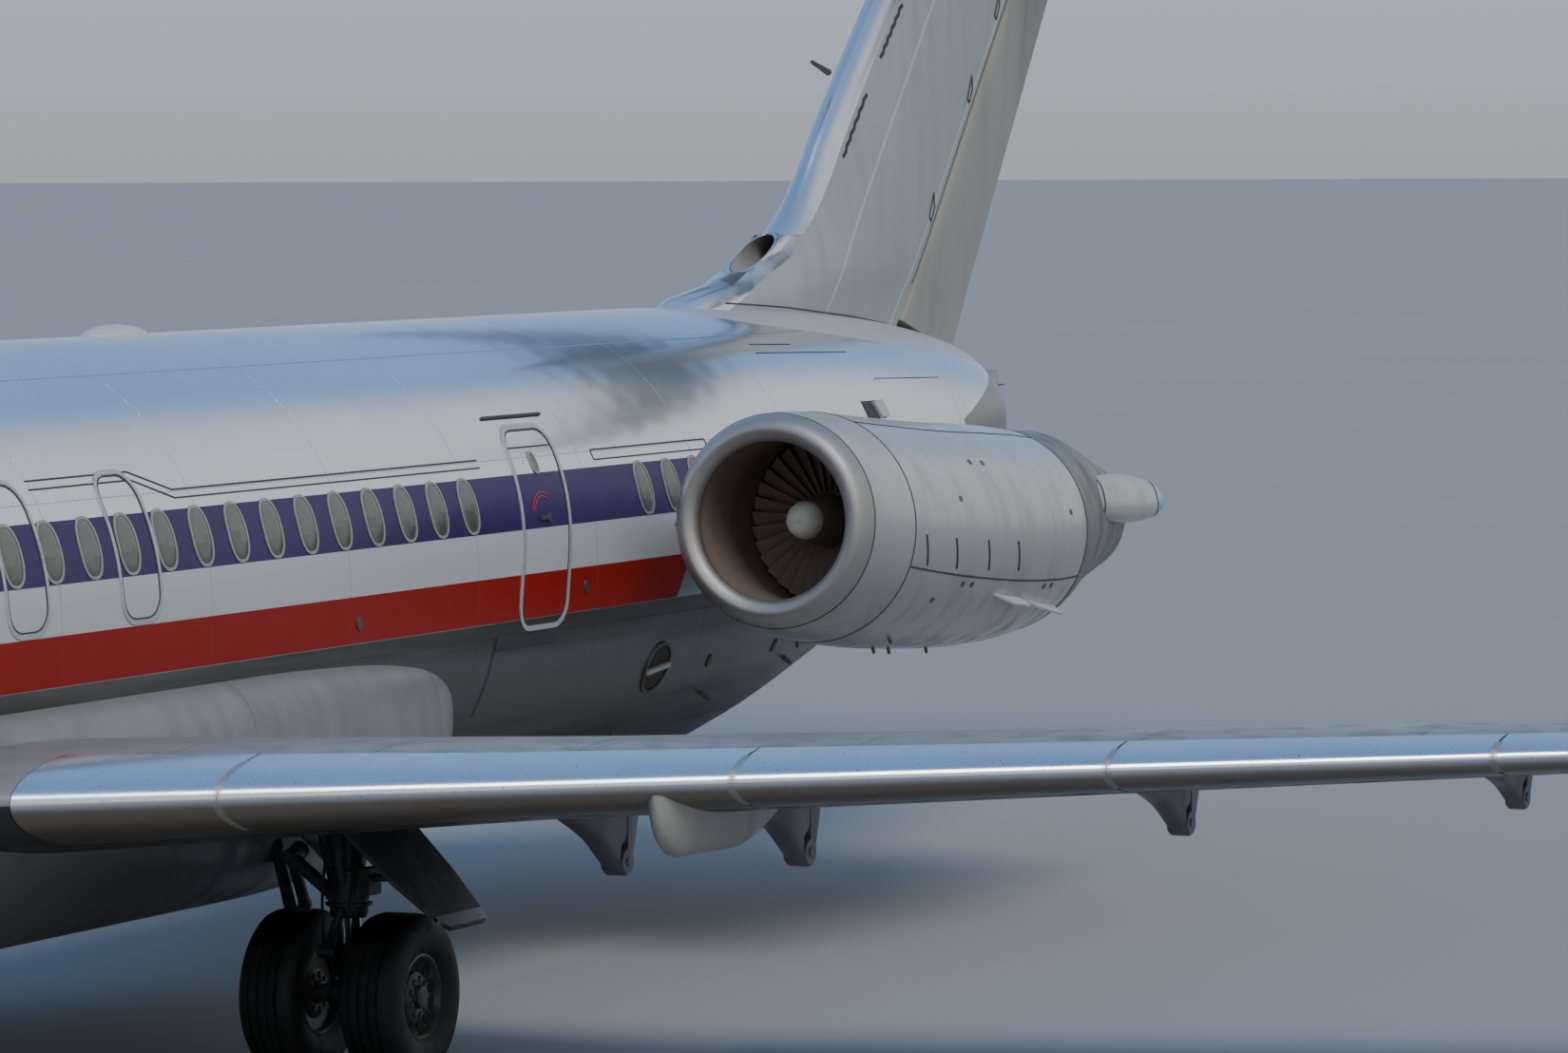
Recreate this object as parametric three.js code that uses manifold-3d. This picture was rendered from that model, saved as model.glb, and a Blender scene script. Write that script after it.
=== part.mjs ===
// Twin-jet narrow-body airliner with a T-tail and rear-mounted engines, parked on its gear.
// Sizes are the full-size aircraft's, in millimetres. The group is scaled to a 1:2 model at the end.
// Frame: +X to the nose, +Y to port, +Z up, origin on the ground under the middle of the length.
// s is a station: millimetres aft of the nose tip. y is to port and z is up from the ground.
import * as THREE from 'three';
import { mergeVertices } from 'three/addons/utils/BufferGeometryUtils.js';
import Module from 'manifold-3d';

const wasm = await Module();
wasm.setup();

// Driving dimensions
const MODEL_SCALE = 0.5;
const LENGTH = 45060;
const HALF_LENGTH = LENGTH / 2;
const SEAT = 0.8;
const GAP = 12;
const HINGE_RUN = 0.6;
const PORT = 1;
const STARBOARD = -1;
const SIDES = [{ name: 'left', sign: PORT }, { name: 'right', sign: STARBOARD }];
const BAR_SIDES = 8;
const ENGINE_SEGMENTS = 24;
const NOSE_WHEEL_SEGMENTS = 16;
const WHEEL_SEGMENTS = 24;
const HUB_SEGMENTS = 12;
const BARREL_SIDES = 16;

const COLOURS = {
  skin: { color: 0xb9bec6, roughness: 0.3, metalness: 0.9 },
  paint: { color: 0xb4b9b8, roughness: 0.45, metalness: 0.1 },
  lip: { color: 0xa6a5a0, roughness: 0.4, metalness: 0.9 },
  dark: { color: 0x2c2b2a, roughness: 0.7, metalness: 0.3 },
  steel: { color: 0x77787a, roughness: 0.4, metalness: 0.8 },
  tyre: { color: 0x18181a, roughness: 0.9, metalness: 0.0 },
  glass: { color: 0x20262c, roughness: 0.1, metalness: 0.0 },
};

// Basic tools: points, solids, and boolean cuts

const at = (s, y, z) => new THREE.Vector3(HALF_LENGTH - s, y, z);
const lerp = THREE.MathUtils.lerp;
const radians = THREE.MathUtils.degToRad;

function toSolid(geometry) {
  const bare = geometry.index ? geometry.clone() : geometry;
  bare.deleteAttribute('normal');
  bare.deleteAttribute('uv');
  const merged = mergeVertices(bare, 1e-3);
  const mesh = new wasm.Mesh({
    numProp: 3,
    vertProperties: new Float32Array(merged.attributes.position.array),
    triVerts: new Uint32Array(merged.index.array),
  });
  return new wasm.Manifold(mesh);
}

function toGeometry(manifold) {
  const mesh = manifold.getMesh();
  const geometry = new THREE.BufferGeometry();
  geometry.setAttribute('position', new THREE.BufferAttribute(new Float32Array(mesh.vertProperties), 3));
  geometry.setIndex(new THREE.BufferAttribute(new Uint32Array(mesh.triVerts), 1));
  geometry.computeVertexNormals();
  return geometry;
}

function largest(manifold) {
  const pieces = manifold.decompose();
  return pieces.reduce((best, piece) => (piece.volume() > best.volume() ? piece : best));
}

// A closed solid through rings that hold the same number of points. A ring of one point is an apex.
function loft(rings) {
  const points = rings.flat();
  const index = [];
  let start = 0;
  for (let i = 0; i + 1 < rings.length; i += 1) {
    const here = rings[i].length;
    const next = rings[i + 1].length;
    const count = Math.max(here, next);
    for (let j = 0; j < count; j += 1) {
      const k = (j + 1) % count;
      const a = start + (here === 1 ? 0 : j);
      const b = start + (here === 1 ? 0 : k);
      const c = start + here + (next === 1 ? 0 : j);
      const d = start + here + (next === 1 ? 0 : k);
      if (here > 1) index.push(a, b, d);
      if (next > 1) index.push(a, d, c);
    }
    start += here;
  }
  const ends = [{ ring: rings[0], offset: 0, flip: true }, { ring: rings.at(-1), offset: start, flip: false }];
  for (const { ring, offset, flip } of ends) {
    if (ring.length === 1) continue;
    const centre = ring.reduce((sum, p) => sum.add(p), new THREE.Vector3()).divideScalar(ring.length);
    const hub = points.push(centre) - 1;
    ring.forEach((_, j) => {
      const k = (j + 1) % ring.length;
      index.push(...(flip ? [hub, offset + k, offset + j] : [hub, offset + j, offset + k]));
    });
  }
  const geometry = new THREE.BufferGeometry().setFromPoints(points);
  geometry.setIndex(index);
  const solid = toSolid(geometry);
  if (solid.volume() > 0) return solid;
  geometry.setIndex(index.reverse());
  return toSolid(geometry);
}

function box(s0, s1, y0, y1, z0, z1) {
  const geometry = new THREE.BoxGeometry(s1 - s0, Math.abs(y1 - y0), z1 - z0);
  geometry.translate(HALF_LENGTH - (s0 + s1) / 2, (y0 + y1) / 2, (z0 + z1) / 2);
  return toSolid(geometry);
}

// A round bar between two points, with its own radius at each end
function bar(from, to, radius, endRadius = radius, sides = BAR_SIDES) {
  const axis = to.clone().sub(from);
  const geometry = new THREE.CylinderGeometry(endRadius, radius, axis.length(), sides);
  const along = axis.clone().normalize();
  geometry.applyQuaternion(new THREE.Quaternion().setFromUnitVectors(new THREE.Vector3(0, 1, 0), along));
  geometry.translate(...from.clone().add(to).multiplyScalar(0.5));
  return toSolid(geometry);
}

// A side-view outline in (s, z), made solid between y0 and y1
function sidePlate(outline, y0, y1) {
  const ring = (y) => outline.map(([s, z]) => at(s, y, z));
  return loft([ring(y0), ring(y1)]);
}

// A body of revolution about a line along the aircraft, from a closed profile of [distance aft, radius]
function turned(profile, segments = ENGINE_SEGMENTS) {
  const outline = profile.map(([aft, radius]) => new THREE.Vector2(radius, aft));
  if (profile[0][1] > 0) outline.push(outline[0].clone());
  const geometry = new THREE.LatheGeometry(outline, segments);
  geometry.rotateZ(Math.PI / 2);
  const solid = toSolid(geometry);
  if (solid.volume() > 0) return solid;
  const flipped = mergeVertices(geometry, 1e-3);
  flipped.setIndex(Array.from(flipped.index.array).reverse());
  return toSolid(flipped);
}

const mirrorY = (solid) => solid.mirror([0, 1, 0]);
const onSide = (solid, sign) => (sign === PORT ? solid : mirrorY(solid));
const union = (solids) => solids.reduce((sum, solid) => sum.add(solid));
const cut = (solid, cutters) => cutters.reduce((rest, cutter) => rest.subtract(cutter), solid);

// The room that a seated neighbour leaves: the solid, grown by the seat gap each way
const SHIFTS = [[SEAT, 0, 0], [-SEAT, 0, 0], [0, 0, SEAT], [0, 0, -SEAT], [0, SEAT, 0], [0, -SEAT, 0]];
const seatRoom = (solid) => union(SHIFTS.map((shift) => solid.translate(shift)));

// A hole that a pin of the same number of sides can turn in: its flats clear the pin's corners
const runningRadius = (radius, sides = BAR_SIDES) => (radius + HINGE_RUN) / Math.cos(Math.PI / sides);

const aircraft = new THREE.Group();

function addPiece(name, solid, look) {
  const mesh = new THREE.Mesh(toGeometry(solid), new THREE.MeshStandardMaterial(COLOURS[look]));
  mesh.name = name;
  aircraft.add(mesh);
}

// Fuselage: a double bubble whose two lobes are joined by a short straight side

const FUSELAGE_POINTS = 36;
const SIDE_FLAT = 0.043;
const RADOME_END = 1450;
const CABIN_START = 6500;
const TAIL_CONE_START = 39700;
// columns: station, crown height, belly height, half width
const FUSELAGE_SECTIONS = [
  [60, 2560, 2240, 200],
  [250, 2740, 2030, 420],
  [650, 2980, 1770, 690],
  [RADOME_END, 3290, 1470, 1040],
  [2050, 3480, 1320, 1215],
  [2500, 3790, 1240, 1325],
  [2950, 4080, 1180, 1420],
  [3600, 4350, 1110, 1530],
  [4400, 4540, 1070, 1615],
  [5400, 4640, 1050, 1660],
  [CABIN_START, 4650, 1050, 1670],
  [31200, 4650, 1050, 1670],
  [32600, 4650, 1120, 1655],
  [34000, 4650, 1300, 1600],
  [35400, 4630, 1590, 1500],
  [36800, 4590, 1920, 1350],
  [38200, 4500, 2270, 1150],
  [TAIL_CONE_START, 4330, 2660, 880],
  [40600, 4130, 2880, 600],
  [41100, 4000, 3020, 360],
  [41870, 3940, 3200, 30],
];

function fuselageRing([s, crown, belly, halfWidth], inset) {
  const middle = (crown + belly) / 2;
  const flat = SIDE_FLAT * (crown - belly);
  const rise = (crown - belly) / 2 - flat - inset;
  const ring = [];
  for (let i = 0; i < FUSELAGE_POINTS; i += 1) {
    const angle = ((i + 0.5) / FUSELAGE_POINTS) * 2 * Math.PI;
    const side = Math.sign(Math.sin(angle));
    ring.push(at(s, (halfWidth - inset) * Math.cos(angle), middle + side * flat + rise * Math.sin(angle)));
  }
  return ring;
}

function fuselageBody(inset) {
  const nose = new THREE.Vector3(HALF_LENGTH - inset, 0, 2400);
  return loft([[nose], ...FUSELAGE_SECTIONS.map((row) => fuselageRing(row, inset))]);
}

const hull = fuselageBody(0);
const hullClear = fuselageBody(-SEAT);
const DOOR_THICKNESS = 70;
const hullInner = fuselageBody(DOOR_THICKNESS);
const hullInnerClear = fuselageBody(DOOR_THICKNESS + SEAT);
const slab = (s0, s1) => box(s0, s1, -8000, 8000, -200, 9000);

// Doors and hatches in the skin. A swinging one turns on a long hinge barrel let into its edge.
// columns: node, side, forward and aft stations, sill and head heights, corner radius
const PANELS = [
  { node: 'entry_door_left', side: PORT, s0: 4350, s1: 5210, z0: 2300, z1: 4130, corner: 130 },
  { node: 'service_door_right', side: STARBOARD, s0: 4450, s1: 5150, z0: 2330, z1: 3900, corner: 130 },
  { node: 'service_door_aft_left', side: PORT, s0: 28690, s1: 29380, z0: 2500, z1: 3950, corner: 200 },
  { node: 'exit_forward_left', side: PORT, s0: 21560, s1: 22070, z0: 2940, z1: 3870, corner: 180 },
  { node: 'exit_aft_left', side: PORT, s0: 22980, s1: 23490, z0: 2940, z1: 3870, corner: 180 },
  { node: 'exit_forward_right', side: STARBOARD, s0: 21560, s1: 22070, z0: 2940, z1: 3870, corner: 180 },
  { node: 'exit_aft_right', side: STARBOARD, s0: 22980, s1: 23490, z0: 2940, z1: 3870, corner: 180 },
];
const CARGO_DOORS = [
  { node: 'cargo_door_forward', side: STARBOARD, s0: 8300, s1: 9640, z0: 1330, z1: 2190, corner: 100 },
  { node: 'cargo_door_aft', side: STARBOARD, s0: 28150, s1: 29200, z0: 1330, z1: 2190, corner: 100 },
];
const HINGE_RADIUS = 24;
const hingeBarrel = (from, to) => bar(from, to, HINGE_RADIUS, HINGE_RADIUS, BARREL_SIDES);
const BARREL_ROOM = runningRadius(HINGE_RADIUS, BARREL_SIDES);
const barrelRoom = (from, to) => bar(from, to, BARREL_ROOM, BARREL_ROOM, BARREL_SIDES);
const CARGO_HINGE_Z = CARGO_DOORS[0].z1;
const cargoHingeY = fuselageHalfWidthAt(CARGO_HINGE_Z);

// Half width of the constant part of the fuselage, below its short straight side
function fuselageHalfWidthAt(z) {
  const [, crown, belly, halfWidth] = FUSELAGE_SECTIONS.find(([s]) => s === CABIN_START);
  const flat = SIDE_FLAT * (crown - belly);
  const rise = (crown - belly) / 2 - flat;
  const drop = Math.max(0, (crown + belly) / 2 - flat - z);
  return halfWidth * Math.sqrt(1 - (drop / rise) ** 2);
}

// The prism of a door's outline with rounded corners, grown by a margin, on its side of the fuselage
function doorPrism({ side, s0, s1, z0, z1, corner }, margin) {
  const shape = [];
  const radius = corner + margin;
  const corners = [
    [s1 - corner, z1 - corner, 0],
    [s0 + corner, z1 - corner, 90],
    [s0 + corner, z0 + corner, 180],
    [s1 - corner, z0 + corner, 270],
  ];
  for (const [s, z, start] of corners) {
    for (const turn of [0, 30, 60, 90]) {
      const angle = radians(start + turn);
      shape.push([s + radius * Math.cos(angle), z + radius * Math.sin(angle)]);
    }
  }
  return sidePlate(shape, side * 300, side * 2200);
}

const doorCutters = [];
const doorSolids = [];
for (const door of PANELS) {
  doorSolids.push({ node: door.node, solid: hull.subtract(hullInner).intersect(doorPrism(door, 0)) });
  doorCutters.push(doorPrism(door, SEAT).subtract(hullInnerClear));
}
for (const door of CARGO_DOORS) {
  const y = door.side * cargoHingeY;
  const ends = [door.s0 + door.corner, door.s1 - door.corner];
  const barrel = hingeBarrel(at(ends[0], y, CARGO_HINGE_Z), at(ends[1], y, CARGO_HINGE_Z));
  const socket = barrelRoom(at(ends[0] - GAP, y, CARGO_HINGE_Z), at(ends[1] + GAP, y, CARGO_HINGE_Z));
  const lid = hull.subtract(hullInner).intersect(doorPrism({ ...door, z1: door.z1 - GAP }, 0));
  doorSolids.push({ node: door.node, solid: lid.add(barrel) });
  doorCutters.push(doorPrism(door, GAP).subtract(fuselageBody(DOOR_THICKNESS + GAP)));
  doorCutters.push(socket);
}

// Ventral stair under the tail, hinged at its forward edge
const STAIR = { s0: 34200, s1: 37300, halfWidth: 430, thickness: 90, hingeZ: 1346, hingeHalf: 200 };
const stairShell = hull.subtract(fuselageBody(STAIR.thickness));
const STAIR_ROOM = { bottom: 800, top: 2400 };
const stairPanel = stairShell.intersect(
  box(STAIR.s0, STAIR.s1, -STAIR.halfWidth, STAIR.halfWidth, STAIR_ROOM.bottom, STAIR_ROOM.top),
);
const stairHinge = (half) => [at(STAIR.s0, -half, STAIR.hingeZ), at(STAIR.s0, half, STAIR.hingeZ)];
doorSolids.push({ node: 'ventral_stair', solid: stairPanel.add(hingeBarrel(...stairHinge(STAIR.hingeHalf))) });
const stairRoomHalf = STAIR.halfWidth + GAP;
const stairPocket = box(
  STAIR.s0 - GAP, STAIR.s1 + GAP, -stairRoomHalf, stairRoomHalf, STAIR_ROOM.bottom, STAIR_ROOM.top,
).subtract(fuselageBody(STAIR.thickness + GAP));
doorCutters.push(stairPocket);
doorCutters.push(barrelRoom(...stairHinge(STAIR.hingeHalf + GAP)));

// Cockpit glazing: one wrap-round block in the nose, seen as the windscreen and side windows
const glazingOutline = (margin) => [
  [2060 - margin, 3440 - margin],
  [3700 + margin, 3500 - margin],
  [3620 + margin, 3960 + margin],
  [2940 + margin, 4010 + margin],
  [2900 + margin, 4400],
  [2040 - margin, 4400],
];
const glazingCutter = sidePlate(glazingOutline(SEAT), -2000, 2000);
const glazing = hull.intersect(sidePlate(glazingOutline(0), -2000, 2000));

// Wing: straight leading edge, trailing edge with a kink, thin cambered section

const SPAN_HALF = 16430;
const KINK_Y = 4750;
const WING_ROOT_Y = 1100;
const LEADING_EDGE_SLOPE = 0.516;
const LEADING_EDGE_S = 19200;
const wingLeadingS = (y) => LEADING_EDGE_S + LEADING_EDGE_SLOPE * y;
const TRAILING_ROOT_S = 26000;
const TRAILING_KINK_S = 25720;
const TRAILING_TIP_S = 28780;
const BODY_SIDE_Y = 1670;

function wingTrailingS(y) {
  if (y > KINK_Y) {
    return lerp(TRAILING_KINK_S, TRAILING_TIP_S, (y - KINK_Y) / (SPAN_HALF - KINK_Y));
  }
  return lerp(TRAILING_ROOT_S, TRAILING_KINK_S, (y - BODY_SIDE_Y) / (KINK_Y - BODY_SIDE_Y));
}

// Height of the leading edge at one place along the span, and its rise towards the tip
const WING_HEIGHT = { y: 3950, z: 2100, slope: 0.024 };
const wingLeadingZ = (y) => WING_HEIGHT.z + WING_HEIGHT.slope * (y - WING_HEIGHT.y);
const INCIDENCE = { root: 4.6, tip: -1.9 };
const wingIncidence = (y) => radians(lerp(INCIDENCE.root, INCIDENCE.tip, y / SPAN_HALF));
const THICKNESS_RATIO = { inner: 0.118, tip: 0.085 };
const wingThickness = (y) => (
  lerp(THICKNESS_RATIO.inner, THICKNESS_RATIO.tip, Math.max(0, y - KINK_Y) / (SPAN_HALF - KINK_Y))
);
const EDGE_HALF = 5;
const CAMBER = 0.01;

function sectionHalf(x, ratio) {
  const body = 0.2969 * Math.sqrt(x) - 0.126 * x - 0.3516 * x ** 2 + 0.2843 * x ** 3 - 0.1036 * x ** 4;
  return 5 * ratio * body;
}

// A point of a wing section: fraction of the chord, and +1 upper or -1 lower surface or 0 the middle line
function sectionPoint(y, fraction, surface) {
  const chord = wingTrailingS(y) - wingLeadingS(y);
  const camber = CAMBER * 4 * fraction * (1 - fraction) * chord;
  const half = sectionHalf(fraction, wingThickness(y)) * chord + EDGE_HALF * fraction;
  const z = wingLeadingZ(y) - Math.tan(wingIncidence(y)) * fraction * chord + camber;
  return at(wingLeadingS(y) + fraction * chord, y, z + surface * half);
}

// The same anywhere along the span: the wing is ruled straight between its root, kink and tip sections
function wingPoint(y, fraction, surface) {
  const [inner, outer] = y > KINK_Y ? [KINK_Y, SPAN_HALF] : [WING_ROOT_Y, KINK_Y];
  const start = sectionPoint(inner, fraction, surface);
  return start.lerp(sectionPoint(outer, fraction, surface), (y - inner) / (outer - inner));
}

const wingFraction = (y, s) => (s - wingLeadingS(y)) / (wingTrailingS(y) - wingLeadingS(y));
const WING_FRACTIONS = [0.005, 0.02, 0.06, 0.12, 0.25, 0.42, 0.6, 0.8, 1];

function wingRing(y) {
  const upper = WING_FRACTIONS.map((f) => wingPoint(y, f, 1)).reverse();
  const lower = WING_FRACTIONS.map((f) => wingPoint(y, f, -1));
  return [...upper, wingPoint(y, 0, 0), ...lower];
}

const TIP_ROUND = [[SPAN_HALF - 130, 1], [SPAN_HALF, 0.35]];
function tipRing(y, squash) {
  const middle = wingPoint(y, 0.5, 0);
  const shorten = lerp(1, squash, 0.35);
  return wingRing(y).map((p) => (
    new THREE.Vector3(lerp(middle.x, p.x, shorten), p.y, lerp(middle.z, p.z, squash))
  ));
}
const wingBody = loft([
  wingRing(WING_ROOT_Y),
  wingRing(KINK_Y),
  ...TIP_ROUND.map(([y, squash]) => tipRing(y, squash)),
]);

// The zone of the wing between two chordwise lines over a stretch of span, as a cutting body
function wingZone(y0, y1, forwardS, aftS, above, below) {
  const rings = [y0, (y0 + y1) / 2, y1].map((y) => {
    const [f0, f1] = [wingFraction(y, forwardS(y)), wingFraction(y, aftS(y))];
    const fractions = [0, 0.25, 0.5, 0.75, 1].map((t) => lerp(f0, f1, t));
    const clamp = (f) => THREE.MathUtils.clamp(f, 0, 1);
    const place = (f, surface, lift) => {
      const p = wingPoint(y, clamp(f), surface);
      return at(lerp(wingLeadingS(y), wingTrailingS(y), f), y, p.z + surface * lift);
    };
    const top = fractions.map((f) => place(f, 1, above));
    const bottom = fractions.map((f) => place(f, -1, below)).reverse();
    return [...top, ...bottom];
  });
  return loft(rings);
}

// Slats: the polished nose of the wing, over most of its span
const SLAT = { y0: 2330, y1: 16050, depth: 0.115 };
const slatLine = (offset) => (y) => (
  wingLeadingS(y) + SLAT.depth * (wingTrailingS(y) - wingLeadingS(y)) + offset
);
const ahead = (y) => wingLeadingS(y) - 200;
const slatZone = wingZone(SLAT.y0, SLAT.y1, ahead, slatLine(0), 300, 300);
const slatZoneClear = wingZone(SLAT.y0 - SEAT, SLAT.y1 + SEAT, ahead, slatLine(SEAT), 300, 300);

// Trailing-edge surfaces. Each turns about a hinge line given by two points.
// A surface hinged inside the wing has a round nose about its hinge line.
const FLAPS = [
  { node: 'flap_inboard', y0: 2010, y1: 4690, chord0: 1200, chord1: 1120, innerGap: 60 },
  { node: 'flap_outboard', y0: 4870, y1: 10350, chord0: 1120, chord1: 790, innerGap: 130 },
];
const FLAP_SIDE_GAP = 60;
const NOSE_SHARE = 0.11;
const AILERON = { node: 'aileron', y0: 10600, y1: 15350, chord0: 640, chord1: 380, innerGap: 60 };
const chordAt = (flap, y) => lerp(flap.chord0, flap.chord1, (y - flap.y0) / (flap.y1 - flap.y0));
const noseLine = (flap, offset) => (y) => wingTrailingS(y) - chordAt(flap, y) + offset;
const behind = (y) => wingTrailingS(y) + 300;

// A flap or aileron: the rear of the wing section with a rounded nose
function trailingSurface(flap) {
  const rings = [flap.y0, flap.y1].map((y) => {
    const nose = wingFraction(y, noseLine(flap, 0)(y));
    const shoulder = wingFraction(y, noseLine(flap, NOSE_SHARE * chordAt(flap, y))(y));
    const lead = wingPoint(y, nose, 0);
    const upperShoulder = wingPoint(y, shoulder, 1);
    const lowerShoulder = wingPoint(y, shoulder, -1);
    const roundedNose = (corner) => (
      new THREE.Vector3(lerp(lead.x, corner.x, 0.35), y, lerp(lead.z, corner.z, 0.72))
    );
    const upperNose = roundedNose(upperShoulder);
    const lowerNose = roundedNose(lowerShoulder);
    const rear = [0.35, 0.65, 1].map((t) => lerp(shoulder, 1, t));
    const upper = rear.map((f) => wingPoint(y, f, 1)).reverse();
    const lower = rear.map((f) => wingPoint(y, f, -1));
    return [...upper, upperShoulder, upperNose, lead, lowerNose, lowerShoulder, ...lower];
  });
  return loft(rings);
}

// Flap-hinge fairings: thin blades under the wing, like an inverted fin, each ending in a low pivot
// columns: y of the blade, flap it carries, blade half thickness, radius of its round tip
const BLADES = [
  { y: 2160, flap: 0, half: 60, boss: 75 },
  { y: 4150, flap: 0, half: 78, boss: 95 },
  { y: 5350, flap: 1, half: 78, boss: 95 },
  { y: 7650, flap: 1, half: 70, boss: 85 },
  { y: 9650, flap: 1, half: 62, boss: 80 },
];
// Hinge line of each flap, through two points: columns y, distance aft of the flap nose, z
const FLAP_HINGES = [
  [{ y: 2160, aft: 120, z: 1330 }, { y: 4150, aft: 250, z: 1380 }],
  [{ y: 5350, aft: 230, z: 1470 }, { y: 9650, aft: 70, z: 1850 }],
];

function flapHingePoint(flapIndex, y) {
  const flap = FLAPS[flapIndex];
  const [a, b] = FLAP_HINGES[flapIndex];
  const t = (y - a.y) / (b.y - a.y);
  const start = at(noseLine(flap, a.aft)(a.y), a.y, a.z);
  const end = at(noseLine(flap, b.aft)(b.y), b.y, b.z);
  return start.lerp(end, t);
}

const flapHingeDirection = (flapIndex) => {
  const [a, b] = FLAP_HINGES[flapIndex];
  return flapHingePoint(flapIndex, b.y).sub(flapHingePoint(flapIndex, a.y)).normalize();
};

// Everything about one pivot, in a frame whose Y is the hinge line and whose X points forward
const PIVOT = { pin: 26, lug: 22, side: 10, facets: 12 };

function inPivotFrame(solid, blade) {
  const yAxis = flapHingeDirection(blade.flap);
  const xAxis = yAxis.clone().cross(new THREE.Vector3(0, 0, 1)).normalize();
  const zAxis = xAxis.clone().cross(yAxis);
  const matrix = new THREE.Matrix4().makeBasis(xAxis, yAxis, zAxis);
  matrix.setPosition(flapHingePoint(blade.flap, blade.y));
  return solid.transform(matrix.elements);
}

function localBox(x0, x1, y0, y1, z0, z1) {
  const geometry = new THREE.BoxGeometry(x1 - x0, y1 - y0, z1 - z0);
  geometry.translate((x0 + x1) / 2, (y0 + y1) / 2, (z0 + z1) / 2);
  return toSolid(geometry);
}

const localBar = (radius, y0, y1) => (
  bar(new THREE.Vector3(0, y0, 0), new THREE.Vector3(0, y1, 0), radius, radius, PIVOT.facets)
);

// The blade's side outline: a hollow-curved front slope, a round tip about the pivot
// and a near-vertical aft edge
function bladeBody(blade) {
  const flap = FLAPS[blade.flap];
  const pivot = flapHingePoint(blade.flap, blade.y);
  const pivotS = HALF_LENGTH - pivot.x;
  const topZ = (s) => wingPoint(blade.y, wingFraction(blade.y, s), 0).z;
  const frontS = noseLine(flap, -1050)(blade.y);
  const aftS = pivotS + 240;
  const depth = topZ(frontS) - pivot.z;
  const outline = [
    [frontS, topZ(frontS)],
    [frontS, topZ(frontS) - 0.2 * depth],
    [lerp(frontS, pivotS, 0.35), topZ(frontS) - 0.5 * depth],
    [lerp(frontS, pivotS, 0.68), topZ(frontS) - 0.74 * depth],
    [pivotS - 0.85 * blade.boss, pivot.z],
    [pivotS + 0.9 * blade.boss, pivot.z],
    [pivotS + 0.9 * blade.boss + 60, pivot.z + 150],
    [aftS, topZ(aftS)],
  ];
  const tip = inPivotFrame(localBar(blade.boss, -blade.half, blade.half), blade);
  return sidePlate(outline, blade.y - blade.half, blade.y + blade.half).add(tip);
}

function bladeParts(blade) {
  const body = bladeBody(blade);
  const { boss, half } = blade;
  const wide = 900;
  const lugHalf = PIVOT.lug;
  const forkInner = PIVOT.lug + PIVOT.side;
  const bossClear = (boss + GAP) / Math.cos(Math.PI / PIVOT.facets);
  const frame = (solid) => inPivotFrame(solid, blade);
  const aftZone = frame(localBox(-3000, 0, -wide, wide, -3000, 3000).add(localBar(boss, -wide, wide)));
  const aheadBox = localBox(GAP, 3000, -wide, wide, -3000, 3000);
  const aheadZone = frame(aheadBox.subtract(localBar(bossClear, -wide, wide)));
  const lugBar = localBar(boss * 0.8, -lugHalf, lugHalf);
  const neck = localBox(0, bossClear + 60, -lugHalf, lugHalf, -boss * 0.3, boss * 0.8);
  const lug = frame(lugBar.add(neck));
  const slot = localBox(0, 600, -forkInner, forkInner, -bossClear, bossClear);
  const lugRoom = frame(localBar(bossClear, -forkInner, forkInner).add(slot));
  const pinHole = frame(localBar(runningRadius(PIVOT.pin, PIVOT.facets), -wide, wide));
  const pin = frame(localBar(PIVOT.pin, -half, half));
  return {
    fixed: body.intersect(aheadZone).add(lug).subtract(pinHole),
    moving: body.intersect(aftZone).subtract(lugRoom).add(pin),
  };
}

const blades = BLADES.map((blade) => ({ ...blade, ...bladeParts(blade) }));

// Vortilon: the rounded pod under the leading edge
const VORTILON = { y: 5650, s0: 22150, length: 2180, depth: 400, half: 120 };
function vortilonBody() {
  const { y, s0, length, depth, half } = VORTILON;
  const rings = [0, 0.05, 0.15, 0.5, 0.7, 0.85, 1].map((t) => {
    const s = s0 + t * length;
    const top = wingPoint(y, THREE.MathUtils.clamp(wingFraction(y, s), 0.03, 1), 0).z;
    const full = Math.sqrt(Math.max(0.02, 1 - (1 - Math.min(1, t / 0.15)) ** 2));
    const taper = t > 0.5 ? lerp(1, 0.03, ((t - 0.5) / 0.5) ** 1.6) : 1;
    const ring = [];
    for (let i = 0; i < 8; i += 1) {
      const angle = (i / 8) * 2 * Math.PI;
      const low = Math.sin(angle) < 0 ? depth * full * taper + 60 : 20;
      ring.push(at(s, y + half * full * taper * Math.cos(angle), top + low * Math.sin(angle)));
    }
    return ring;
  });
  return loft(rings);
}

// Jacking pads: round studs with a flat underside, under each wing and behind the nose gear
const JACK_PAD = { radius: 55, stand: 45, wingS: 24050, wingY: 3350, noseS: 3300 };
const padSkin = wingPoint(JACK_PAD.wingY, wingFraction(JACK_PAD.wingY, JACK_PAD.wingS), -1);
const jackPadZ = padSkin.z - JACK_PAD.stand;
const jackPad = (s, y, z, depth) => bar(at(s, y, z), at(s, y, z + depth), JACK_PAD.radius);
const NOSE_PAD_Z = 1100;

// Wheel well: a shallow pocket in the wing's underside around the main leg
const MAIN_GEAR = {
  s: 24320, y: 2540, axleZ: 530, tyreRadius: 530, tyreWidth: 400, spacing: 355, axle: 60,
};
const WELL = { s0: 23950, s1: 24700, y0: 2300, y1: 2900, mouthZ: 900, roofZ: 1890 };
const wellCutter = box(WELL.s0, WELL.s1, WELL.y0, WELL.y1, WELL.mouthZ, WELL.roofZ);

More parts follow.
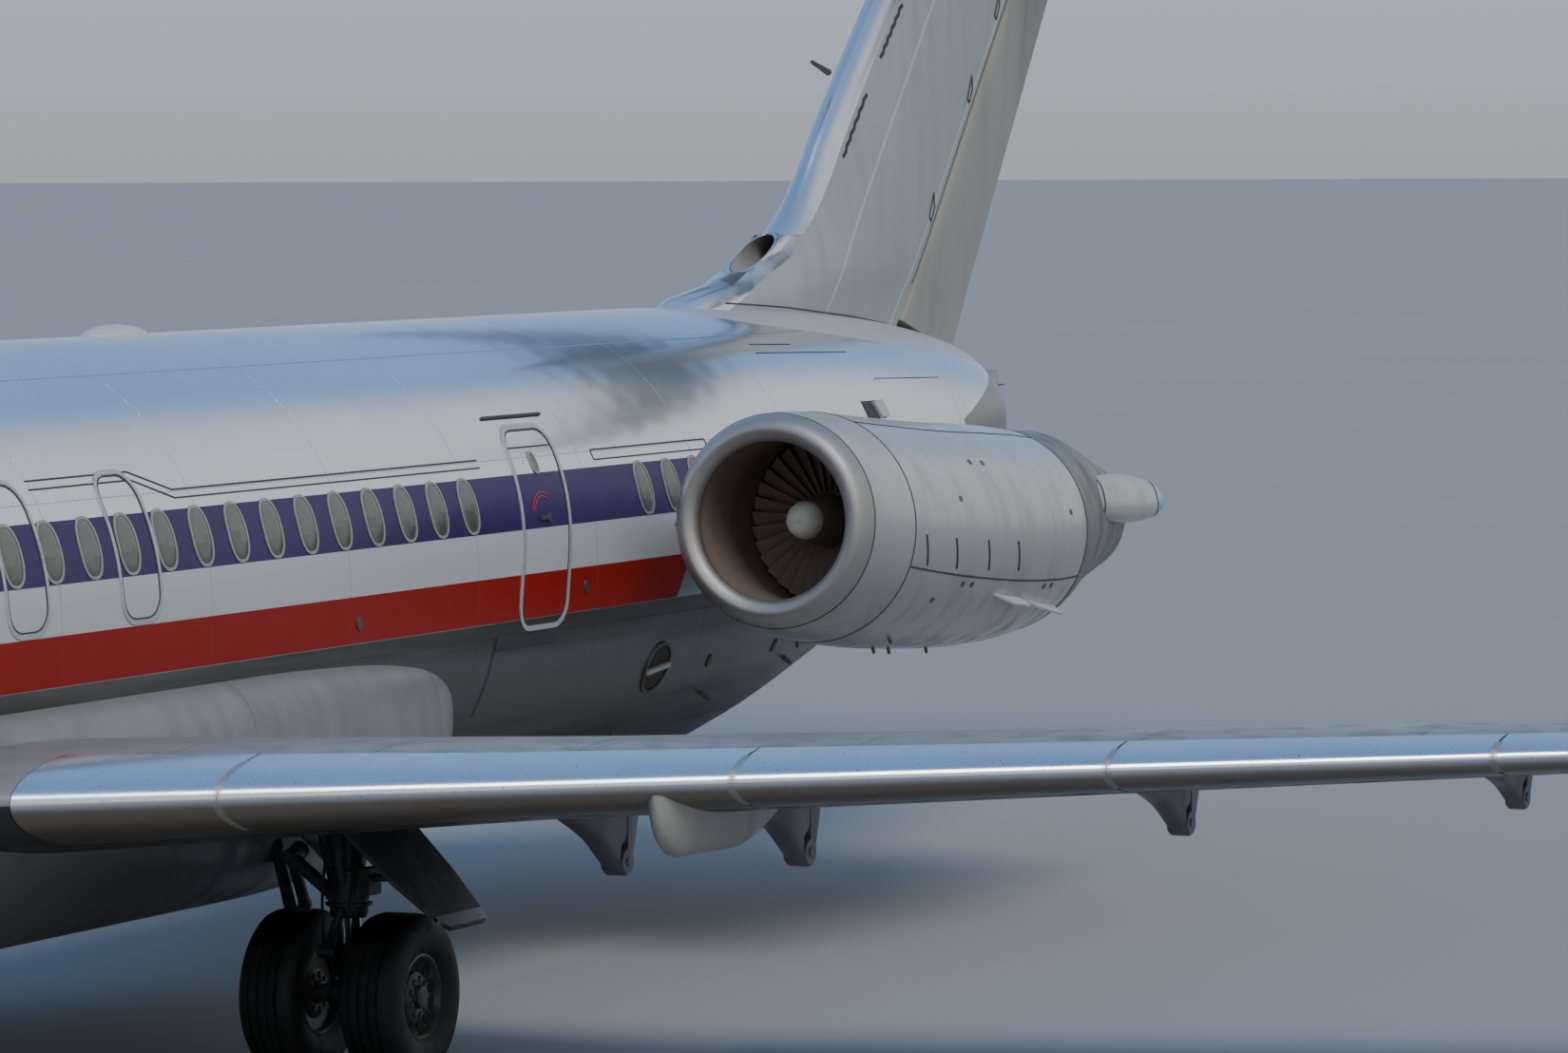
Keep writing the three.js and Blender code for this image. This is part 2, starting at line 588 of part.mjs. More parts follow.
// Ailerons turn on a straight line inside their round nose
const aileronNoseCentre = (y) => {
  const s = noseLine(AILERON, NOSE_SHARE * chordAt(AILERON, y))(y);
  return wingPoint(y, wingFraction(y, s), 0);
};
const aileronHingePoint = (y) => {
  const t = (y - AILERON.y0) / (AILERON.y1 - AILERON.y0);
  return aileronNoseCentre(AILERON.y0).lerp(aileronNoseCentre(AILERON.y1), t);
};

// A hinge pin across the gap at the end of a control surface: fast in the fixed side, loose in the moving one
const PIN_RADIUS = 9;
const PIN_REACH = 150;
function endPin(hingePoint, end, outward, radius = PIN_RADIUS) {
  const [here, there] = [hingePoint(end), hingePoint(end + outward)];
  const away = there.sub(here).normalize();
  const [from, to] = [-PIN_REACH, PIN_REACH].map((reach) => here.clone().addScaledVector(away, reach));
  return bar(from, to, radius);
}
const pinEnds = (surface) => [[surface.y0, -1], [surface.y1, 1]];
const pinsOf = (hingePoint, surface) => pinEnds(surface).map(([end, out]) => endPin(hingePoint, end, out));
const pinHolesOf = (hingePoint, surface) => (
  pinEnds(surface).map(([end, out]) => endPin(hingePoint, end, out, runningRadius(PIN_RADIUS)))
);

const surfaceRoom = (flap) => (
  wingZone(flap.y0 - flap.innerGap, flap.y1 + FLAP_SIDE_GAP, noseLine(flap, -GAP), behind, 400, GAP)
);
const vortilon = vortilonBody();
const wingPad = jackPad(JACK_PAD.wingS, JACK_PAD.wingY, jackPadZ, 150);
const wingFixed = largest(cut(
  union([wingBody, ...blades.map((blade) => blade.fixed), vortilon, wingPad]),
  [hullClear, slatZoneClear.subtract(vortilon), ...FLAPS.map(surfaceRoom), surfaceRoom(AILERON), wellCutter],
).add(union(pinsOf(aileronHingePoint, AILERON))));
const slats = cut(wingBody.intersect(slatZone), [hullClear, seatRoom(vortilon)]);
const aileron = cut(trailingSurface(AILERON), pinHolesOf(aileronHingePoint, AILERON));

// Belly and wing-root fairing
// columns: station, fullness
const FAIRING_SECTIONS = [
  [18250, 0],
  [18700, 0.6],
  [19500, 0.92],
  [20600, 1],
  [26300, 1],
  [27100, 0.93],
  [27650, 0.72],
  [28020, 0],
];
// columns: y and z of the hidden core, y and z of the full outline, from the top edge to the belly
const FAIRING_OUTLINE = [
  [1300, 2300, 1420, 2560],
  [1350, 2200, 1760, 2440],
  [1350, 2000, 1900, 2200],
  [1300, 1800, 1940, 1850],
  [1150, 1600, 1880, 1450],
  [950, 1450, 1620, 1130],
  [600, 1350, 1150, 985],
  [300, 1320, 400, 975],
];
function fairingRing(s, fullness) {
  const port = FAIRING_OUTLINE.map(([y0, z0, y1, z1]) => [lerp(y0, y1, fullness), lerp(z0, z1, fullness)]);
  const starboard = port.map(([y, z]) => [-y, z]).reverse();
  return [...port, ...starboard].map(([y, z]) => at(s, y, z));
}
const fairingBody = loft(FAIRING_SECTIONS.map(([s, fullness]) => fairingRing(s, fullness)));
const wingRoom = seatRoom(wingBody);
const fairing = largest(cut(fairingBody, [hullClear, wingRoom, mirrorY(wingRoom)]));

// Fin and rudder, in sections of constant height
const FIN_FOOT = 4000;
// columns: height, leading edge, hinge line and trailing edge stations, thickness
const FIN_SECTIONS = [
  [FIN_FOOT, 33480, 38990, 40706, 540],
  [4700, 34950, 39640, 41210, 560],
  [4920, 35900, 39845, 41380, 540],
  [5190, 36780, 40095, 41590, 500],
  [5600, 37350, 40475, 41900, 470],
  [8800, 40910, 43445, 44350, 330],
];
const FIN_TOP = 8800;
const RUDDER_TOP = 8640;

function finSection(z) {
  const upper = FIN_SECTIONS.findIndex((row) => row[0] >= z);
  const [below, above] = [FIN_SECTIONS[Math.max(0, upper - 1)], FIN_SECTIONS[upper]];
  const t = above[0] === below[0] ? 0 : (z - below[0]) / (above[0] - below[0]);
  const [, lead, hinge, trail, thickness] = below.map((value, i) => lerp(value, above[i], t));
  return { lead, hinge, trail, thickness };
}

// Half thickness of a fin section: full at a third of the chord, straight to the trailing edge
function finHalf({ lead, trail, thickness }, s) {
  const x = (s - lead) / (trail - lead);
  const peak = sectionHalf(0.3, 1);
  return (thickness * sectionHalf(THREE.MathUtils.clamp(x, 0, 1), 1)) / (2 * peak) + EDGE_HALF * x;
}

const finAft = (section) => section.hinge - finHalf(section, section.hinge) - GAP;

function finRing(z) {
  const section = finSection(z);
  const shares = [0.008, 0.03, 0.08, 0.16, 0.3, 0.5, 0.75, 1];
  const stations = shares.map((t) => lerp(section.lead, finAft(section), t));
  const side = (sign) => stations.map((s) => at(s, sign * finHalf(section, s), z));
  return [...side(1).reverse(), at(section.lead, 0, z), ...side(-1)];
}

function rudderRing(z) {
  const section = finSection(z);
  const nose = finHalf(section, section.hinge);
  const arc = [90, 120, 150, 180, 210, 240, 270].map((turn) => {
    const angle = radians(turn);
    return at(section.hinge + nose * Math.cos(angle), nose * Math.sin(angle), z);
  });
  const rear = [0.5, 1].map((t) => lerp(section.hinge, section.trail, t));
  const port = rear.map((s) => at(s, finHalf(section, s), z)).reverse();
  const starboard = rear.map((s) => at(s, -finHalf(section, s), z));
  return [...port, ...arc, ...starboard];
}

// The rudder's foot slants down towards the trailing edge, clear above the tail cone
const RUDDER_FOOT = { s: 39600, z: 4385, slope: -0.222, lowestZ: 4010 };
const rudderFootZ = (s) => RUDDER_FOOT.z + RUDDER_FOOT.slope * (s - RUDDER_FOOT.s);
const belowRudder = sidePlate([
  [38500, 3500], [42500, 3500], [42500, rudderFootZ(42500)], [38500, rudderFootZ(38500)],
], -500, 500);
const RUDDER_HEIGHTS = [4700, 5600];
const rudderHingeAt = (z) => at(finSection(z).hinge, 0, z);
const rudder = cut(
  loft([RUDDER_FOOT.lowestZ, ...RUDDER_HEIGHTS, RUDDER_TOP].map(rudderRing)),
  [belowRudder, endPin(rudderHingeAt, RUDDER_TOP, 1, runningRadius(PIN_RADIUS))],
);
const rudderRoomRing = (z) => {
  const section = finSection(Math.min(z, FIN_TOP));
  const aft = finAft(section);
  const back = section.trail + 500;
  const half = 600;
  return [at(aft, half, z), at(back, half, z), at(back, -half, z), at(aft, -half, z)];
};

// Ram-air intake at the fin's foot: an oval mouth that looks forward
const INTAKE = { s: 36380, z: 5020, depth: 900, halfWidth: 130, halfHeight: 125 };
function intakeBody(grow, s0, s1, floor) {
  const ring = (s) => {
    const points = [];
    for (let i = 0; i < 16; i += 1) {
      const angle = (i / 16) * 2 * Math.PI;
      const y = (INTAKE.halfWidth + grow) * Math.cos(angle);
      const z = INTAKE.z + (INTAKE.halfHeight + grow) * Math.sin(angle) * (Math.sin(angle) < 0 ? floor : 1);
      points.push(at(s, y, z));
    }
    return points;
  };
  return loft([ring(s0), ring(s1)]);
}

// Tailplane on top of the fin, in one piece from tip to tip
const TAILPLANE = {
  halfSpan: 6120, rootLead: 40470, tipLead: 43810, rootChord: 3450, tipChord: 1250, z: 8960,
};
const TAIL_RISE = 0.02;
const TAIL_RATIO = 0.095;
const ELEVATOR = { y0: 470, y1: 5900, share: 0.3 };

function tailSection(y) {
  const t = Math.abs(y) / TAILPLANE.halfSpan;
  const lead = lerp(TAILPLANE.rootLead, TAILPLANE.tipLead, t);
  const chord = lerp(TAILPLANE.rootChord, TAILPLANE.tipChord, t);
  return { lead, chord, z: TAILPLANE.z + TAIL_RISE * Math.abs(y) };
}

function tailPoint(y, fraction, surface) {
  const { lead, chord, z } = tailSection(y);
  const half = sectionHalf(fraction, TAIL_RATIO) * chord + EDGE_HALF;
  return at(lead + fraction * chord, y, z + surface * half);
}

const TAIL_FRACTIONS = [0.006, 0.03, 0.08, 0.18, 0.35, 0.55, 0.7, 0.85, 1];
function tailRing(y) {
  const side = (surface) => TAIL_FRACTIONS.map((f) => tailPoint(y, f, surface));
  const nose = at(tailSection(y).lead, y, tailSection(y).z);
  return [...side(1).reverse(), nose, ...side(-1)];
}
const tailBody = loft([-TAILPLANE.halfSpan, 0, TAILPLANE.halfSpan].map(tailRing));
const elevatorHingeAt = (y) => {
  const { lead, chord, z } = tailSection(y);
  return at(lead + (1 - ELEVATOR.share) * chord, y, z);
};
const elevatorNoseRadius = (y) => {
  const { chord } = tailSection(y);
  return sectionHalf(1 - ELEVATOR.share, TAIL_RATIO) * chord + EDGE_HALF;
};

function elevatorRing(y) {
  const hinge = elevatorHingeAt(y);
  const radius = elevatorNoseRadius(y);
  const arc = [90, 120, 150, 180, 210, 240, 270].map((turn) => {
    const angle = radians(turn);
    return new THREE.Vector3(hinge.x - radius * Math.cos(angle), y, hinge.z + radius * Math.sin(angle));
  });
  const rear = [0.85, 1];
  return [
    ...rear.map((f) => tailPoint(y, f, 1)).reverse(), ...arc, ...rear.map((f) => tailPoint(y, f, -1)),
  ];
}
const elevatorBody = cut(
  loft([elevatorRing(ELEVATOR.y0), elevatorRing(ELEVATOR.y1)]), pinHolesOf(elevatorHingeAt, ELEVATOR),
);
const elevatorRoomRing = (y) => {
  const hinge = elevatorHingeAt(y);
  const front = hinge.x + elevatorNoseRadius(y) + GAP;
  const back = hinge.x - 2500;
  const corners = [[front, 400], [back, 400], [back, -400], [front, -400]];
  return corners.map(([x, dz]) => new THREE.Vector3(x, y, hinge.z + dz));
};
const END_GAP = 50;
const elevatorRoom = loft([elevatorRoomRing(ELEVATOR.y0 - END_GAP), elevatorRoomRing(ELEVATOR.y1 + END_GAP)]);
const elevatorPins = union(pinsOf(elevatorHingeAt, ELEVATOR));

// Bullet fairing over the joint of fin and tailplane
// columns: station, half width, bottom and top heights
const BULLET_SECTIONS = [
  [39750, 15, 8880, 8910],
  [40050, 130, 8790, 9020],
  [40700, 235, 8700, 9140],
  [42000, 270, 8690, 9200],
  [43600, 240, 8720, 9180],
  [44500, 130, 8830, 9080],
  [44900, 25, 8930, 8990],
];
const bulletBody = loft(BULLET_SECTIONS.map(([s, half, bottom, top]) => {
  const ring = [];
  for (let i = 0; i < 12; i += 1) {
    const angle = (i / 12) * 2 * Math.PI;
    ring.push(at(s, half * Math.cos(angle), (top + bottom) / 2 + ((top - bottom) / 2) * Math.sin(angle)));
  }
  return ring;
}));

// Engines: nacelles on pylons beside the rear fuselage, with the axis nose-up
const ENGINE = { y: 2900, lipS: 30150, lipZ: 3246, pitch: 2.5 };
const LIP_END = 150;
const CORE_FACE = 1520;
const COWL_END = 4310;
const NOZZLE_END = 6010;
// columns: distance aft of the lip, radius
const LIP_PROFILE = [
  [LIP_END, 575], [90, 566], [45, 582], [14, 615], [0, 655], [14, 694], [45, 722], [90, 744], [LIP_END, 764],
];
const COWL_OUTLINE = [
  [350, 800], [900, 834], [1750, 844], [2950, 842], [3680, 826], [COWL_END, 782],
];
const REVERSER_OUTLINE = [[COWL_END, 782], [4680, 724], [5140, 636], [5690, 520], [NOZZLE_END, 462]];
const NACELLE_PROFILE = [
  [LIP_END + SEAT, 575], [640, 590], [1050, 637], [1500, 637], [COWL_END, 650],
  ...COWL_OUTLINE.toReversed(), [LIP_END + SEAT, 764],
];
const CORE_PROFILE = [
  [CORE_FACE, 0], [CORE_FACE, 636], [4290, 648], [COWL_END, 560], [5020, 500], [5020, 0],
];
const REVERSER_PROFILE = [
  [COWL_END + SEAT, 570], [5020, 510], [5140, 470], [NOZZLE_END, 440],
  ...REVERSER_OUTLINE.slice(1).toReversed(), [COWL_END + SEAT, 782],
];
const EXHAUST_BORE = [
  [4200, 0], [4200, 575], [5020, 510], [5140, 470], [NOZZLE_END + 10, 440], [6500, 440], [6500, 0],
];
const FAN = { face: 1090, back: 1240, radius: 618, hub: 210, shaft: 120 };
const FAN_PROFILE = [
  [530, 0], [570, 70], [670, 140], [870, 185], [FAN.face, FAN.hub], [FAN.face + 20, FAN.radius],
  [FAN.back, FAN.radius], [FAN.back, FAN.shaft], [CORE_FACE - SEAT, FAN.shaft], [CORE_FACE - SEAT, 0],
];

// The outer cowl hangs lower than the round duct inside it, most of all at the middle of its length
const SAG = { depth: 125, inner: 655, outer: 760 };
function sagging(solid) {
  return solid.warp((p) => {
    const along = THREE.MathUtils.clamp((-p[0] - LIP_END) / (NOZZLE_END - LIP_END), 0, 1);
    const share = THREE.MathUtils.smoothstep(Math.hypot(p[1], p[2]), SAG.inner, SAG.outer);
    p[2] -= SAG.depth * share * Math.sin(Math.PI * along) ** 0.8;
  });
}

function enginePlace(solid) {
  const lift = new THREE.Matrix4().makeRotationY(radians(-ENGINE.pitch));
  lift.setPosition(at(ENGINE.lipS, ENGINE.y, ENGINE.lipZ));
  return solid.transform(lift.elements);
}

// Side fairing of the thrust reverser's arms: a tapered spindle with a blunt pointed tail.
// The two of them lie on a line that is canted, outboard end up.
// columns: distance aft of the lip, half width, half height, distance from the axis
const STANG_SECTIONS = [
  [4750, 60, 60, 560],
  [5080, 90, 165, 590],
  [5600, 100, 185, 570],
  [6120, 95, 170, 545],
  [6480, 75, 110, 535],
  [6680, 25, 30, 530],
];
const STANG_CANT = radians(15);
function stang(side) {
  return loft(STANG_SECTIONS.map(([aft, half, height, distance]) => {
    const ring = [];
    for (let i = 0; i < 8; i += 1) {
      const angle = (i / 8) * 2 * Math.PI;
      const y = side * distance + half * Math.cos(angle);
      const point = new THREE.Vector3(-aft, y, height * Math.sin(angle));
      ring.push(point.applyAxisAngle(new THREE.Vector3(1, 0, 0), STANG_CANT));
    }
    return ring;
  }));
}

// Pylon: a flat streamlined beam between fuselage and nacelle
// columns: station, half thickness
const PYLON_SECTIONS = [
  [31300, 12], [31500, 75], [32000, 125], [33200, 150], [35000, 130], [36200, 70], [36900, 14],
];
const PYLON_Z = 3080;
const PYLON_DROP = 0.03;
function pylonBody() {
  const ring = (y) => {
    const height = (s) => PYLON_Z - PYLON_DROP * (s - 34000);
    const top = PYLON_SECTIONS.map(([s, half]) => at(s, y, height(s) + half));
    const bottom = PYLON_SECTIONS.map(([s, half]) => at(s, y, height(s) - half)).reverse();
    return [...top, ...bottom];
  };
  return loft([ring(1100), ring(2400)]);
}

const envelopeOutline = [[LIP_END, 764], ...COWL_OUTLINE, ...REVERSER_OUTLINE.slice(1)];
const seatedOutline = envelopeOutline.map(([aft, radius]) => [aft, radius + SEAT]);
const nacelleEnvelope = sagging(turned([[LIP_END, 0], ...seatedOutline, [NOZZLE_END, 0]]));

// Landing gear

function tyreProfile(radius, width) {
  const half = width / 2;
  const rim = radius * 0.52;
  return [
    [-half * 0.8, rim], [-half, radius * 0.76], [-half * 0.86, radius * 0.93], [-half * 0.4, radius],
    [half * 0.4, radius], [half * 0.86, radius * 0.93], [half, radius * 0.76], [half * 0.8, rim],
  ];
}

// A body of revolution about a line across the aircraft
function turnedAcross(profile, segments, place) {
  const turnedAft = turned(profile, segments);
  const across = new THREE.Matrix4().makeRotationZ(Math.PI / 2);
  across.setPosition(place);
  return turnedAft.transform(across.elements);
}

function hubProfile(radius, width, grip) {
  const rim = radius * 0.52 + grip;
  const half = width * 0.4;
  return [
    [-half * 0.5, 0], [-half * 0.5, rim * 0.45], [-half * 0.35, rim * 0.8], [-half, rim * 0.88], [-half, rim],
    [half, rim], [half, rim * 0.88], [half * 0.35, rim * 0.8], [half * 0.5, rim * 0.45], [half * 0.5, 0],
  ];
}

function wheelAxle(gear, sign, grip) {
  const centre = (offset) => at(gear.s, sign * gear.y + offset, gear.axleZ);
  const reach = gear.spacing + gear.tyreWidth * 0.2;
  const hubs = [-1, 1].map((side) => turnedAcross(
    hubProfile(gear.tyreRadius, gear.tyreWidth, grip), HUB_SEGMENTS, centre(side * gear.spacing),
  ));
  return union([bar(centre(-reach), centre(reach), gear.axle, gear.axle, BARREL_SIDES), ...hubs]);
}

const NOSE_GEAR = { s: 2250, y: 0, axleZ: 330, tyreRadius: 330, tyreWidth: 170, spacing: 180, axle: 34 };

// A bearing block around the axle at the foot of a leg
function bearing(gear, radius, halfWidth, sign) {
  const ends = [-halfWidth, halfWidth].map((dy) => at(gear.s, sign * gear.y + dy, gear.axleZ));
  const hole = [-halfWidth - 50, halfWidth + 50].map((dy) => at(gear.s, sign * gear.y + dy, gear.axleZ));
  const holeRadius = runningRadius(gear.axle, BARREL_SIDES);
  return {
    block: bar(ends[0], ends[1], radius, radius, BARREL_SIDES),
    hole: bar(hole[0], hole[1], holeRadius, holeRadius, BARREL_SIDES),
  };
}

// Everything around and above the wheel well's pocket, which the top of the leg stays inside
const wellSurround = box(WELL.s0 - 2000, WELL.s1 + 2000, WELL.y0 - 500, WELL.y1 + 500, 1640, 2400)
  .subtract(box(WELL.s0 + SEAT, WELL.s1 - SEAT, WELL.y0 + SEAT, WELL.y1 - SEAT, 800, WELL.roofZ - SEAT));

function mainLeg() {
  const { s, y, axleZ } = MAIN_GEAR;
  const { block, hole } = bearing(MAIN_GEAR, 105, 115, PORT);
  const top = WELL.roofZ - SEAT;
  const leg = union([
    bar(at(s, y, axleZ), at(s, y, LEG_SLEEVE.foot), 78),
    bar(at(s, y, LEG_SLEEVE.foot - 30), at(s, y, top), LEG_SLEEVE.radius),
    bar(at(s - 20, y - 60, 1120), at(s - 20, 2330, 1700), 48),
    bar(at(s + 60, y, 1150), at(s + 330, y, 1700), 42),
    bar(at(s - 60, y, 1150), at(s - 300, y + 40, 1700), 42),
    bar(at(s - 100, y, 1090), at(s - 300, y, 830), 34),
    bar(at(s - 300, y, 830), at(s - 70, y, 620), 30),
    bar(at(s - 300, y - 60, 830), at(s - 300, y + 60, 830), 40),
    bar(at(s - 20, y - 230, 1700), at(s - 20, y + 120, 1700), 60),
    bar(at(s - 300, y, 1700), at(s + 330, y, 1700), 50),
    block,
  ]);
  return leg.subtract(hole).subtract(wellSurround);
}

// The door carried by the main leg slants down and outboard, clear above the outer tyre
const LEG_DOOR = { topY: 2720, topZ: 1590, lowY: 3360, lowZ: 985, thickness: 28, linkY: 3050, linkZ: 1290 };
const LEG_SLEEVE = { radius: 118, foot: 1040 };
function legDoor() {
  const { topY, topZ, lowY, lowZ, thickness } = LEG_DOOR;
  const { s } = MAIN_GEAR;
  // columns: share of the way down, forward and aft stations
  const rows = [
    [0, s - 430, s + 480], [0.5, s - 420, s + 430], [0.93, s - 300, s + 330], [1, s - 230, s + 250],
  ];
  const normal = new THREE.Vector3(0, topZ - lowZ, lowY - topY).normalize().multiplyScalar(thickness);
  const plate = loft(rows.map(([t, s0, s1]) => {
    const [y, z] = [lerp(topY, lowY, t), lerp(topZ, lowZ, t)];
    const inner = [at(s0, y, z), at(s1, y, z)];
    const outer = inner.map((p) => p.clone().add(normal)).reverse();
    return [...inner, ...outer];
  }));
  const link = bar(at(s, MAIN_GEAR.y + 80, LEG_DOOR.linkZ - 20), at(s, LEG_DOOR.linkY, LEG_DOOR.linkZ), 30);
  const sleeveRoom = bar(at(s, MAIN_GEAR.y, 1000), at(s, MAIN_GEAR.y, 1700), LEG_SLEEVE.radius + SEAT);
  return plate.add(link.subtract(sleeveRoom));
}

// Nose gear: a fixed upper leg, a steering collar with the lower leg, and two small doors
const NOSE_BAY = { s0: 1850, s1: 2900, half: 300, roofZ: 1560 };
const noseBayCutter = box(NOSE_BAY.s0, NOSE_BAY.s1, -NOSE_BAY.half, NOSE_BAY.half, 900, NOSE_BAY.roofZ);
const NOSE_SPLIT_Z = 890;
const noseUpper = union([
  bar(at(NOSE_GEAR.s, 0, NOSE_SPLIT_Z + SEAT), at(NOSE_GEAR.s, 0, NOSE_BAY.roofZ - SEAT), 72),
  bar(at(NOSE_GEAR.s, 0, 1080), at(NOSE_GEAR.s + 480, 0, NOSE_BAY.roofZ - 40), 40),
  bar(at(NOSE_GEAR.s + 480, -200, NOSE_BAY.roofZ - 60), at(NOSE_GEAR.s + 480, 200, NOSE_BAY.roofZ - 60), 45),
  bar(at(NOSE_GEAR.s, -240, 1430), at(NOSE_GEAR.s, 240, 1430), 50),
  bar(at(NOSE_GEAR.s, -150, 960), at(NOSE_GEAR.s, 150, 960), 42),
]);

// A square lug ahead of the lower leg takes the tow bar
const TOW_LUG = { reach: 110, half: 28 };

function noseLower() {
  const { s, axleZ } = NOSE_GEAR;
  const { block, hole } = bearing(NOSE_GEAR, 62, 68, PORT);
  return union([
    bar(at(s, 0, NOSE_SPLIT_Z), at(s, 0, 800), 84),
    bar(at(s, 0, 810), at(s, 0, axleZ), 50),
    bar(at(s + 60, 0, 820), at(s + 190, 0, 640), 24),
    bar(at(s + 190, 0, 640), at(s + 40, 0, 450), 22),
    bar(at(s + 190, -40, 640), at(s + 190, 40, 640), 28),
    box(s - TOW_LUG.reach, s - 40, -TOW_LUG.half, TOW_LUG.half, axleZ + 90, axleZ + 90 + 2 * TOW_LUG.half),
    block,
  ]).subtract(hole);
}

function noseDoor() {
  const y = NOSE_BAY.half - 34;
  const outline = [[2020, 1500], [2800, 1500], [2760, 900], [2640, 850], [2160, 850], [2040, 900]];
  return sidePlate(outline, y, y + 22).add(bar(at(2100, y + 24, 1460), at(2720, y + 24, 1460), 10 - SEAT));
}

// Assembly

const fuselageCutters = [glazingCutter, noseBayCutter, ...doorCutters];
const nosePad = jackPad(JACK_PAD.noseS, 0, NOSE_PAD_Z, 150);
const cabin = hull.intersect(slab(RADOME_END, TAIL_CONE_START)).add(nosePad);
addPiece('fuselage', largest(cut(cabin, fuselageCutters)), 'skin');
addPiece('radome', hull.intersect(slab(-100, RADOME_END - SEAT)), 'paint');
addPiece('tail_cone', hull.intersect(slab(TAIL_CONE_START + SEAT, LENGTH)), 'skin');
addPiece('cockpit_windows', glazing, 'glass');
addPiece('wing_body_fairing', fairing, 'paint');
for (const { node, solid } of doorSolids) addPiece(node, solid, 'skin');

const intakeCut = intakeBody(0, 35000, INTAKE.s + INTAKE.depth, 1);
// The mouth is cut slantwise, its lower edge furthest forward
const intakeSide = [[35700, 4300], [37600, 4300], [37600, 5700], [37150, 5700], [35950, 4860]];
const intakeShell = intakeBody(45, INTAKE.s - 330, INTAKE.s + INTAKE.depth + 100, 1.6)
  .intersect(sidePlate(intakeSide, -400, 400));
const rudderRoom = loft([FIN_FOOT, ...RUDDER_HEIGHTS, RUDDER_TOP + 5 * GAP].map(rudderRoomRing));
const finBody = loft(FIN_SECTIONS.map(([z]) => finRing(z)));
const tailRoom = seatRoom(tailBody);
const finWithIntake = finBody.add(intakeShell).subtract(intakeCut);
const finFixed = largest(cut(finWithIntake, [hullClear, tailRoom, rudderRoom]));
addPiece('fin', finFixed, 'paint');
const bullet = largest(cut(bulletBody, [tailRoom, seatRoom(finBody)]));
addPiece('fin_tip_fairing', bullet.add(endPin(rudderHingeAt, RUDDER_TOP, 1)), 'paint');
addPiece('rudder', rudder, 'paint');
const tailFixed = cut(tailBody, [elevatorRoom, mirrorY(elevatorRoom)]);
addPiece('tailplane', union([tailFixed, elevatorPins, mirrorY(elevatorPins)]), 'paint');

for (const { name, sign } of SIDES) {
  const put = (node, solid, look) => addPiece(`${node}_${name}`, onSide(solid, sign), look);
  const engine = (node, solid, look) => put(node, enginePlace(solid), look);
  put('wing', wingFixed, 'paint');
  put('slats', slats, 'skin');
  FLAPS.forEach((flap, i) => {
    const arms = blades.filter((blade) => blade.flap === i).map((blade) => blade.moving);
    put(flap.node, union([trailingSurface(flap), ...arms]), 'paint');
  });
  put(AILERON.node, aileron, 'paint');
  put('elevator', elevatorBody, 'paint');
  const engineRoom = enginePlace(nacelleEnvelope.add(seatRoom(stang(-1))));
  put('pylon', largest(cut(pylonBody(), [hullClear, engineRoom])), 'paint');
  engine('inlet_lip', turned(LIP_PROFILE), 'lip');
  engine('nacelle', sagging(turned(NACELLE_PROFILE)), 'paint');
  engine('engine', turned(CORE_PROFILE), 'dark');
  engine('fan', turned(FAN_PROFILE), 'dark');
  engine('reverser', union([sagging(turned(REVERSER_PROFILE)), stang(1), stang(-1)])
    .subtract(turned(EXHAUST_BORE)), 'paint');
  put('main_leg', mainLeg(), 'steel');
  put('main_leg_door', legDoor(), 'paint');
  put('nose_gear_door', noseDoor(), 'paint');
  put('main_axle', wheelAxle(MAIN_GEAR, PORT, -SEAT), 'steel');
  for (const [place, side] of [['inner', -1], ['outer', 1]]) {
    const centre = at(MAIN_GEAR.s, MAIN_GEAR.y + side * MAIN_GEAR.spacing, MAIN_GEAR.axleZ);
    const tyre = turnedAcross(tyreProfile(MAIN_GEAR.tyreRadius, MAIN_GEAR.tyreWidth), WHEEL_SEGMENTS, centre);
    put(`main_tyre_${place}`, tyre, 'tyre');
  }
}

addPiece('nose_leg', noseUpper, 'steel');
addPiece('nose_leg_steering', noseLower(), 'steel');
const noseTyreProfile = tyreProfile(NOSE_GEAR.tyreRadius, NOSE_GEAR.tyreWidth);
const noseTyres = [-1, 1].map((side) => (
  turnedAcross(noseTyreProfile, NOSE_WHEEL_SEGMENTS, at(NOSE_GEAR.s, side * NOSE_GEAR.spacing, NOSE_GEAR.axleZ))
));
addPiece('nose_wheels', union([wheelAxle(NOSE_GEAR, PORT, SEAT), ...noseTyres]), 'tyre');

aircraft.scale.setScalar(MODEL_SCALE);
export default aircraft;
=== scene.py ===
"""Narrow-body airliner with rear engines and a T-tail, at half size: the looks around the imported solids.

Shapes are worked out in the full-size aircraft's metres: s aft of the nose tip, y to port, z up from the
ground. at() turns them into the model's own metres, which have X forward from the middle of the length.
"""
import math

import bmesh
import bpy
import numpy as np
from mathutils import Matrix


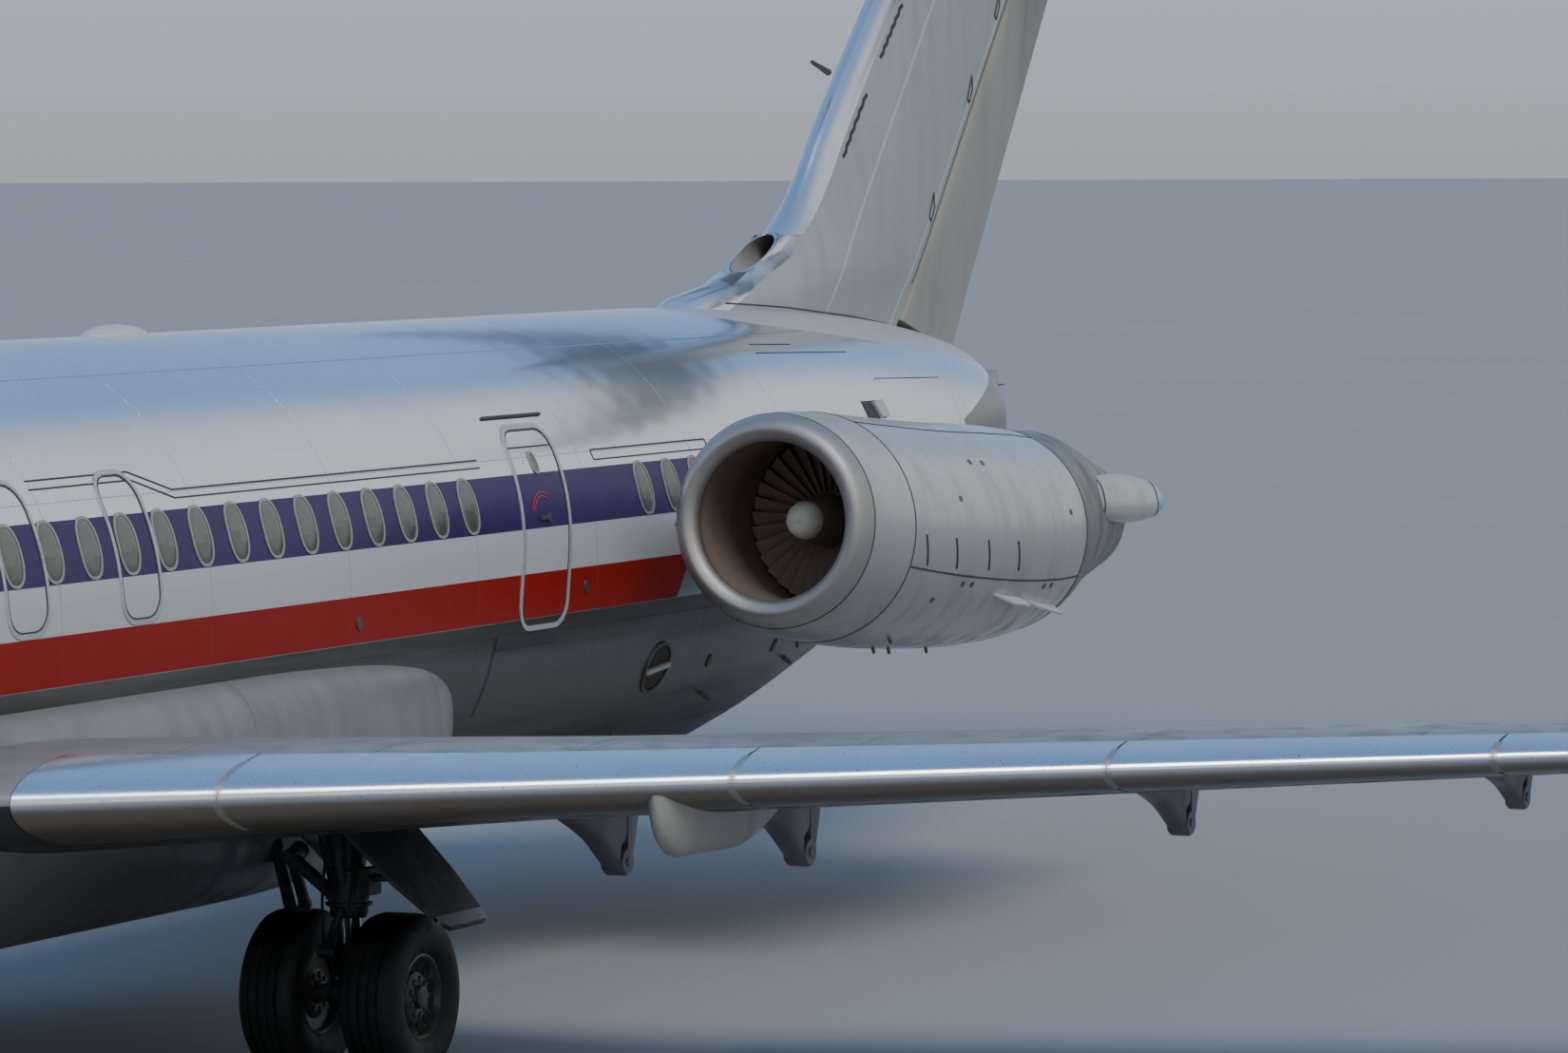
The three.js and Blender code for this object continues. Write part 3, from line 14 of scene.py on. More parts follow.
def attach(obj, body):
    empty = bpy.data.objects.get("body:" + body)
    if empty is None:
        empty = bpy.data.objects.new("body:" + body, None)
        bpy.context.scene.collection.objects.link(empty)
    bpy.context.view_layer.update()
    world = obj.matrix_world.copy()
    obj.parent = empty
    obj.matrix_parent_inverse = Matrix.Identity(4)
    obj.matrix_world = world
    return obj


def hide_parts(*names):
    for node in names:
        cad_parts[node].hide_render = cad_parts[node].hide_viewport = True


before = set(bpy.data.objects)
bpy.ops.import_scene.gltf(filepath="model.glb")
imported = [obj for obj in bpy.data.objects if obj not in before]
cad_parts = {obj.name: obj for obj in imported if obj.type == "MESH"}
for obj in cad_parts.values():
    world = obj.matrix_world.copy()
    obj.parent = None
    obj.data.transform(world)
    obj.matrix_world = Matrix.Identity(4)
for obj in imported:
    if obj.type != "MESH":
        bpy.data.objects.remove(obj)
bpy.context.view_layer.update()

MODEL = 0.5
HALF_LENGTH = 22.53
PORT, STARBOARD = 1, -1
SIDES = (("left", PORT), ("right", STARBOARD))
TAU = 2 * math.pi
WINDOW_PITCH, WINDOW_ZERO, WINDOW_Z = 0.483, 22.67, 3.43
FRAME_PITCH = 4 * WINDOW_PITCH
WING_LEAD, SWEEP, DIHEDRAL = 19.2, 0.516, 0.024


def at(s, y, z):
    """Model coordinates: forward is the half length less the station, and everything is at half size."""
    s, y, z = np.broadcast_arrays(np.asarray(s, float), np.asarray(y, float), np.asarray(z, float))
    return np.stack([(HALF_LENGTH - s) * MODEL, y * MODEL, z * MODEL], axis=-1)


def smooth(x, knots, values):
    """Cubic pieces through the knots. Each slope is the harmonic mean of its two chords."""
    k = np.asarray(knots, float)
    v = np.asarray(values, float).reshape(len(k), -1)
    x = np.asarray(x, float)
    width = np.diff(k)[:, None]
    chord = np.diff(v, axis=0) / width
    slope = np.concatenate([chord[:1], np.zeros_like(v[1:-1]), chord[-1:]])
    product = chord[:-1] * chord[1:]
    total = np.where(product > 0, chord[:-1] + chord[1:], 1.0)
    slope[1:-1] = np.where(product > 0, 2 * product / total, 0.0)
    i = np.clip(np.searchsorted(k, x, side="right") - 1, 0, len(k) - 2)
    w = width[i]
    t = np.clip((x[..., None] - k[i][..., None]) / w, 0, 1)
    out = (1 + 2 * t) * (1 - t) ** 2 * v[i] + t**2 * (3 - 2 * t) * v[i + 1]
    out = out + w * (t * (1 - t) ** 2 * slope[i] + t**2 * (t - 1) * slope[i + 1])
    return out if np.ndim(values) > 1 else out[..., 0]


# Mesh tools


def grid(points, around=False, loop=False, caps=False):
    """Quads through an (m, n) array of points.

    around joins the last column to the first, loop the last row to the first, and caps closes both end rows.
    """
    m, n = points.shape[:2]
    i = np.arange(m if loop else m - 1)[:, None]
    j = np.arange(n if around else n - 1)[None, :]
    below, beside = ((i + 1) % m) * n, (j + 1) % n
    quads = np.stack([i * n + j, i * n + beside, below + beside, below + j], axis=-1).reshape(-1, 4)
    faces = quads.tolist()
    if caps:
        faces.append(list(range(n))[::-1])
        faces.append([(m - 1) * n + c for c in range(n)])
    return points.reshape(-1, 3), faces


def solid(*rows):
    """A solid from point arrays laid side by side: joined round every row and closed at both ends."""
    return grid(np.concatenate(rows, axis=1), around=True, caps=True)


def once_round(count):
    return np.linspace(0, TAU, count, endpoint=False)


def signed_power(value, exponent):
    """The value's size raised to a power, with its sign kept. It squares off a circle's cosine and sine."""
    return np.sign(value) * np.abs(value) ** exponent


def columns_at(x, table):
    """The columns of a table after its first, smoothed along the first and taken apart."""
    return np.moveaxis(smooth(x, table[:, 0], table[:, 1:]), -1, 0)


def eased(first, last, count):
    """Values from first to last, closer together at both ends: a half turn of a cosine."""
    return first + (last - first) * (0.5 - 0.5 * np.cos(np.linspace(0, math.pi, count)))


def piece(name, parts, material, body="airframe", replaces=(), sharp=38, bevel=0.0):
    """One object from closed parts, its faces turned outwards, riding on a body."""
    points, faces, start = [], [], 0
    for part_points, part_faces in parts:
        points.append(part_points)
        faces += [[start + v for v in face] for face in part_faces]
        start += len(part_points)
    mesh = bpy.data.meshes.new(name)
    mesh.from_pydata(np.concatenate(points).tolist(), [], faces)
    work = bmesh.new()
    work.from_mesh(mesh)
    bmesh.ops.remove_doubles(work, verts=work.verts, dist=1e-5)
    bmesh.ops.dissolve_degenerate(work, edges=work.edges, dist=1e-6)
    bmesh.ops.recalc_face_normals(work, faces=work.faces)
    work.to_mesh(mesh)
    work.free()
    mesh.shade_smooth()
    mesh.set_sharp_from_angle(angle=math.radians(sharp))
    mesh.materials.append(material)
    made = bpy.data.objects.new(name, mesh)
    bpy.context.scene.collection.objects.link(made)
    if bevel:
        rounding = made.modifiers.new("edge_rounding", "BEVEL")
        rounding.width = bevel
        rounding.segments = 2
        rounding.limit_method = "ANGLE"
    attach(made, body)
    if replaces:
        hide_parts(*replaces)


def lathe(profile, count, place, loop=False):
    """A profile of (distance along, radius) turned about an axis. place maps along, across and up."""
    profile = np.asarray(profile, float)
    turn = once_round(count)
    along, radius = profile[:, :1], profile[:, 1:]
    points = place(along + 0 * turn, radius * np.cos(turn), radius * np.sin(turn))
    return grid(points, around=True, loop=loop, caps=not loop)


def rod(start, end, profile, count=16):
    """A turned bar from start to end, both (s, y, z). The profile has fractions of the length and radii."""
    start, end = np.asarray(start, float), np.asarray(end, float)
    axis = end - start
    length = np.linalg.norm(axis)
    axis = axis / length
    side = np.cross(axis, (0.31, 0.95, 0.11))
    side /= np.linalg.norm(side)
    up = np.cross(axis, side)

    def place(along, across, high):
        p = start + (along * length)[..., None] * axis + across[..., None] * side + high[..., None] * up
        return at(*np.moveaxis(p, -1, 0))

    rows = profile if np.ndim(profile) else [(0, profile), (1, profile)]
    return lathe(rows, count, place)


def slab(outline, y0, y1, rise=0.0):
    """A side outline of (s, z) made solid between two sides. rise lifts the second side."""
    outline = np.asarray(outline, float)
    rings = [at(outline[:, 0], y, outline[:, 1] + lift) for y, lift in ((y0, 0.0), (y1, rise))]
    return grid(np.stack(rings), around=True, caps=True)


# Materials: arithmetic on sockets


class Wire:
    """A socket of a material's tree. Sums, products and comparisons on it add Math nodes."""

    def __init__(self, paint, socket):
        self.paint, self.socket = paint, socket

    def calc(self, operation, *values):
        return self.paint.node("ShaderNodeMath", {"operation": operation}, dict(enumerate(values)))

    def size(self):
        """The value without its sign."""
        return self.calc("ABSOLUTE", self)

    def floor(self):
        return self.calc("FLOOR", self)

    def capped(self):
        """The value, but never over 1."""
        return self.calc("MINIMUM", self, 1.0)

    def __add__(self, other):
        return self.calc("ADD", self, other)

    def __sub__(self, other):
        return self.calc("SUBTRACT", self, other)

    def __rsub__(self, other):
        return self.calc("SUBTRACT", other, self)

    def __mul__(self, other):
        return self.calc("MULTIPLY", self, other)

    def __gt__(self, other):
        return self.calc("GREATER_THAN", self, other)

    def __lt__(self, other):
        return self.calc("LESS_THAN", self, other)

    __radd__, __rmul__ = __add__, __mul__

    def near(self, place, width):
        """1 within half the width of a place, else 0."""
        return self.calc("COMPARE", self, place, width / 2)

    def band(self, low, high):
        return (self > low) * (self < high)

    def every(self, pitch, width):
        """1 on thin lines that repeat at a pitch."""
        return self.calc("FLOORED_MODULO", self, pitch).near(pitch / 2, width)

    def fade(self, low, high):
        """0 at low and 1 at high, smooth between."""
        kind = {"interpolation_type": "SMOOTHSTEP"}
        return self.paint.node("ShaderNodeMapRange", kind, {0: self, 1: low, 2: high, 3: 0.0, 4: 1.0})

    def wave(self, pitch):
        return self.calc("SINE", self * (TAU / pitch))


class Paint:
    """A material with one surface shader. Constants sit on the shader's own sockets."""

    def __init__(self, name, **constants):
        self.material = bpy.data.materials.new(name)
        self.material.use_nodes = True
        self.tree = self.material.node_tree
        self.shader = next(n for n in self.tree.nodes if n.type == "BSDF_PRINCIPLED")
        for key, value in constants.items():
            self.shader.inputs[key.replace("_", " ")].default_value = value

    def node(self, kind, settings=None, inputs=None, output=0):
        made = self.tree.nodes.new(kind)
        for key, value in (settings or {}).items():
            setattr(made, key, value)
        for key, value in (inputs or {}).items():
            self.join(made.inputs[key], value)
        return Wire(self, made.outputs[output])

    def join(self, socket, value):
        if isinstance(value, Wire):
            self.tree.links.new(value.socket, socket)
        else:
            socket.default_value = value

    def set(self, **inputs):
        for key, value in inputs.items():
            self.join(self.shader.inputs[key.replace("_", " ")], value)
        return self.material

    def place(self):
        """Station, side and height of the shaded point, in full-size metres."""
        self.spot = self.node("ShaderNodeTexCoord", output="Object")
        x, y, z = (self.node("ShaderNodeSeparateXYZ", None, {0: self.spot}, n) for n in range(3))
        return HALF_LENGTH - x * (1 / MODEL), y * (1 / MODEL), z * (1 / MODEL)

    def noise(self, scale, stretch=(1, 1, 1), detail=4.0):
        """Soft noise from 0 to 1, stretched along the axes."""
        where = self.node("ShaderNodeVectorMath", {"operation": "MULTIPLY"}, {0: self.spot, 1: stretch})
        inputs = {"Vector": where, "Scale": scale, "Detail": detail}
        return self.node("ShaderNodeTexNoise", None, inputs)

    def mix(self, factor, a, b):
        def colour(value):
            return (*value, 1.0) if isinstance(value, tuple) else value

        return self.node("ShaderNodeMix", {"data_type": "RGBA"}, {0: factor, 6: colour(a), 7: colour(b)}, 2)

    def bump(self, height, depth=0.002, strength=1.0):
        inputs = {"Strength": strength, "Distance": depth, "Height": height}
        return self.node("ShaderNodeBump", None, inputs)


def lines(coordinate, places, width):
    """1 on each of the listed places."""
    return sum(coordinate.near(place, width) for place in places)


def worn(tone, share, lift=0.0):
    return tuple(c * share + lift for c in tone)


# columns: lower edge, upper edge, colour
STRIPES = [
    (2.61, 2.92, (0.33, 0.008, 0.002)), (2.92, 3.23, (0.56, 0.57, 0.58)), (3.23, 3.61, (0.042, 0.024, 0.115)),
]
STRIPE_DROP = 0.34
# The skin's joints, as heights, and the stations of the two close rings before the tail cone
LAPS = [4.44, 3.72, 2.50, 1.62]
RIVET_ROWS = [4.46, 4.42, 3.74, 3.70, 2.52, 2.48]
TAIL_RINGS = [38.2, 38.45]


def skin_metal():
    """Polished bare metal with three painted stripes, ring and lap seams, a duller, stained belly, and
    painted shade on a flat side of the tail cone.
    """
    p = Paint("polished_skin", Specular_IOR_Level=0.15)
    s, _, z = p.place()
    level = z + (1 - s.fade(3.2, 8.5)) * STRIPE_DROP * (1 - s.fade(3.4, 5.6))
    reach = s.band(2.9, 40) * ((s - (z - 2.92) * 0.9) < 31.6)
    barrel = s.band(1.6, 36)
    ring = s.every(FRAME_PITCH, 0.010) * barrel + lines(s, TAIL_RINGS, 0.02)
    rivets = s.every(0.075, 0.02) * lines(z, RIVET_ROWS, 0.010)
    seam = (ring + lines(z, LAPS, 0.009) * barrel + rivets * 0.5).capped()
    streaked = (s - z * 0.12).near(28.0, 0.05) * z.band(1.96, 2.5)
    cloud = p.noise(0.9, detail=5.0)
    grain = p.noise(6.0, (0.25, 1, 1), 6.0)
    speck = p.noise(60.0, (0.4, 1, 1), 3.0)
    cell = p.node("ShaderNodeCombineXYZ", None, {0: (s * (1 / FRAME_PITCH)).floor(), 1: (z * 2.1).floor()})
    panel = p.node("ShaderNodeTexWhiteNoise", {"noise_dimensions": "2D"}, {"Vector": cell})
    bare = p.mix(panel * 0.25 + cloud * 0.25, (0.83, 0.87, 0.92), (0.70, 0.72, 0.75))
    belly = 1 - z.fade(2.60, 2.62)
    streak = p.noise(2.2, (0.18, 1, 3.0), 6.0).fade(0.42, 0.68)
    colour = p.mix(belly, bare, p.mix(streak, (0.195, 0.190, 0.175), (0.115, 0.105, 0.090)))
    painted = 0.0
    for low, high, tone in STRIPES:
        area = level.band(low, high) * reach
        colour = p.mix(area, colour, p.mix(grain * 0.35, tone, worn(tone, 0.72, 0.02)))
        painted = painted + area
    nose = 1 - s.fade(1.44, 1.46)
    fillet = ((z + s * 0.094) > 7.815) * ((z + s * 0.155) > 9.951) * s.band(34.2, 40.4)
    # Painted shade: a flat side of the tail cone is coloured darker, as if it faced away from the light. It
    # is also rougher.
    painted_facet_shade = ((s - z * 5.3) > 19.0) * (s > 38.35) * (z < 4.02)
    marks = [
        (seam * 0.32, (0.10, 0.10, 0.105)), (streaked * 0.6, (0.020, 0.020, 0.080)),
        (painted_facet_shade, (0.30, 0.30, 0.29)),
        (nose + fillet, (0.46, 0.48, 0.49)),
    ]
    for share, tone in marks:
        colour = p.mix(share, colour, tone)
    matt = (painted + nose + fillet).capped()
    rough = 0.09 + grain * 0.08 + panel * 0.03 + belly * 0.26 + matt * 0.16 + seam * 0.15 + painted_facet_shade * 0.25
    quilt = s.wave(WINDOW_PITCH) * z.wave(0.36) * 0.09
    relief = p.bump(cloud * 0.9 + quilt + speck * 0.04 - seam * 0.35, 0.0035, 0.55)
    return p.set(Base_Color=colour, Metallic=1 - matt * 0.92, Roughness=rough, Normal=relief)


def slat_metal():
    """Polished leading edge: fine spanwise marks, insect specks at the nose, and a painted reflection of the
    brown ground underneath.
    """
    p = Paint("polished_slat", Metallic=1.0)
    _, y, z = p.place()
    under = 1 - (z - y.size() * DIHEDRAL).fade(1.95, 2.015)
    polish = p.noise(9.0, (1, 0.12, 1), 6.0)
    speck = p.noise(90.0, detail=2.0).fade(0.66, 0.74)
    colour = p.mix(polish * 0.6, (0.86, 0.88, 0.91), (0.68, 0.70, 0.73))
    # Painted reflection: below the nose the polished metal is coloured brown, as if mirroring the ground. It
    # is also rougher there.
    colour = p.mix(under * 0.85, colour, (0.22, 0.175, 0.13))
    colour = p.mix(speck * 0.5, colour, (0.15, 0.14, 0.12))
    rough = 0.14 + polish * 0.12 + under * 0.16
    return p.set(Base_Color=colour, Roughness=rough, Normal=p.bump(polish + p.noise(1.4) * 1.2, 0.002, 0.4))


def satin_metal(name, light, dark, rough=0.32, stretch=(0.2, 1, 1)):
    """Bare satin metal with fine directional polish and faint stains."""
    p = Paint(name, Metallic=1.0)
    p.place()
    polish = p.noise(14.0, stretch, 7.0)
    stain = p.noise(1.7).fade(0.45, 0.75)
    colour = p.mix(polish * 0.5 + stain * 0.4, light, dark)
    return p.set(Base_Color=colour, Roughness=rough + polish * 0.12, Normal=p.bump(polish, 0.001, 0.3))


def painted_shade_under_wing(p, s, y, z, colour):
    """Painted shade below the wing's chord plane. The plane's incidence falls along the span."""
    out = y.size()
    plane = 2.005 + out * DIHEDRAL - (0.0804 - out * 0.0069) * (s - WING_LEAD - out * SWEEP)
    return p.mix(((z - plane) < 0) * 0.95, colour, (0.014, 0.014, 0.013)), 0.0


def painted_shade_low_on_belly(p, s, y, z, colour):
    # Painted shade: the fairing is coloured darker towards its bottom.
    return p.mix((1 - z.fade(1.25, 1.95)) * 0.8, colour, (0.060, 0.062, 0.062)), 0.0


def painted_shade_on_cowl(p, s, y, z, colour):
    """Painted shade, warm like a reflected ground, that thickens from the cowl's shoulder to its keel."""
    return p.mix((1 - z.fade(2.55, 3.75)) * 0.5, colour, (0.19, 0.175, 0.145)), 0.0


def fin_marks(p, s, y, z, colour):
    """A polished leading edge that widens over the foot, and two lighter slanted joints."""
    bright = ((s - z * 3.32) < 20.22) * ((s - z * 1.10) < 31.38) * (z < 5.7)
    slanted = lines(s - z * 0.97, [33.03, 34.75], 0.055) * 0.4
    return p.mix(bright, p.mix(slanted, colour, (0.70, 0.72, 0.71)), (0.80, 0.82, 0.86)), bright


def grey_paint(name, light, s_lines=(), y_lines=(), dirt=0.35, rough=0.34, coat=0.25, pitch=None,
               special=None):
    """Airframe paint with panel joints, rain streaks and grime, under a thin worn gloss."""
    p = Paint(name, Coat_Roughness=0.25)
    s, y, z = p.place()
    marks = [lines(along, places, 0.012) for along, places in ((s, s_lines), (y.size(), y_lines)) if places]
    if pitch:
        marks.append(s.every(pitch, 0.010))
    cloud = p.noise(1.1, detail=5.0)
    streak = p.noise(5.0, (1.6, 1.6, 0.22), 6.0).fade(0.40, 0.75)
    fine = p.noise(120.0, detail=2.0)
    colour = p.mix(cloud * 0.35 + streak * dirt, light, worn(light, 0.55))
    height = fine * 0.10 + cloud * 0.2
    if marks:
        seam = sum(marks).capped()
        colour = p.mix(seam * 0.7, colour, (0.06, 0.06, 0.058))
        height = height - seam * 0.6
    metal = 0.0
    if special:
        colour, metal = special(p, s, y, z, colour)
    dullness = rough + streak * 0.2 + fine * 0.05 - metal * (rough - 0.12)
    return p.set(Base_Color=colour, Roughness=dullness, Metallic=metal, Coat_Weight=coat - streak * coat,
                 Normal=p.bump(height, 0.002, 0.5))


def gear_paint(name, light, rough=0.5):
    """Undercarriage paint: grey with oil, brake dust and dry splash marks."""
    p = Paint(name)
    z = p.place()[2]
    splash = p.noise(26.0, (1, 1, 0.5), 6.0).fade(0.5, 0.7)
    low = 1 - z.fade(0.5, 1.6)
    grime = p.noise(7.0, (1, 1, 0.6), 5.0)
    colour = p.mix(grime * 0.7 + low * 0.25, light, (0.020, 0.019, 0.018))
    colour = p.mix(splash * 0.18, colour, (0.22, 0.20, 0.17))
    return p.set(Base_Color=colour, Roughness=rough + splash * 0.25, Metallic=0.3 - splash * 0.2,
                 Normal=p.bump(grime + splash * 0.5, 0.002, 0.5))


def tyre_rubber():
    """Black tyre rubber, greyer and dustier near the tread, with fine moulded roughness."""
    p = Paint("tyre_rubber")
    p.place()
    dust = p.noise(18.0, detail=5.0).fade(0.45, 0.8)
    fine = p.noise(240.0, detail=2.0)
    colour = p.mix(dust, (0.008, 0.008, 0.008), (0.026, 0.025, 0.023))
    return p.set(Base_Color=colour, Roughness=0.62 + dust * 0.25, Normal=p.bump(fine + dust, 0.0012, 0.5))


def plain_finish(name, light, rough=0.4, metallic=0.0, depth=0.0008, scale=60.0, **more):
    """A small fitting's finish: one colour with fine mottling and a little tooth."""
    p = Paint(name, Metallic=metallic, **more)
    p.place()
    mottle = p.noise(scale)
    colour = p.mix(mottle, light, worn(light, 0.66))
    return p.set(Base_Color=colour, Roughness=rough + mottle * 0.1, Normal=p.bump(mottle, depth, 0.4))


def cabin_pane():
    """A cabin window seen from outside: grey stretched acrylic with a half-drawn blind behind it."""
    p = Paint("cabin_pane", Specular_IOR_Level=0.6)
    s, _, z = p.place()
    column = (s * (1 / WINDOW_PITCH)).floor()
    blind = p.node("ShaderNodeTexWhiteNoise", {"noise_dimensions": "1D"}, {"W": column})
    edge = (z - (3.34 + blind * 0.12)).fade(-0.008, 0.008)
    haze = p.noise(30.0)
    glass = p.mix(haze, (0.075, 0.070, 0.062), (0.115, 0.108, 0.095))
    cloth = p.mix(haze, (0.15, 0.14, 0.125), (0.11, 0.104, 0.092))
    return p.set(Base_Color=p.mix(edge, glass, cloth), Roughness=0.16 + haze * 0.12)


def cockpit_pane():
    """Thick dark flight-deck glass with a faint heater film and wiper haze."""
    p = Paint("cockpit_pane", Coat_Roughness=0.04)
    p.place()
    haze = p.noise(12.0, (1, 1, 0.3), 5.0)
    colour = p.mix(haze, (0.010, 0.014, 0.016), (0.035, 0.044, 0.046))
    return p.set(Base_Color=colour, Roughness=0.06 + haze * 0.08, Coat_Weight=0.6 + haze * 0.3)


SKIN = skin_metal()
SLAT = slat_metal()
WING_JOINTS = (2.9, 4.0, 5.1, 6.6, 8.1, 9.6, 11.1, 12.6, 14.1, 15.5)
PAINT_WING = grey_paint("wing_paint", (0.255, 0.255, 0.240), y_lines=WING_JOINTS, dirt=0.4,
                        special=painted_shade_under_wing)
PAINT_FIN = grey_paint("fin_paint", (0.37, 0.405, 0.385), dirt=0.12, rough=0.36, special=fin_marks)
PAINT_RUDDER = grey_paint("rudder_paint", (0.36, 0.345, 0.295), dirt=0.2, rough=0.38)
PAINT_POD = grey_paint("pod_paint", (0.36, 0.35, 0.31), dirt=0.3, rough=0.36)
PAINT_TAIL = grey_paint("tail_paint", (0.44, 0.455, 0.445), y_lines=(1.6, 3.0, 4.4, 5.7), dirt=0.2)
PAINT_COWL = grey_paint("cowl_paint", (0.42, 0.44, 0.42), dirt=0.05, rough=0.18, coat=0.9, special=painted_shade_on_cowl)
BUCKET = grey_paint("reverser_paint", (0.17, 0.17, 0.15), dirt=0.5, rough=0.4, pitch=0.085)
PAINT_BELLY = grey_paint("belly_paint", (0.21, 0.215, 0.21), s_lines=(20.9, 24.3, 27.3), dirt=0.15,
                         special=painted_shade_low_on_belly)
PAINT_FLAP = grey_paint("flap_paint", (0.30, 0.31, 0.305), y_lines=(3.3, 6.6, 9.1), dirt=0.5,
                        special=painted_shade_under_wing)
PAINT_BLADE = grey_paint("hinge_fairing_paint", (0.17, 0.175, 0.18), dirt=0.5, rough=0.42)
LIP_METAL = satin_metal("inlet_lip_metal", (0.50, 0.475, 0.44), (0.36, 0.335, 0.305), 0.50, (1, 1, 1))
FIN_METAL = satin_metal("leading_edge_metal", (0.82, 0.84, 0.87), (0.62, 0.64, 0.67), 0.16, (1, 1, 0.2))
NOZZLE_METAL = satin_metal("nozzle_metal", (0.34, 0.31, 0.27), (0.13, 0.115, 0.10), 0.38)
STEEL = satin_metal("bright_steel", (0.78, 0.78, 0.79), (0.52, 0.52, 0.53), 0.12)
# Undercarriage greys darkened with painted shade, for grey parts standing in the shadow under the aircraft.
GEAR_SHADED = gear_paint("gear_grey_shaded", (0.055, 0.057, 0.060))
GEAR_DOOR_SHADED = gear_paint("gear_door_paint_shaded", (0.085, 0.088, 0.088), 0.4)
DOOR_EDGE = satin_metal("worn_door_edge", (0.42, 0.44, 0.50), (0.10, 0.10, 0.11), 0.35, (1, 1, 1))
HUB_SHADED = gear_paint("hub_metal_shaded", (0.15, 0.15, 0.145), 0.38)
RUBBER = tyre_rubber()
DUCT = plain_finish("duct_brown", (0.26, 0.195, 0.145), 0.5, scale=18.0)
FAN = plain_finish("fan_blade_metal", (0.36, 0.27, 0.22), 0.5, scale=40.0)
SPINNER = plain_finish("spinner_grey", (0.90, 0.86, 0.70), 0.4, scale=30.0)
SPINNER_CONE = plain_finish("spinner_cone_brown", (0.24, 0.18, 0.14), 0.45, scale=30.0)
PANE = cabin_pane()
COCKPIT = cockpit_pane()
FRAME_LIGHT = plain_finish("window_frame_metal", (0.42, 0.40, 0.34), 0.40, 0.3)
TRIM_WHITE = plain_finish("door_outline", (0.60, 0.62, 0.63), 0.38, 0.4)
SEAM_DARK = plain_finish("seam_sealant", (0.055, 0.055, 0.052), 0.6)
SCUFF = plain_finish("scuff_plate", (0.16, 0.16, 0.155), 0.45, 0.8, scale=30.0)
KICK_PLATE = plain_finish("kick_plate", (0.045, 0.045, 0.047), 0.5, scale=30.0)
VENT_HOLLOW_SHADE = plain_finish("vent_hollow", (0.060, 0.036, 0.022), 0.6)
MARK_RED = plain_finish("red_mark", (0.55, 0.05, 0.03), 0.4)
LENS_RED = plain_finish("red_lens", (0.45, 0.01, 0.01), 0.08, Coat_Weight=1.0)
LENS_GREEN = plain_finish("green_lens", (0.01, 0.30, 0.08), 0.08, Coat_Weight=1.0)
AERIAL = plain_finish("aerial_paint", (0.66, 0.68, 0.68), 0.35)
# Near-black for painted shade in hollows and holes.
HOLLOW_SHADE = plain_finish("painted_hollow_shade", (0.018, 0.016, 0.014), 0.8)


# Fuselage: a double bubble, its two lobes joined by a short straight side
# columns: station, top, belly, half width
HULL = np.array([
    (0.0, 2.40, 2.40, 0.0), (0.06, 2.56, 2.24, 0.20), (0.25, 2.74, 2.03, 0.42), (0.65, 2.98, 1.77, 0.69),
    (1.45, 3.29, 1.47, 1.04), (2.05, 3.48, 1.32, 1.215), (2.5, 3.79, 1.24, 1.325), (2.95, 4.08, 1.18, 1.42),
    (3.6, 4.35, 1.11, 1.53), (4.4, 4.54, 1.07, 1.615), (5.4, 4.64, 1.05, 1.66), (6.5, 4.65, 1.05, 1.67),
    (31.2, 4.65, 1.05, 1.67), (32.6, 4.65, 1.12, 1.655), (34.0, 4.65, 1.30, 1.60), (35.4, 4.63, 1.59, 1.50),
    (36.8, 4.59, 1.92, 1.35), (38.2, 4.50, 2.27, 1.15), (39.7, 4.33, 2.66, 0.88), (40.6, 4.13, 2.88, 0.60),
    (41.1, 4.00, 3.02, 0.36), (41.87, 3.94, 3.20, 0.03),
])
SIDE_FLAT = 0.043


def hull_size(s):
    """Middle height, half of the flat side, rise of each lobe and half width at a station."""
    top, belly, half = columns_at(s, HULL)
    flat = SIDE_FLAT * (top - belly)
    return (top + belly) / 2, flat, (top - belly) / 2 - flat, half


def hull_point(s, angle, lift=0.0):
    """A point of the section ellipse at an angle up from port. Each lobe is moved off the middle."""
    middle, flat, rise, half = hull_size(s)
    y = (half + lift) * np.cos(angle)
    z = middle + np.sign(np.sin(angle)) * flat + (rise + lift) * np.sin(angle)
    return at(s, y, z)


def side_point(s, z, side, lift=0.0):
    """The skin at a height on one side, moved out along the ellipse's normal."""
    middle, flat, rise, half = hull_size(s)
    sine = np.clip(np.sign(z - middle) * np.maximum(np.abs(z - middle) - flat, 0) / rise, -1, 1)
    cosine = np.sqrt(1 - sine**2)
    tall, wide = sine / rise, cosine / half
    size = np.hypot(tall, wide)
    return at(s, side * (half * cosine + lift * wide / size), z + lift * tall / size)


STAIR_HALF, BAY_HALF = 0.442, 0.30
CARGO_LOW, CARGO_HIGH = -56.08, -17.88
STAIR_LINE, BAY_LINE = -75.08, -79.65
SINK, CARGO_SINK = 0.103, 0.083
# columns: first and last station, lowest and highest angle, whether to starboard only, roof height
OPENINGS = [
    (8.288, 9.652, CARGO_LOW, CARGO_HIGH, True, None),
    (28.138, 29.212, CARGO_LOW, CARGO_HIGH, True, None),
    (34.188, 37.312, -90.0, STAIR_LINE, False, None),
    (1.85, 2.9, -90.0, BAY_LINE, False, 1.56),
]


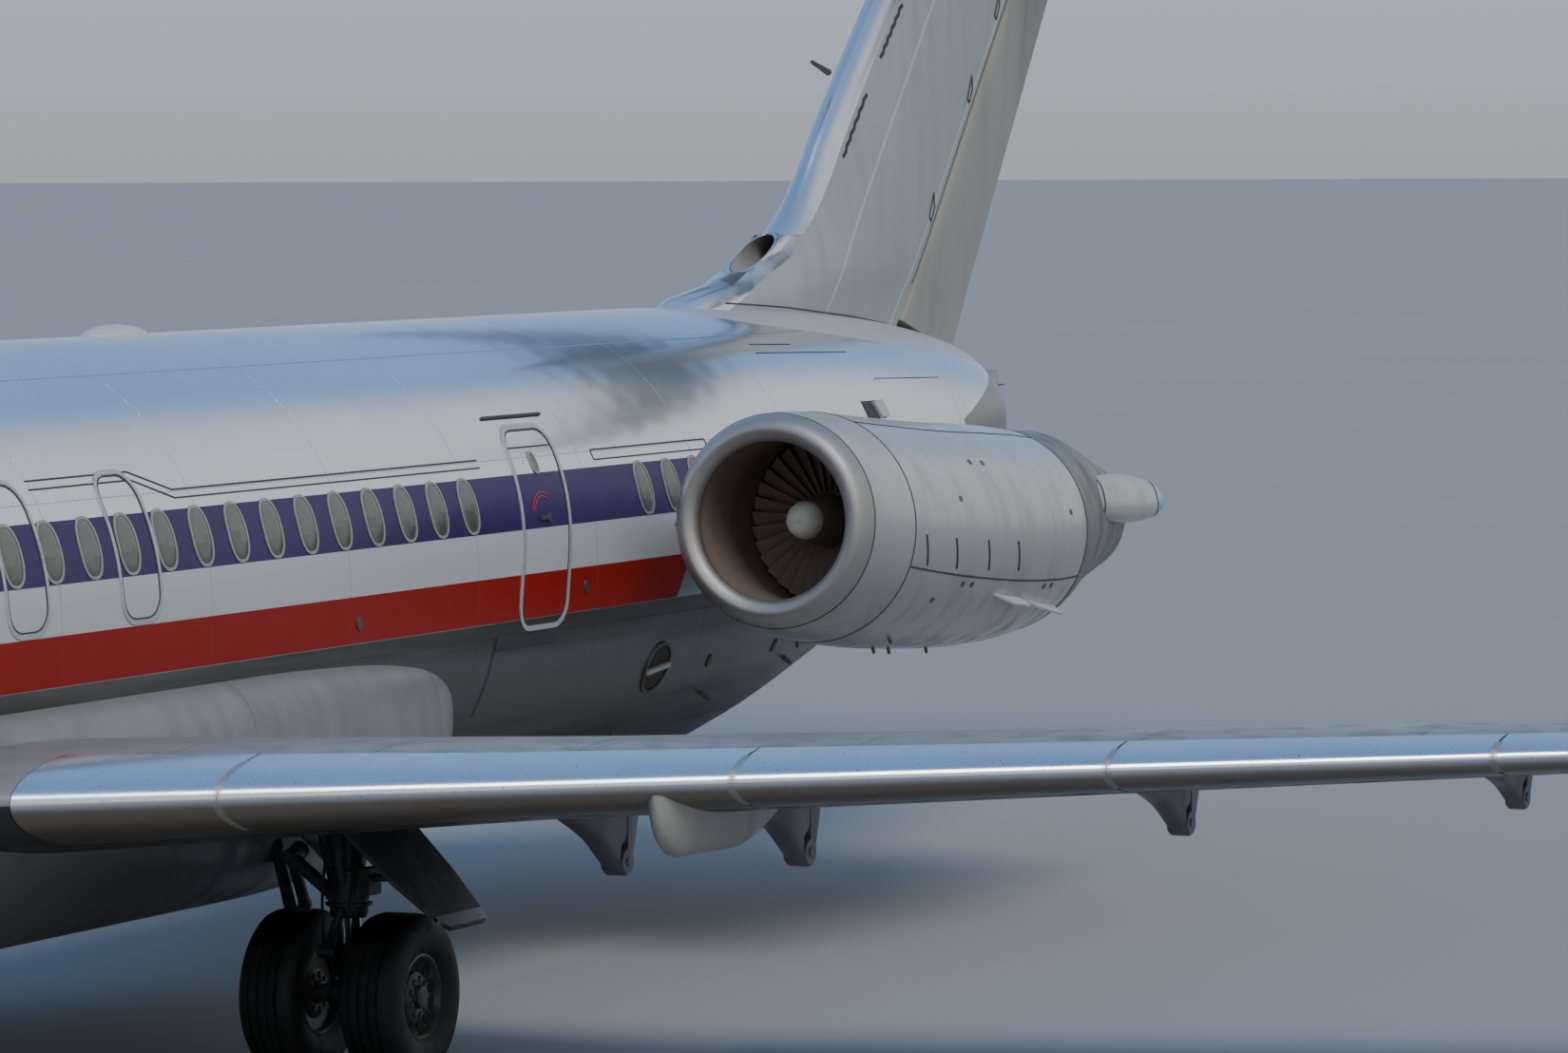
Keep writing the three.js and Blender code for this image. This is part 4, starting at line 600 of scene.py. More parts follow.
def bent(line, s):
    """Moves the lowest lines so that two of them run straight along the stair's and the nose bay's edges."""
    half = np.maximum(hull_size(s)[3], 0.9)
    stair = -np.degrees(np.arccos(STAIR_HALF / half))
    bay = -np.degrees(np.arccos(BAY_HALF / half))
    low = np.where(line < BAY_LINE, -90 + (line + 90) / (BAY_LINE + 90) * (bay + 90),
                   bay + (line - BAY_LINE) / (STAIR_LINE - BAY_LINE) * (stair - bay))
    mid = stair + (line - STAIR_LINE) / (CARGO_LOW - STAIR_LINE) * (CARGO_LOW - stair)
    return np.where(line >= CARGO_LOW, line, np.where(line >= STAIR_LINE, mid, low))


def hull_lines():
    """The angles of the grid's lines, up from each side's horizontal, and which of them are to starboard."""
    stops = [-90, BAY_LINE, STAIR_LINE, CARGO_LOW, CARGO_HIGH, -1e-4]
    lower = [np.linspace(a, b, max(2, int((b - a) / 2.4) + 1))[:-1] for a, b in zip(stops, stops[1:])]
    port = np.concatenate([*lower, [-1e-4, 1e-4], np.linspace(0, 90, 39)[1:]])
    line = np.concatenate([port, port[::-1][1:-1]])
    return line, np.arange(len(line)) >= len(port)


def hull_skin():
    """The section grid along the fuselage. In an opening the quads lie on a sunk copy, joined by walls."""
    marks = [edge for row in OPENINGS for edge in row[:2]]
    s = np.concatenate([np.linspace(0, 1.45, 26), np.arange(1.5, 6.5, 0.11), np.arange(6.5, 31.3, 0.62),
                        np.arange(31.35, 41.8, 0.16), marks, [41.87]])
    s = np.unique(np.round(s, 4))[:, None]
    line, star = hull_lines()
    low = bent(line[None, :], s)
    angle = np.radians(np.where(star, 180 - low, low))
    outer, inner, inner_shallow = (hull_point(s, angle, -sink) for sink in (0.0, SINK, CARGO_SINK))
    m, n = angle.shape
    mid_s = (s[1:] + s[:-1]) / 2
    mid_line = (line + np.roll(line, -1)) / 2
    sunk = np.zeros((m - 1, n), bool)
    for s0, s1, low0, high0, starboard_only, roof in OPENINGS:
        zone = (mid_s > s0) & (mid_s < s1) & (mid_line > low0) & (mid_line < high0)
        span = (s[:, 0] > s0 - 0.01) & (s[:, 0] < s1 + 0.01)
        if starboard_only:
            zone &= star | np.roll(star, -1)
            inner[span] = inner_shallow[span]
        if roof:
            inner[span, :, 2] = np.maximum(outer[span, :, 2], roof * MODEL)
        sunk |= zone
    points = np.concatenate([outer.reshape(-1, 3), inner.reshape(-1, 3)])
    under = m * n
    i, j = np.meshgrid(np.arange(m - 1), np.arange(n), indexing="ij")
    side = (j + 1) % n
    quads = np.stack([i * n + j, i * n + side, (i + 1) * n + side, (i + 1) * n + j], axis=-1)
    faces = (quads + (sunk * under)[..., None]).reshape(-1, 4).tolist()
    row, column = np.nonzero(sunk != np.roll(sunk, -1, axis=1))
    walls = [(a * n + (b + 1) % n, (a + 1) * n + (b + 1) % n) for a, b in zip(row, column)]
    row, column = np.nonzero(sunk[1:] != sunk[:-1])
    walls += [((a + 1) * n + b, (a + 1) * n + (b + 1) % n) for a, b in zip(row, column)]
    faces += [[one, two, two + under, one + under] for one, two in walls]
    faces.append([(m - 1) * n + c for c in range(n)])
    used = np.unique(np.concatenate([np.ravel(f) for f in faces]))
    table = np.full(len(points), -1)
    table[used] = np.arange(len(used))
    return points[used], [[int(table[v]) for v in f] for f in faces]


def hull_panel(s0, s1, low, high, side, thickness):
    """A lid cut from the skin: the same surface between stations and angles, over an inner copy."""
    s = np.linspace(s0, s1, 9)[:, None]
    line = np.linspace(low, high, 13)[None, :]
    angle = np.radians(bent(line, s))
    angle = np.pi - angle if side == STARBOARD else angle
    top = hull_point(s + 0 * angle, angle)
    under = hull_point(s + 0 * angle, angle, -thickness)
    return solid(top, under[:, ::-1])


def fine(path, closed, step=0.045):
    """The same path with its long straight runs divided, so that a strip along it follows a curved skin."""
    path = np.asarray(path, float)
    following = np.roll(path, -1, axis=0) if closed else path[1:]
    runs = []
    for a, b in zip(path, following):
        count = max(1, int(math.ceil(np.linalg.norm(b - a) / step)))
        runs.append(a + (b - a) * np.arange(count)[:, None] / count)
    return np.concatenate(runs if closed else runs + [path[-1:]])


def ribbon(path, side, width, lift=0.006, closed=True, surface=side_point, sink=-0.01):
    """A flat strip along a path of (s, z) on a surface: four corners carried along, two sunk, two raised."""
    path = fine(path, closed)
    if closed:
        along = np.roll(path, -1, axis=0) - np.roll(path, 1, axis=0)
    else:
        along = np.gradient(path, axis=0)
    along /= np.linalg.norm(along, axis=1, keepdims=True)
    across = np.stack([-along[:, 1], along[:, 0]], axis=1) * width / 2
    rows = [(path + across, sink), (path + across, lift), (path - across, lift), (path - across, sink)]
    points = np.stack([surface(p[:, 0], p[:, 1], side, h) for p, h in rows], axis=1)
    return grid(points, around=True, loop=closed, caps=not closed)


def plate(path, side, lift=0.006, surface=side_point, sink=-0.01):
    """A thin plate over a closed path on a surface: rings from its middle to its edge, and back under."""
    path = fine(path, True, 0.08)
    middle = path.mean(axis=0)
    rows = [(0.0, lift), (0.3, lift), (0.6, lift), (0.97, lift), (1.0, lift * 0.6), (1.0, sink), (0.5, sink),
            (0.0, sink)]
    points = [surface(*(middle + (path - middle) * share).T, side, high) for share, high in rows]
    return grid(np.stack(points), around=True)


def rounded(s0, s1, z0, z1, radius, count=6):
    """A rectangle with quarter-circle corners."""
    corners = ((s1 - radius, z1 - radius, 0), (s0 + radius, z1 - radius, 90), (s0 + radius, z0 + radius, 180),
               (s1 - radius, z0 + radius, 270))
    path = []
    for s, z, start in corners:
        turn = np.radians(np.linspace(start, start + 90, count))
        path.append(np.stack([s + radius * np.cos(turn), z + radius * np.sin(turn)], axis=1))
    return np.concatenate(path)


def inset(box, edge):
    s0, s1, z0, z1 = box
    return s0 + edge, s1 - edge, z0 + edge, z1 - edge


def oval(s, z, half_s, half_z, count=20, power=2.6):
    """A superellipse: cosine and sine raised to two over the power."""
    turn = once_round(count)
    across, rise = (signed_power(v, 2 / power) for v in (np.cos(turn), np.sin(turn)))
    return np.stack([s + half_s * across, z + half_z * rise], axis=1)


HULL_NODES = ("fuselage", "radome", "tail_cone", "entry_door_left", "service_door_right",
              "service_door_aft_left",
              "exit_forward_left", "exit_aft_left", "exit_forward_right", "exit_aft_right")
piece("fuselage_skin", [hull_skin()], SKIN, replaces=HULL_NODES, sharp=30)
for name, s0, s1 in (("forward", 8.3, 9.64), ("aft", 28.15, 29.2)):
    door = f"cargo_door_{name}"
    lid = hull_panel(s0, s1, CARGO_LOW + 0.4, CARGO_HIGH - 0.4, STARBOARD, 0.07)
    piece(f"{door}_panel", [lid], SKIN, body=door, replaces=(door,), sharp=30)
    marks = [ribbon(rounded(s0 + 0.05, s1 - 0.05, 1.40, 2.12, 0.08), STARBOARD, 0.02, 0.004)]
    marks += [plate(rounded(s - 0.05, s + 0.05, 1.40, 1.50, 0.02), STARBOARD, 0.008)
              for s in (s0 + 0.35, s1 - 0.35)]
    piece(f"{door}_latches", marks, TRIM_WHITE, body=door)


def stair_panel():
    """The stair's under-skin between its edges, with treads on its hidden inner face."""
    s = np.linspace(34.2, 37.3, 18)[:, None]
    share = np.linspace(-1, 1, 15)[None, :]
    half = hull_size(s)[3]
    angle = -np.pi / 2 + share * (np.pi / 2 - np.arccos(0.43 / half))
    top, under = (hull_point(s + 0 * angle, angle, lift) for lift in (0.0, -0.03))
    parts = [solid(top, under[:, ::-1])]
    for k in np.linspace(34.4, 37.1, 14):
        base = smooth(k, HULL[:, 0], HULL[:, 2])
        tread = [(k + aft, base + up)
                 for aft, up in ((-0.07, 0.03), (0.07, 0.03), (0.07, 0.09), (-0.07, 0.09))]
        parts.append(slab(tread, -0.36, 0.36))
    return parts

piece("ventral_stair_flight", stair_panel(), SKIN, body="ventral_stair", replaces=("ventral_stair",))

# Cabin windows, doors, exits and small skin fittings
SKIPPED = (12, 13, 14, 15, 16)
WINDOWS = [WINDOW_ZERO + WINDOW_PITCH * i for i in range(-34, 21) if i not in SKIPPED]
# columns: side, first and last station, foot, head, corner radius, lean in metres per metre of height
DOORS = [
    (PORT, 4.35, 5.21, 2.30, 4.13, 0.13, 0.0), (STARBOARD, 4.45, 5.15, 2.33, 3.90, 0.13, 0.0),
    (PORT, 28.76, 29.52, 2.54, 3.93, 0.17, 0.17),
]
EXITS = [(side, s, s + 0.51, 2.94, 3.87, 0.17) for _, side in SIDES for s in (21.56, 22.98)]


def leaning(path, lean):
    """A path of (s, z) sheared aft as it rises, about the height of the door's middle."""
    path = np.asarray(path, float)
    return np.stack([path[:, 0] + lean * (path[:, 1] - 3.2), path[:, 1]], axis=1)


frames, panes = [], []
for _, side in SIDES:
    for s in WINDOWS:
        frames.append(ribbon(oval(s, WINDOW_Z, 0.122, 0.186, 24, 2.5), side, 0.020))
        panes.append(plate(oval(s, WINDOW_Z, 0.112, 0.176, 24, 2.5), side, 0.0045))
for side, s0, s1, *_, lean in DOORS:
    s, half = (29.2, 0.045) if lean else ((s0 + s1) / 2 + 0.17, 0.07)
    frames.append(ribbon(oval(s, 3.68, half, half * 1.6), side, 0.018, 0.008))
    panes.append(plate(oval(s, 3.68, half * 0.9, half * 1.45), side, 0.0055))
piece("cabin_window_frames", frames, FRAME_LIGHT)
piece("cabin_window_panes", panes, PANE)

outlines, gaps, fittings = [], [], []
for side, s0, s1, z0, z1, corner, lean in DOORS:
    def on_door(path):
        return leaning(path, lean)

    box = (s0, s1, z0, z1)
    outlines.append(ribbon(on_door(rounded(*box, corner)), side, 0.036, 0.007))
    gaps.append(ribbon(on_door(rounded(*inset(box, 0.026), corner - 0.02)), side, 0.010, 0.003))
    gaps.append(ribbon(on_door([(s0 + 0.05, z1 - 0.14), (s1 - 0.05, z1 - 0.14)]), side, 0.010, 0.003, False))
    gaps.append(ribbon(on_door([(s0 - 0.13, z1 + 0.07), (s1 + 0.05, z1 + 0.07)]), side, 0.016, 0.014, False))
    fittings.append(plate(on_door(rounded(s0 - 0.32, s1 - 0.08, z0 - 0.13, z0 - 0.03, 0.03)), side))
for side, *box, corner in EXITS:
    outlines.append(ribbon(rounded(*box, corner), side, 0.030))
    gaps.append(ribbon(rounded(*inset(box, 0.024), corner - 0.02), side, 0.010, 0.003))
piece("door_outlines", outlines, TRIM_WHITE)
# Panel joints on the port side: a stepped pair, a narrow frame, and straight ones round the spill opening
STEPPED = [(22.2, 3.858), (23.48, 3.862), (23.94, 3.731), (28.34, 3.731)]
TAIL_JOINTS = [[(34.3, 4.306), (36.18, 4.265)], [(34.38, 4.37), (35.17, 4.35)],
               [(36.28, 4.05), (38.03, 4.005)]]
SPILL_HOLE = [(35.66, 3.889), (36.07, 3.885), (36.09, 3.743), (35.66, 3.759)]
SPILL_FLAP = [(35.86, 3.872), (36.10, 3.880), (36.14, 3.752), (35.94, 3.745)]
gaps += [ribbon(np.array(STEPPED) - (0, drop), PORT, 0.010, 0.003, False) for drop in (0.0, 0.052)]
gaps.append(ribbon(rounded(30.19, 32.2, 3.66, 3.73, 0.01, 2), PORT, 0.010, 0.003))
gaps += [ribbon(ends, PORT, 0.006, 0.002, False) for ends in TAIL_JOINTS]
# The spill opening under its flap is a dark plate: painted shade inside the opening.
gaps.append(plate(SPILL_HOLE, PORT, 0.005))
piece("door_seals", gaps, SEAM_DARK)
piece("door_scuff_plates", fittings, KICK_PLATE)
piece("spill_opening_flap", [plate(SPILL_FLAP, PORT, 0.032)], TRIM_WHITE)

handles, arcs = [], []
for side, s0, s1, z0, *_ in DOORS:
    s, z = (s0 + s1) / 2 - 0.04, z0 + 0.76
    handles.append(ribbon([(s - 0.06, z), (s + 0.07, z)], side, 0.032, 0.018, False))
    handles.append(plate(oval(s + 0.10, z, 0.028, 0.035, 14, 2.0), side, 0.010))
    turn = np.radians(np.linspace(55, 165, 12))
    for radius in (0.155, 0.185):
        arc = np.stack([s + 0.05 + radius * np.cos(turn), z + 0.01 + radius * 0.9 * np.sin(turn)], axis=1)
        arcs.append(ribbon(arc, side, 0.009, 0.004, False))
piece("door_handles", handles, SCUFF, sharp=30)
piece("door_handle_arcs", arcs, MARK_RED)

# Round vent low on the aft fuselage, with its ring and its bar, and small drains and ports
VENT_S, VENT_Z = 31.2, 2.10
PORTS = ((29.75, 2.78), (26.2, 2.74), (33.6, 2.10), (32.2, 2.08), (7.2, 2.4), (12.4, 2.2))
DRAINS = ((34.1, 1.98), (31.05, 1.63), (32.4, 1.83))
vent_bar = ribbon([(31.02, 2.08), (31.38, 2.12)], PORT, 0.035, 0.030, False)
piece("outflow_vent_bar", [vent_bar], TRIM_WHITE)
vent_ring = ribbon(oval(VENT_S, VENT_Z, 0.20, 0.18, 24, 2.0), PORT, 0.026, 0.012)
piece("outflow_vent_ring", [vent_ring], SCUFF)
# The vent's hollow is a flat brown disc: painted shade inside the opening.
piece("outflow_vent_hollow", [plate(oval(VENT_S, VENT_Z, 0.19, 0.17, 24, 2.0), PORT, 0.004)], VENT_HOLLOW_SHADE)
ports = [plate(oval(s, z, 0.035, 0.05, 14, 2.0), side, 0.010) for _, side in SIDES for s, z in PORTS]
for s, z in DRAINS:
    y = side_point(s, z, PORT)[1] / MODEL
    ports.append(rod((s, y - 0.02, z), (s + 0.05, y + 0.04, z - 0.06), [(0, 0.020), (0.7, 0.017), (1, 0.010)],
                     10))
piece("static_and_drain_ports", ports, SCUFF)


# Wing: straight leading edge, kinked trailing edge, thin cambered section ruled between three stations
KINK_Y, TIP_Y, ROOT_Y, BODY_Y = 4.75, 16.43, 1.10, 1.67
TRAIL_ROOT, TRAIL_KINK, TRAIL_TIP = 26.0, 25.72, 28.78
EDGE_HALF, CAMBER = 0.005, 0.010
THICK_KINK, THICK_TIP = 0.118, 0.085
INCIDENCE, WASHOUT = 4.6, 6.5
LEAD_Z, LEAD_Z_Y = 2.10, 3.95


def lead_s(y):
    return WING_LEAD + SWEEP * np.asarray(y, float)


def trail_s(y):
    y = np.asarray(y, float)
    outer = TRAIL_KINK + (TRAIL_TIP - TRAIL_KINK) * (y - KINK_Y) / (TIP_Y - KINK_Y)
    inner = TRAIL_ROOT + (TRAIL_KINK - TRAIL_ROOT) * (y - BODY_Y) / (KINK_Y - BODY_Y)
    return np.where(y > KINK_Y, outer, inner)


def thickness_form(x, ratio):
    """Half thickness: five times the ratio times the root, linear, square, cube and fourth terms."""
    return 5 * ratio * (0.2969 * np.sqrt(x) - 0.126 * x - 0.3516 * x**2 + 0.2843 * x**3 - 0.1036 * x**4)


def section_z(y, fraction, surface):
    """Leading edge height, less the incidence's drop, plus camber and half thickness."""
    chord = trail_s(y) - lead_s(y)
    ratio = THICK_KINK + (THICK_TIP - THICK_KINK) * np.maximum(0, y - KINK_Y) / (TIP_Y - KINK_Y)
    drop = np.tan(np.radians(INCIDENCE - WASHOUT * y / TIP_Y)) * fraction * chord
    half = thickness_form(fraction, ratio) * chord + EDGE_HALF * fraction
    arch = CAMBER * 4 * fraction * (1 - fraction) * chord
    return LEAD_Z + DIHEDRAL * (y - LEAD_Z_Y) - drop + arch + surface * half


def wing_z(y, fraction, surface):
    """Ruled straight between the root, kink and tip sections."""
    y, fraction = np.broadcast_arrays(np.asarray(y, float), np.asarray(fraction, float))
    inner = np.where(y > KINK_Y, KINK_Y, ROOT_Y)
    outer = np.where(y > KINK_Y, TIP_Y, KINK_Y)
    t = (y - inner) / (outer - inner)
    return section_z(inner, fraction, surface) * (1 - t) + section_z(outer + 0 * t, fraction, surface) * t


def wing_fraction(y, s):
    return (s - lead_s(y)) / (trail_s(y) - lead_s(y))

def wing_panel(y0, y1, front, rear, side, rows=7, squash=None):
    """A closed length of the wing between two lines of stations: along the top forward, below it aft."""
    y = np.linspace(y0, y1, rows)[:, None]
    f0, f1 = wing_fraction(y, front(y)), wing_fraction(y, rear(y))
    t = np.linspace(0, 1, 34)[None, :]
    spread = np.where(f0 < 1e-6, t**2, t)
    f = np.clip(f0 + (f1 - f0) * spread, 0, 1)
    top, bottom = wing_z(y, f, 1), wing_z(y, f, -1)
    s = lead_s(y) + f * (trail_s(y) - lead_s(y))
    if squash is not None:
        middle_z = wing_z(y, 0.5 + 0 * f, 0)
        middle_s = (lead_s(y) + trail_s(y)) / 2
        flat = squash[:, None]
        top, bottom = middle_z + (top - middle_z) * flat, middle_z + (bottom - middle_z) * flat
        s = middle_s + (s - middle_s) * (1 - (1 - flat) * 0.35)
    wide = y + 0 * f
    upper, lower = at(s, side * wide, top), at(s, side * wide, bottom)
    return solid(upper[:, ::-1], lower)


SLAT_Y0, SLAT_Y1, SLAT_SHARE = 2.33, 16.05, 0.115
GAP = 0.012
FLAPS = {
    "flap_inboard": (2.01, 4.69, 1.20, 1.12, 0.06),
    "flap_outboard": (4.87, 10.35, 1.12, 0.79, 0.13),
}
AILERON = (10.6, 15.35, 0.64, 0.38, 0.06)


def chord_at(flap, y):
    return flap[2] + (flap[3] - flap[2]) * (y - flap[0]) / (flap[1] - flap[0])


def nose_s(flap, y, offset=0.0):
    return trail_s(y) - chord_at(flap, y) + offset


def slat_s(y):
    return lead_s(y) + SLAT_SHARE * (trail_s(y) - lead_s(y))


def wing_fixed(side):
    """The fixed wing in lengths, each from the slat line to the line ahead of what is hinged there."""
    inner, outer = FLAPS["flap_inboard"], FLAPS["flap_outboard"]
    behind = {
        "flap_in": lambda y: nose_s(inner, y, -GAP), "flap_out": lambda y: nose_s(outer, y, -GAP),
        "aileron": lambda y: nose_s(AILERON, y, -GAP), "edge": trail_s,
    }
    # columns: inner and outer y, line ahead, line behind
    lengths = [
        (ROOT_Y, 1.95, lead_s, "edge"), (1.95, SLAT_Y0, lead_s, "flap_in"),
        (SLAT_Y0, 4.745, slat_s, "flap_in"),
        (4.745, 10.41, slat_s, "flap_out"), (10.41, 10.54, slat_s, "edge"), (10.54, 15.41, slat_s, "aileron"),
        (15.41, SLAT_Y1, slat_s, "edge"), (SLAT_Y1, 16.30, lead_s, "edge"),
    ]
    parts = [wing_panel(y0, y1, ahead, behind[key], side) for y0, y1, ahead, key in lengths]
    share = np.linspace(0, 1, 8)
    parts.append(wing_panel(16.30, TIP_Y, lead_s, trail_s, side, 8, 1 - 0.65 * (1 - np.sqrt(1 - share**2))))
    return parts


def trailing_surface(flap, side):
    """A flap or aileron: the rear of the wing section with a quarter-ellipse nose above and below."""
    y = np.linspace(flap[0], flap[1], 9)[:, None]
    nose = nose_s(flap, y)
    shoulder = nose + 0.11 * chord_at(flap, y)
    f0, f1 = wing_fraction(y, nose), wing_fraction(y, shoulder)
    turn = np.radians(np.linspace(0, 90, 8))[None, :]
    curve_s = nose + (shoulder - nose) * (1 - np.cos(turn))
    lead_z = wing_z(y, f0, 0)
    f = f1 + (1 - f1) * np.linspace(0, 1, 14)[None, 1:]
    rear_s = lead_s(y) + f * (trail_s(y) - lead_s(y))
    halves = []
    for surface in (1, -1):
        curve_z = lead_z + (wing_z(y, f1, surface) - lead_z) * np.sin(turn)
        curve = at(curve_s, side * y, curve_z)
        rear = at(rear_s, side * y, wing_z(y, f, surface))
        halves.append(np.concatenate([curve, rear], axis=1))
    return solid(halves[0][:, ::-1], halves[1][:, 1:])


# Flap-hinge fairings: y, flap, half thickness, tip radius.
# Hinge lines: two points, each y, distance aft of the flap's nose and z
BLADES = [
    (2.16, "flap_inboard", 0.060, 0.075), (4.15, "flap_inboard", 0.078, 0.095),
    (5.35, "flap_outboard", 0.078, 0.095),
    (7.65, "flap_outboard", 0.070, 0.085), (9.65, "flap_outboard", 0.062, 0.080),
]
HINGE_LINES = {
    "flap_inboard": ((2.16, 0.12, 1.33), (4.15, 0.25, 1.38)),
    "flap_outboard": ((5.35, 0.23, 1.47), (9.65, 0.07, 1.85)),
}


def blade_parts(y, flap_name, half, tip, side):
    """A blade in two bodies that part at the pivot: a hollow front slope, a round tip, a steep aft edge."""
    flap = FLAPS[flap_name]
    (ya, aft_a, za), (yb, aft_b, zb) = HINGE_LINES[flap_name]
    t = (y - ya) / (yb - ya)
    pivot_s = float(nose_s(flap, ya, aft_a) * (1 - t) + nose_s(flap, yb, aft_b) * t)
    pivot_z = za * (1 - t) + zb * t
    front_s = float(nose_s(flap, y, -1.05))
    run, aft_s = pivot_s - front_s, pivot_s + 0.24
    top_front = float(wing_z(y, wing_fraction(y, front_s), 0))
    depth = top_front - pivot_z
    # columns: station, height of the hollow slope
    slope = np.array([
        (front_s, top_front - 0.16 * depth), (front_s + 0.35 * run, top_front - 0.46 * depth),
        (front_s + 0.68 * run, top_front - 0.74 * depth), (pivot_s - 0.6 * tip, pivot_z - 0.72 * tip),
        (pivot_s, pivot_z - tip),
    ])
    clear = tip + GAP

    def body(s, bottom, half_at):
        top = np.maximum(wing_z(y, np.clip(wing_fraction(y, s), 0, 1), 0), bottom + 0.02)
        turn = once_round(20)[None, :]
        across = half_at[:, None] * signed_power(np.cos(turn), 0.45)
        up = ((top + bottom) / 2)[:, None] + ((top - bottom) / 2)[:, None] * signed_power(np.sin(turn), 0.35)
        return solid(at(s[:, None], side * (y + across), up))

    def dip(s, radius):
        return np.sqrt(np.maximum(radius**2 - (s - pivot_s) ** 2, 0))

    arc = np.linspace(0, math.acos(GAP / clear), 12)
    s = np.concatenate([np.linspace(front_s, pivot_s - clear - 0.002, 18), pivot_s - clear * np.cos(arc)])
    bottom = np.where(s > pivot_s - clear - 0.001, pivot_z + dip(s, clear),
                      smooth(s, slope[:, 0], slope[:, 1]))
    grow = np.clip((s - front_s) / run * 1.6, 0, 1)
    fixed = [body(s, bottom, half * (0.18 + 0.82 * np.sqrt(1 - (1 - grow) ** 2)))]
    s = np.linspace(pivot_s, aft_s, 12)
    share = (s - pivot_s) / (aft_s - pivot_s)
    steep = pivot_z - 0.6 * tip + (share - 0.3) * 0.55
    rear = np.where(s < pivot_s + 0.8 * tip, pivot_z - dip(s, tip), steep)
    moving = [body(s, rear, half * np.sqrt(np.maximum(1 - 0.7 * share**3, 0.05)))]
    disc = [(0, 0.2 * tip), (0, 0.86 * tip), (0.12, tip), (0.88, tip), (1, 0.86 * tip), (1, 0.2 * tip)]
    bolt = [(0, 0.012), (0, 0.028), (1, 0.028), (1, 0.012)]
    for out, profile, count in ((half, disc, 24), (half + 0.008, bolt, 12)):
        moving.append(rod(*[(pivot_s, side * (y + end * out), pivot_z) for end in (-1, 1)], profile, count))
    return fixed, moving


VORTILON_S, VORTILON_LONG, VORTILON_Y = 22.15, 2.18, 5.65


def vortilon(side):
    """The pod under the leading edge: an egg section that swells over its first part and tapers aft."""
    t = np.linspace(0, 1, 30) ** 1.3
    turn = once_round(28)[None, :]
    s = VORTILON_S + t * VORTILON_LONG
    top = wing_z(VORTILON_Y, np.clip(wing_fraction(VORTILON_Y, s), 0.03, 1), 0)[:, None]
    full = np.sqrt(np.clip(1 - (1 - np.minimum(1, t / 0.16)) ** 2, 0.004, 1))
    taper = 1 - 0.97 * (np.clip(t - 0.5, 0, 1) / 0.5) ** 1.6
    low = np.where(np.sin(turn) < 0, (0.40 * full * taper)[:, None] + 0.055, 0.02)
    wide = (0.12 * full * taper)[:, None] * signed_power(np.cos(turn), 0.8)
    return solid(at(s[:, None], side * (VORTILON_Y + wide), top + low * np.sin(turn)))


SLAT_JOINTS = [SLAT_Y0, 3.40, 6.07, 8.03, 10.07, 12.05, 14.05, SLAT_Y1]
for name, side in SIDES:
    fixed_blades, moving_blades = [], {flap_name: [] for flap_name in FLAPS}
    for y, flap_name, half, tip in BLADES:
        fixed, moving = blade_parts(y, flap_name, half, tip, side)
        fixed_blades += fixed
        moving_blades[flap_name] += moving
    piece(f"wing_skin_{name}", wing_fixed(side), PAINT_WING, replaces=(f"wing_{name}",),
          sharp=30)
    piece(f"flap_hinge_fairings_{name}", fixed_blades, PAINT_BLADE, sharp=50)
    piece(f"vortilon_{name}", [vortilon(side)], PAINT_POD, sharp=60)
    slats = [wing_panel(a + 0.006, b - 0.006, lead_s, lambda y: slat_s(y) - 0.006, side)
             for a, b in zip(SLAT_JOINTS, SLAT_JOINTS[1:])]
    piece(f"slat_row_{name}", slats, SLAT, replaces=(f"slats_{name}",), sharp=30)
    for flap_name, flap in FLAPS.items():
        body = f"{flap_name}_{name}"
        piece(f"{flap_name}_skin_{name}", [trailing_surface(flap, side)], PAINT_FLAP, body=body,
              replaces=(body,),
              sharp=30)
        piece(f"{flap_name}_arms_{name}", moving_blades[flap_name], PAINT_BLADE, body=body,
              sharp=50)
    body = f"aileron_{name}"
    piece(f"aileron_skin_{name}", [trailing_surface(AILERON, side)], PAINT_FLAP, body=body, replaces=(body,),
          sharp=30)
    covers = [wing_panel(y - 0.022, y + 0.022, lambda v: lead_s(v) - 0.002, lambda v: slat_s(v) - 0.18, side,
                         2)
              for y in SLAT_JOINTS[1:-1]]
    piece(f"slat_joint_seals_{name}", covers, LIP_METAL, sharp=30)

# Belly and wing-root fairing. columns: station, fullness. Then y and z of the hidden core and of the outline
FAIRING_S = [(18.25, 0), (18.7, 0.6), (19.5, 0.92), (20.6, 1), (24.9, 1), (26.1, 0.93), (27.0, 0.76),
             (27.6, 0.53),
             (27.9, 0.3), (28.02, 0)]
FAIRING_OUTLINE = np.array([
    (1.30, 2.30, 1.42, 2.56), (1.35, 2.20, 1.76, 2.44), (1.35, 2.00, 1.90, 2.20), (1.30, 1.80, 1.94, 1.85),
    (1.15, 1.60, 1.88, 1.45), (0.95, 1.45, 1.62, 1.13), (0.60, 1.35, 1.15, 0.985), (0.30, 1.32, 0.40, 0.975),
    (0.0, 1.32, 0.0, 0.975),
])


def belly_fairing():
    """A half outline swollen by the fullness along the body, mirrored to starboard."""
    ends = np.array(FAIRING_S, float)
    s = eased(ends[0, 0], ends[-1, 0], 60)
    full = smooth(s, *ends.T)[:, None]
    around = smooth(np.linspace(0, 8, 41), np.arange(9), FAIRING_OUTLINE)
    y, z = (around[:, c] + (around[:, c + 2] - around[:, c]) * full for c in (0, 1))
    y = np.concatenate([y, -y[:, -2::-1]], axis=1)
    z = np.concatenate([z, z[:, -2::-1]], axis=1)
    return solid(at(s[:, None], y, z))


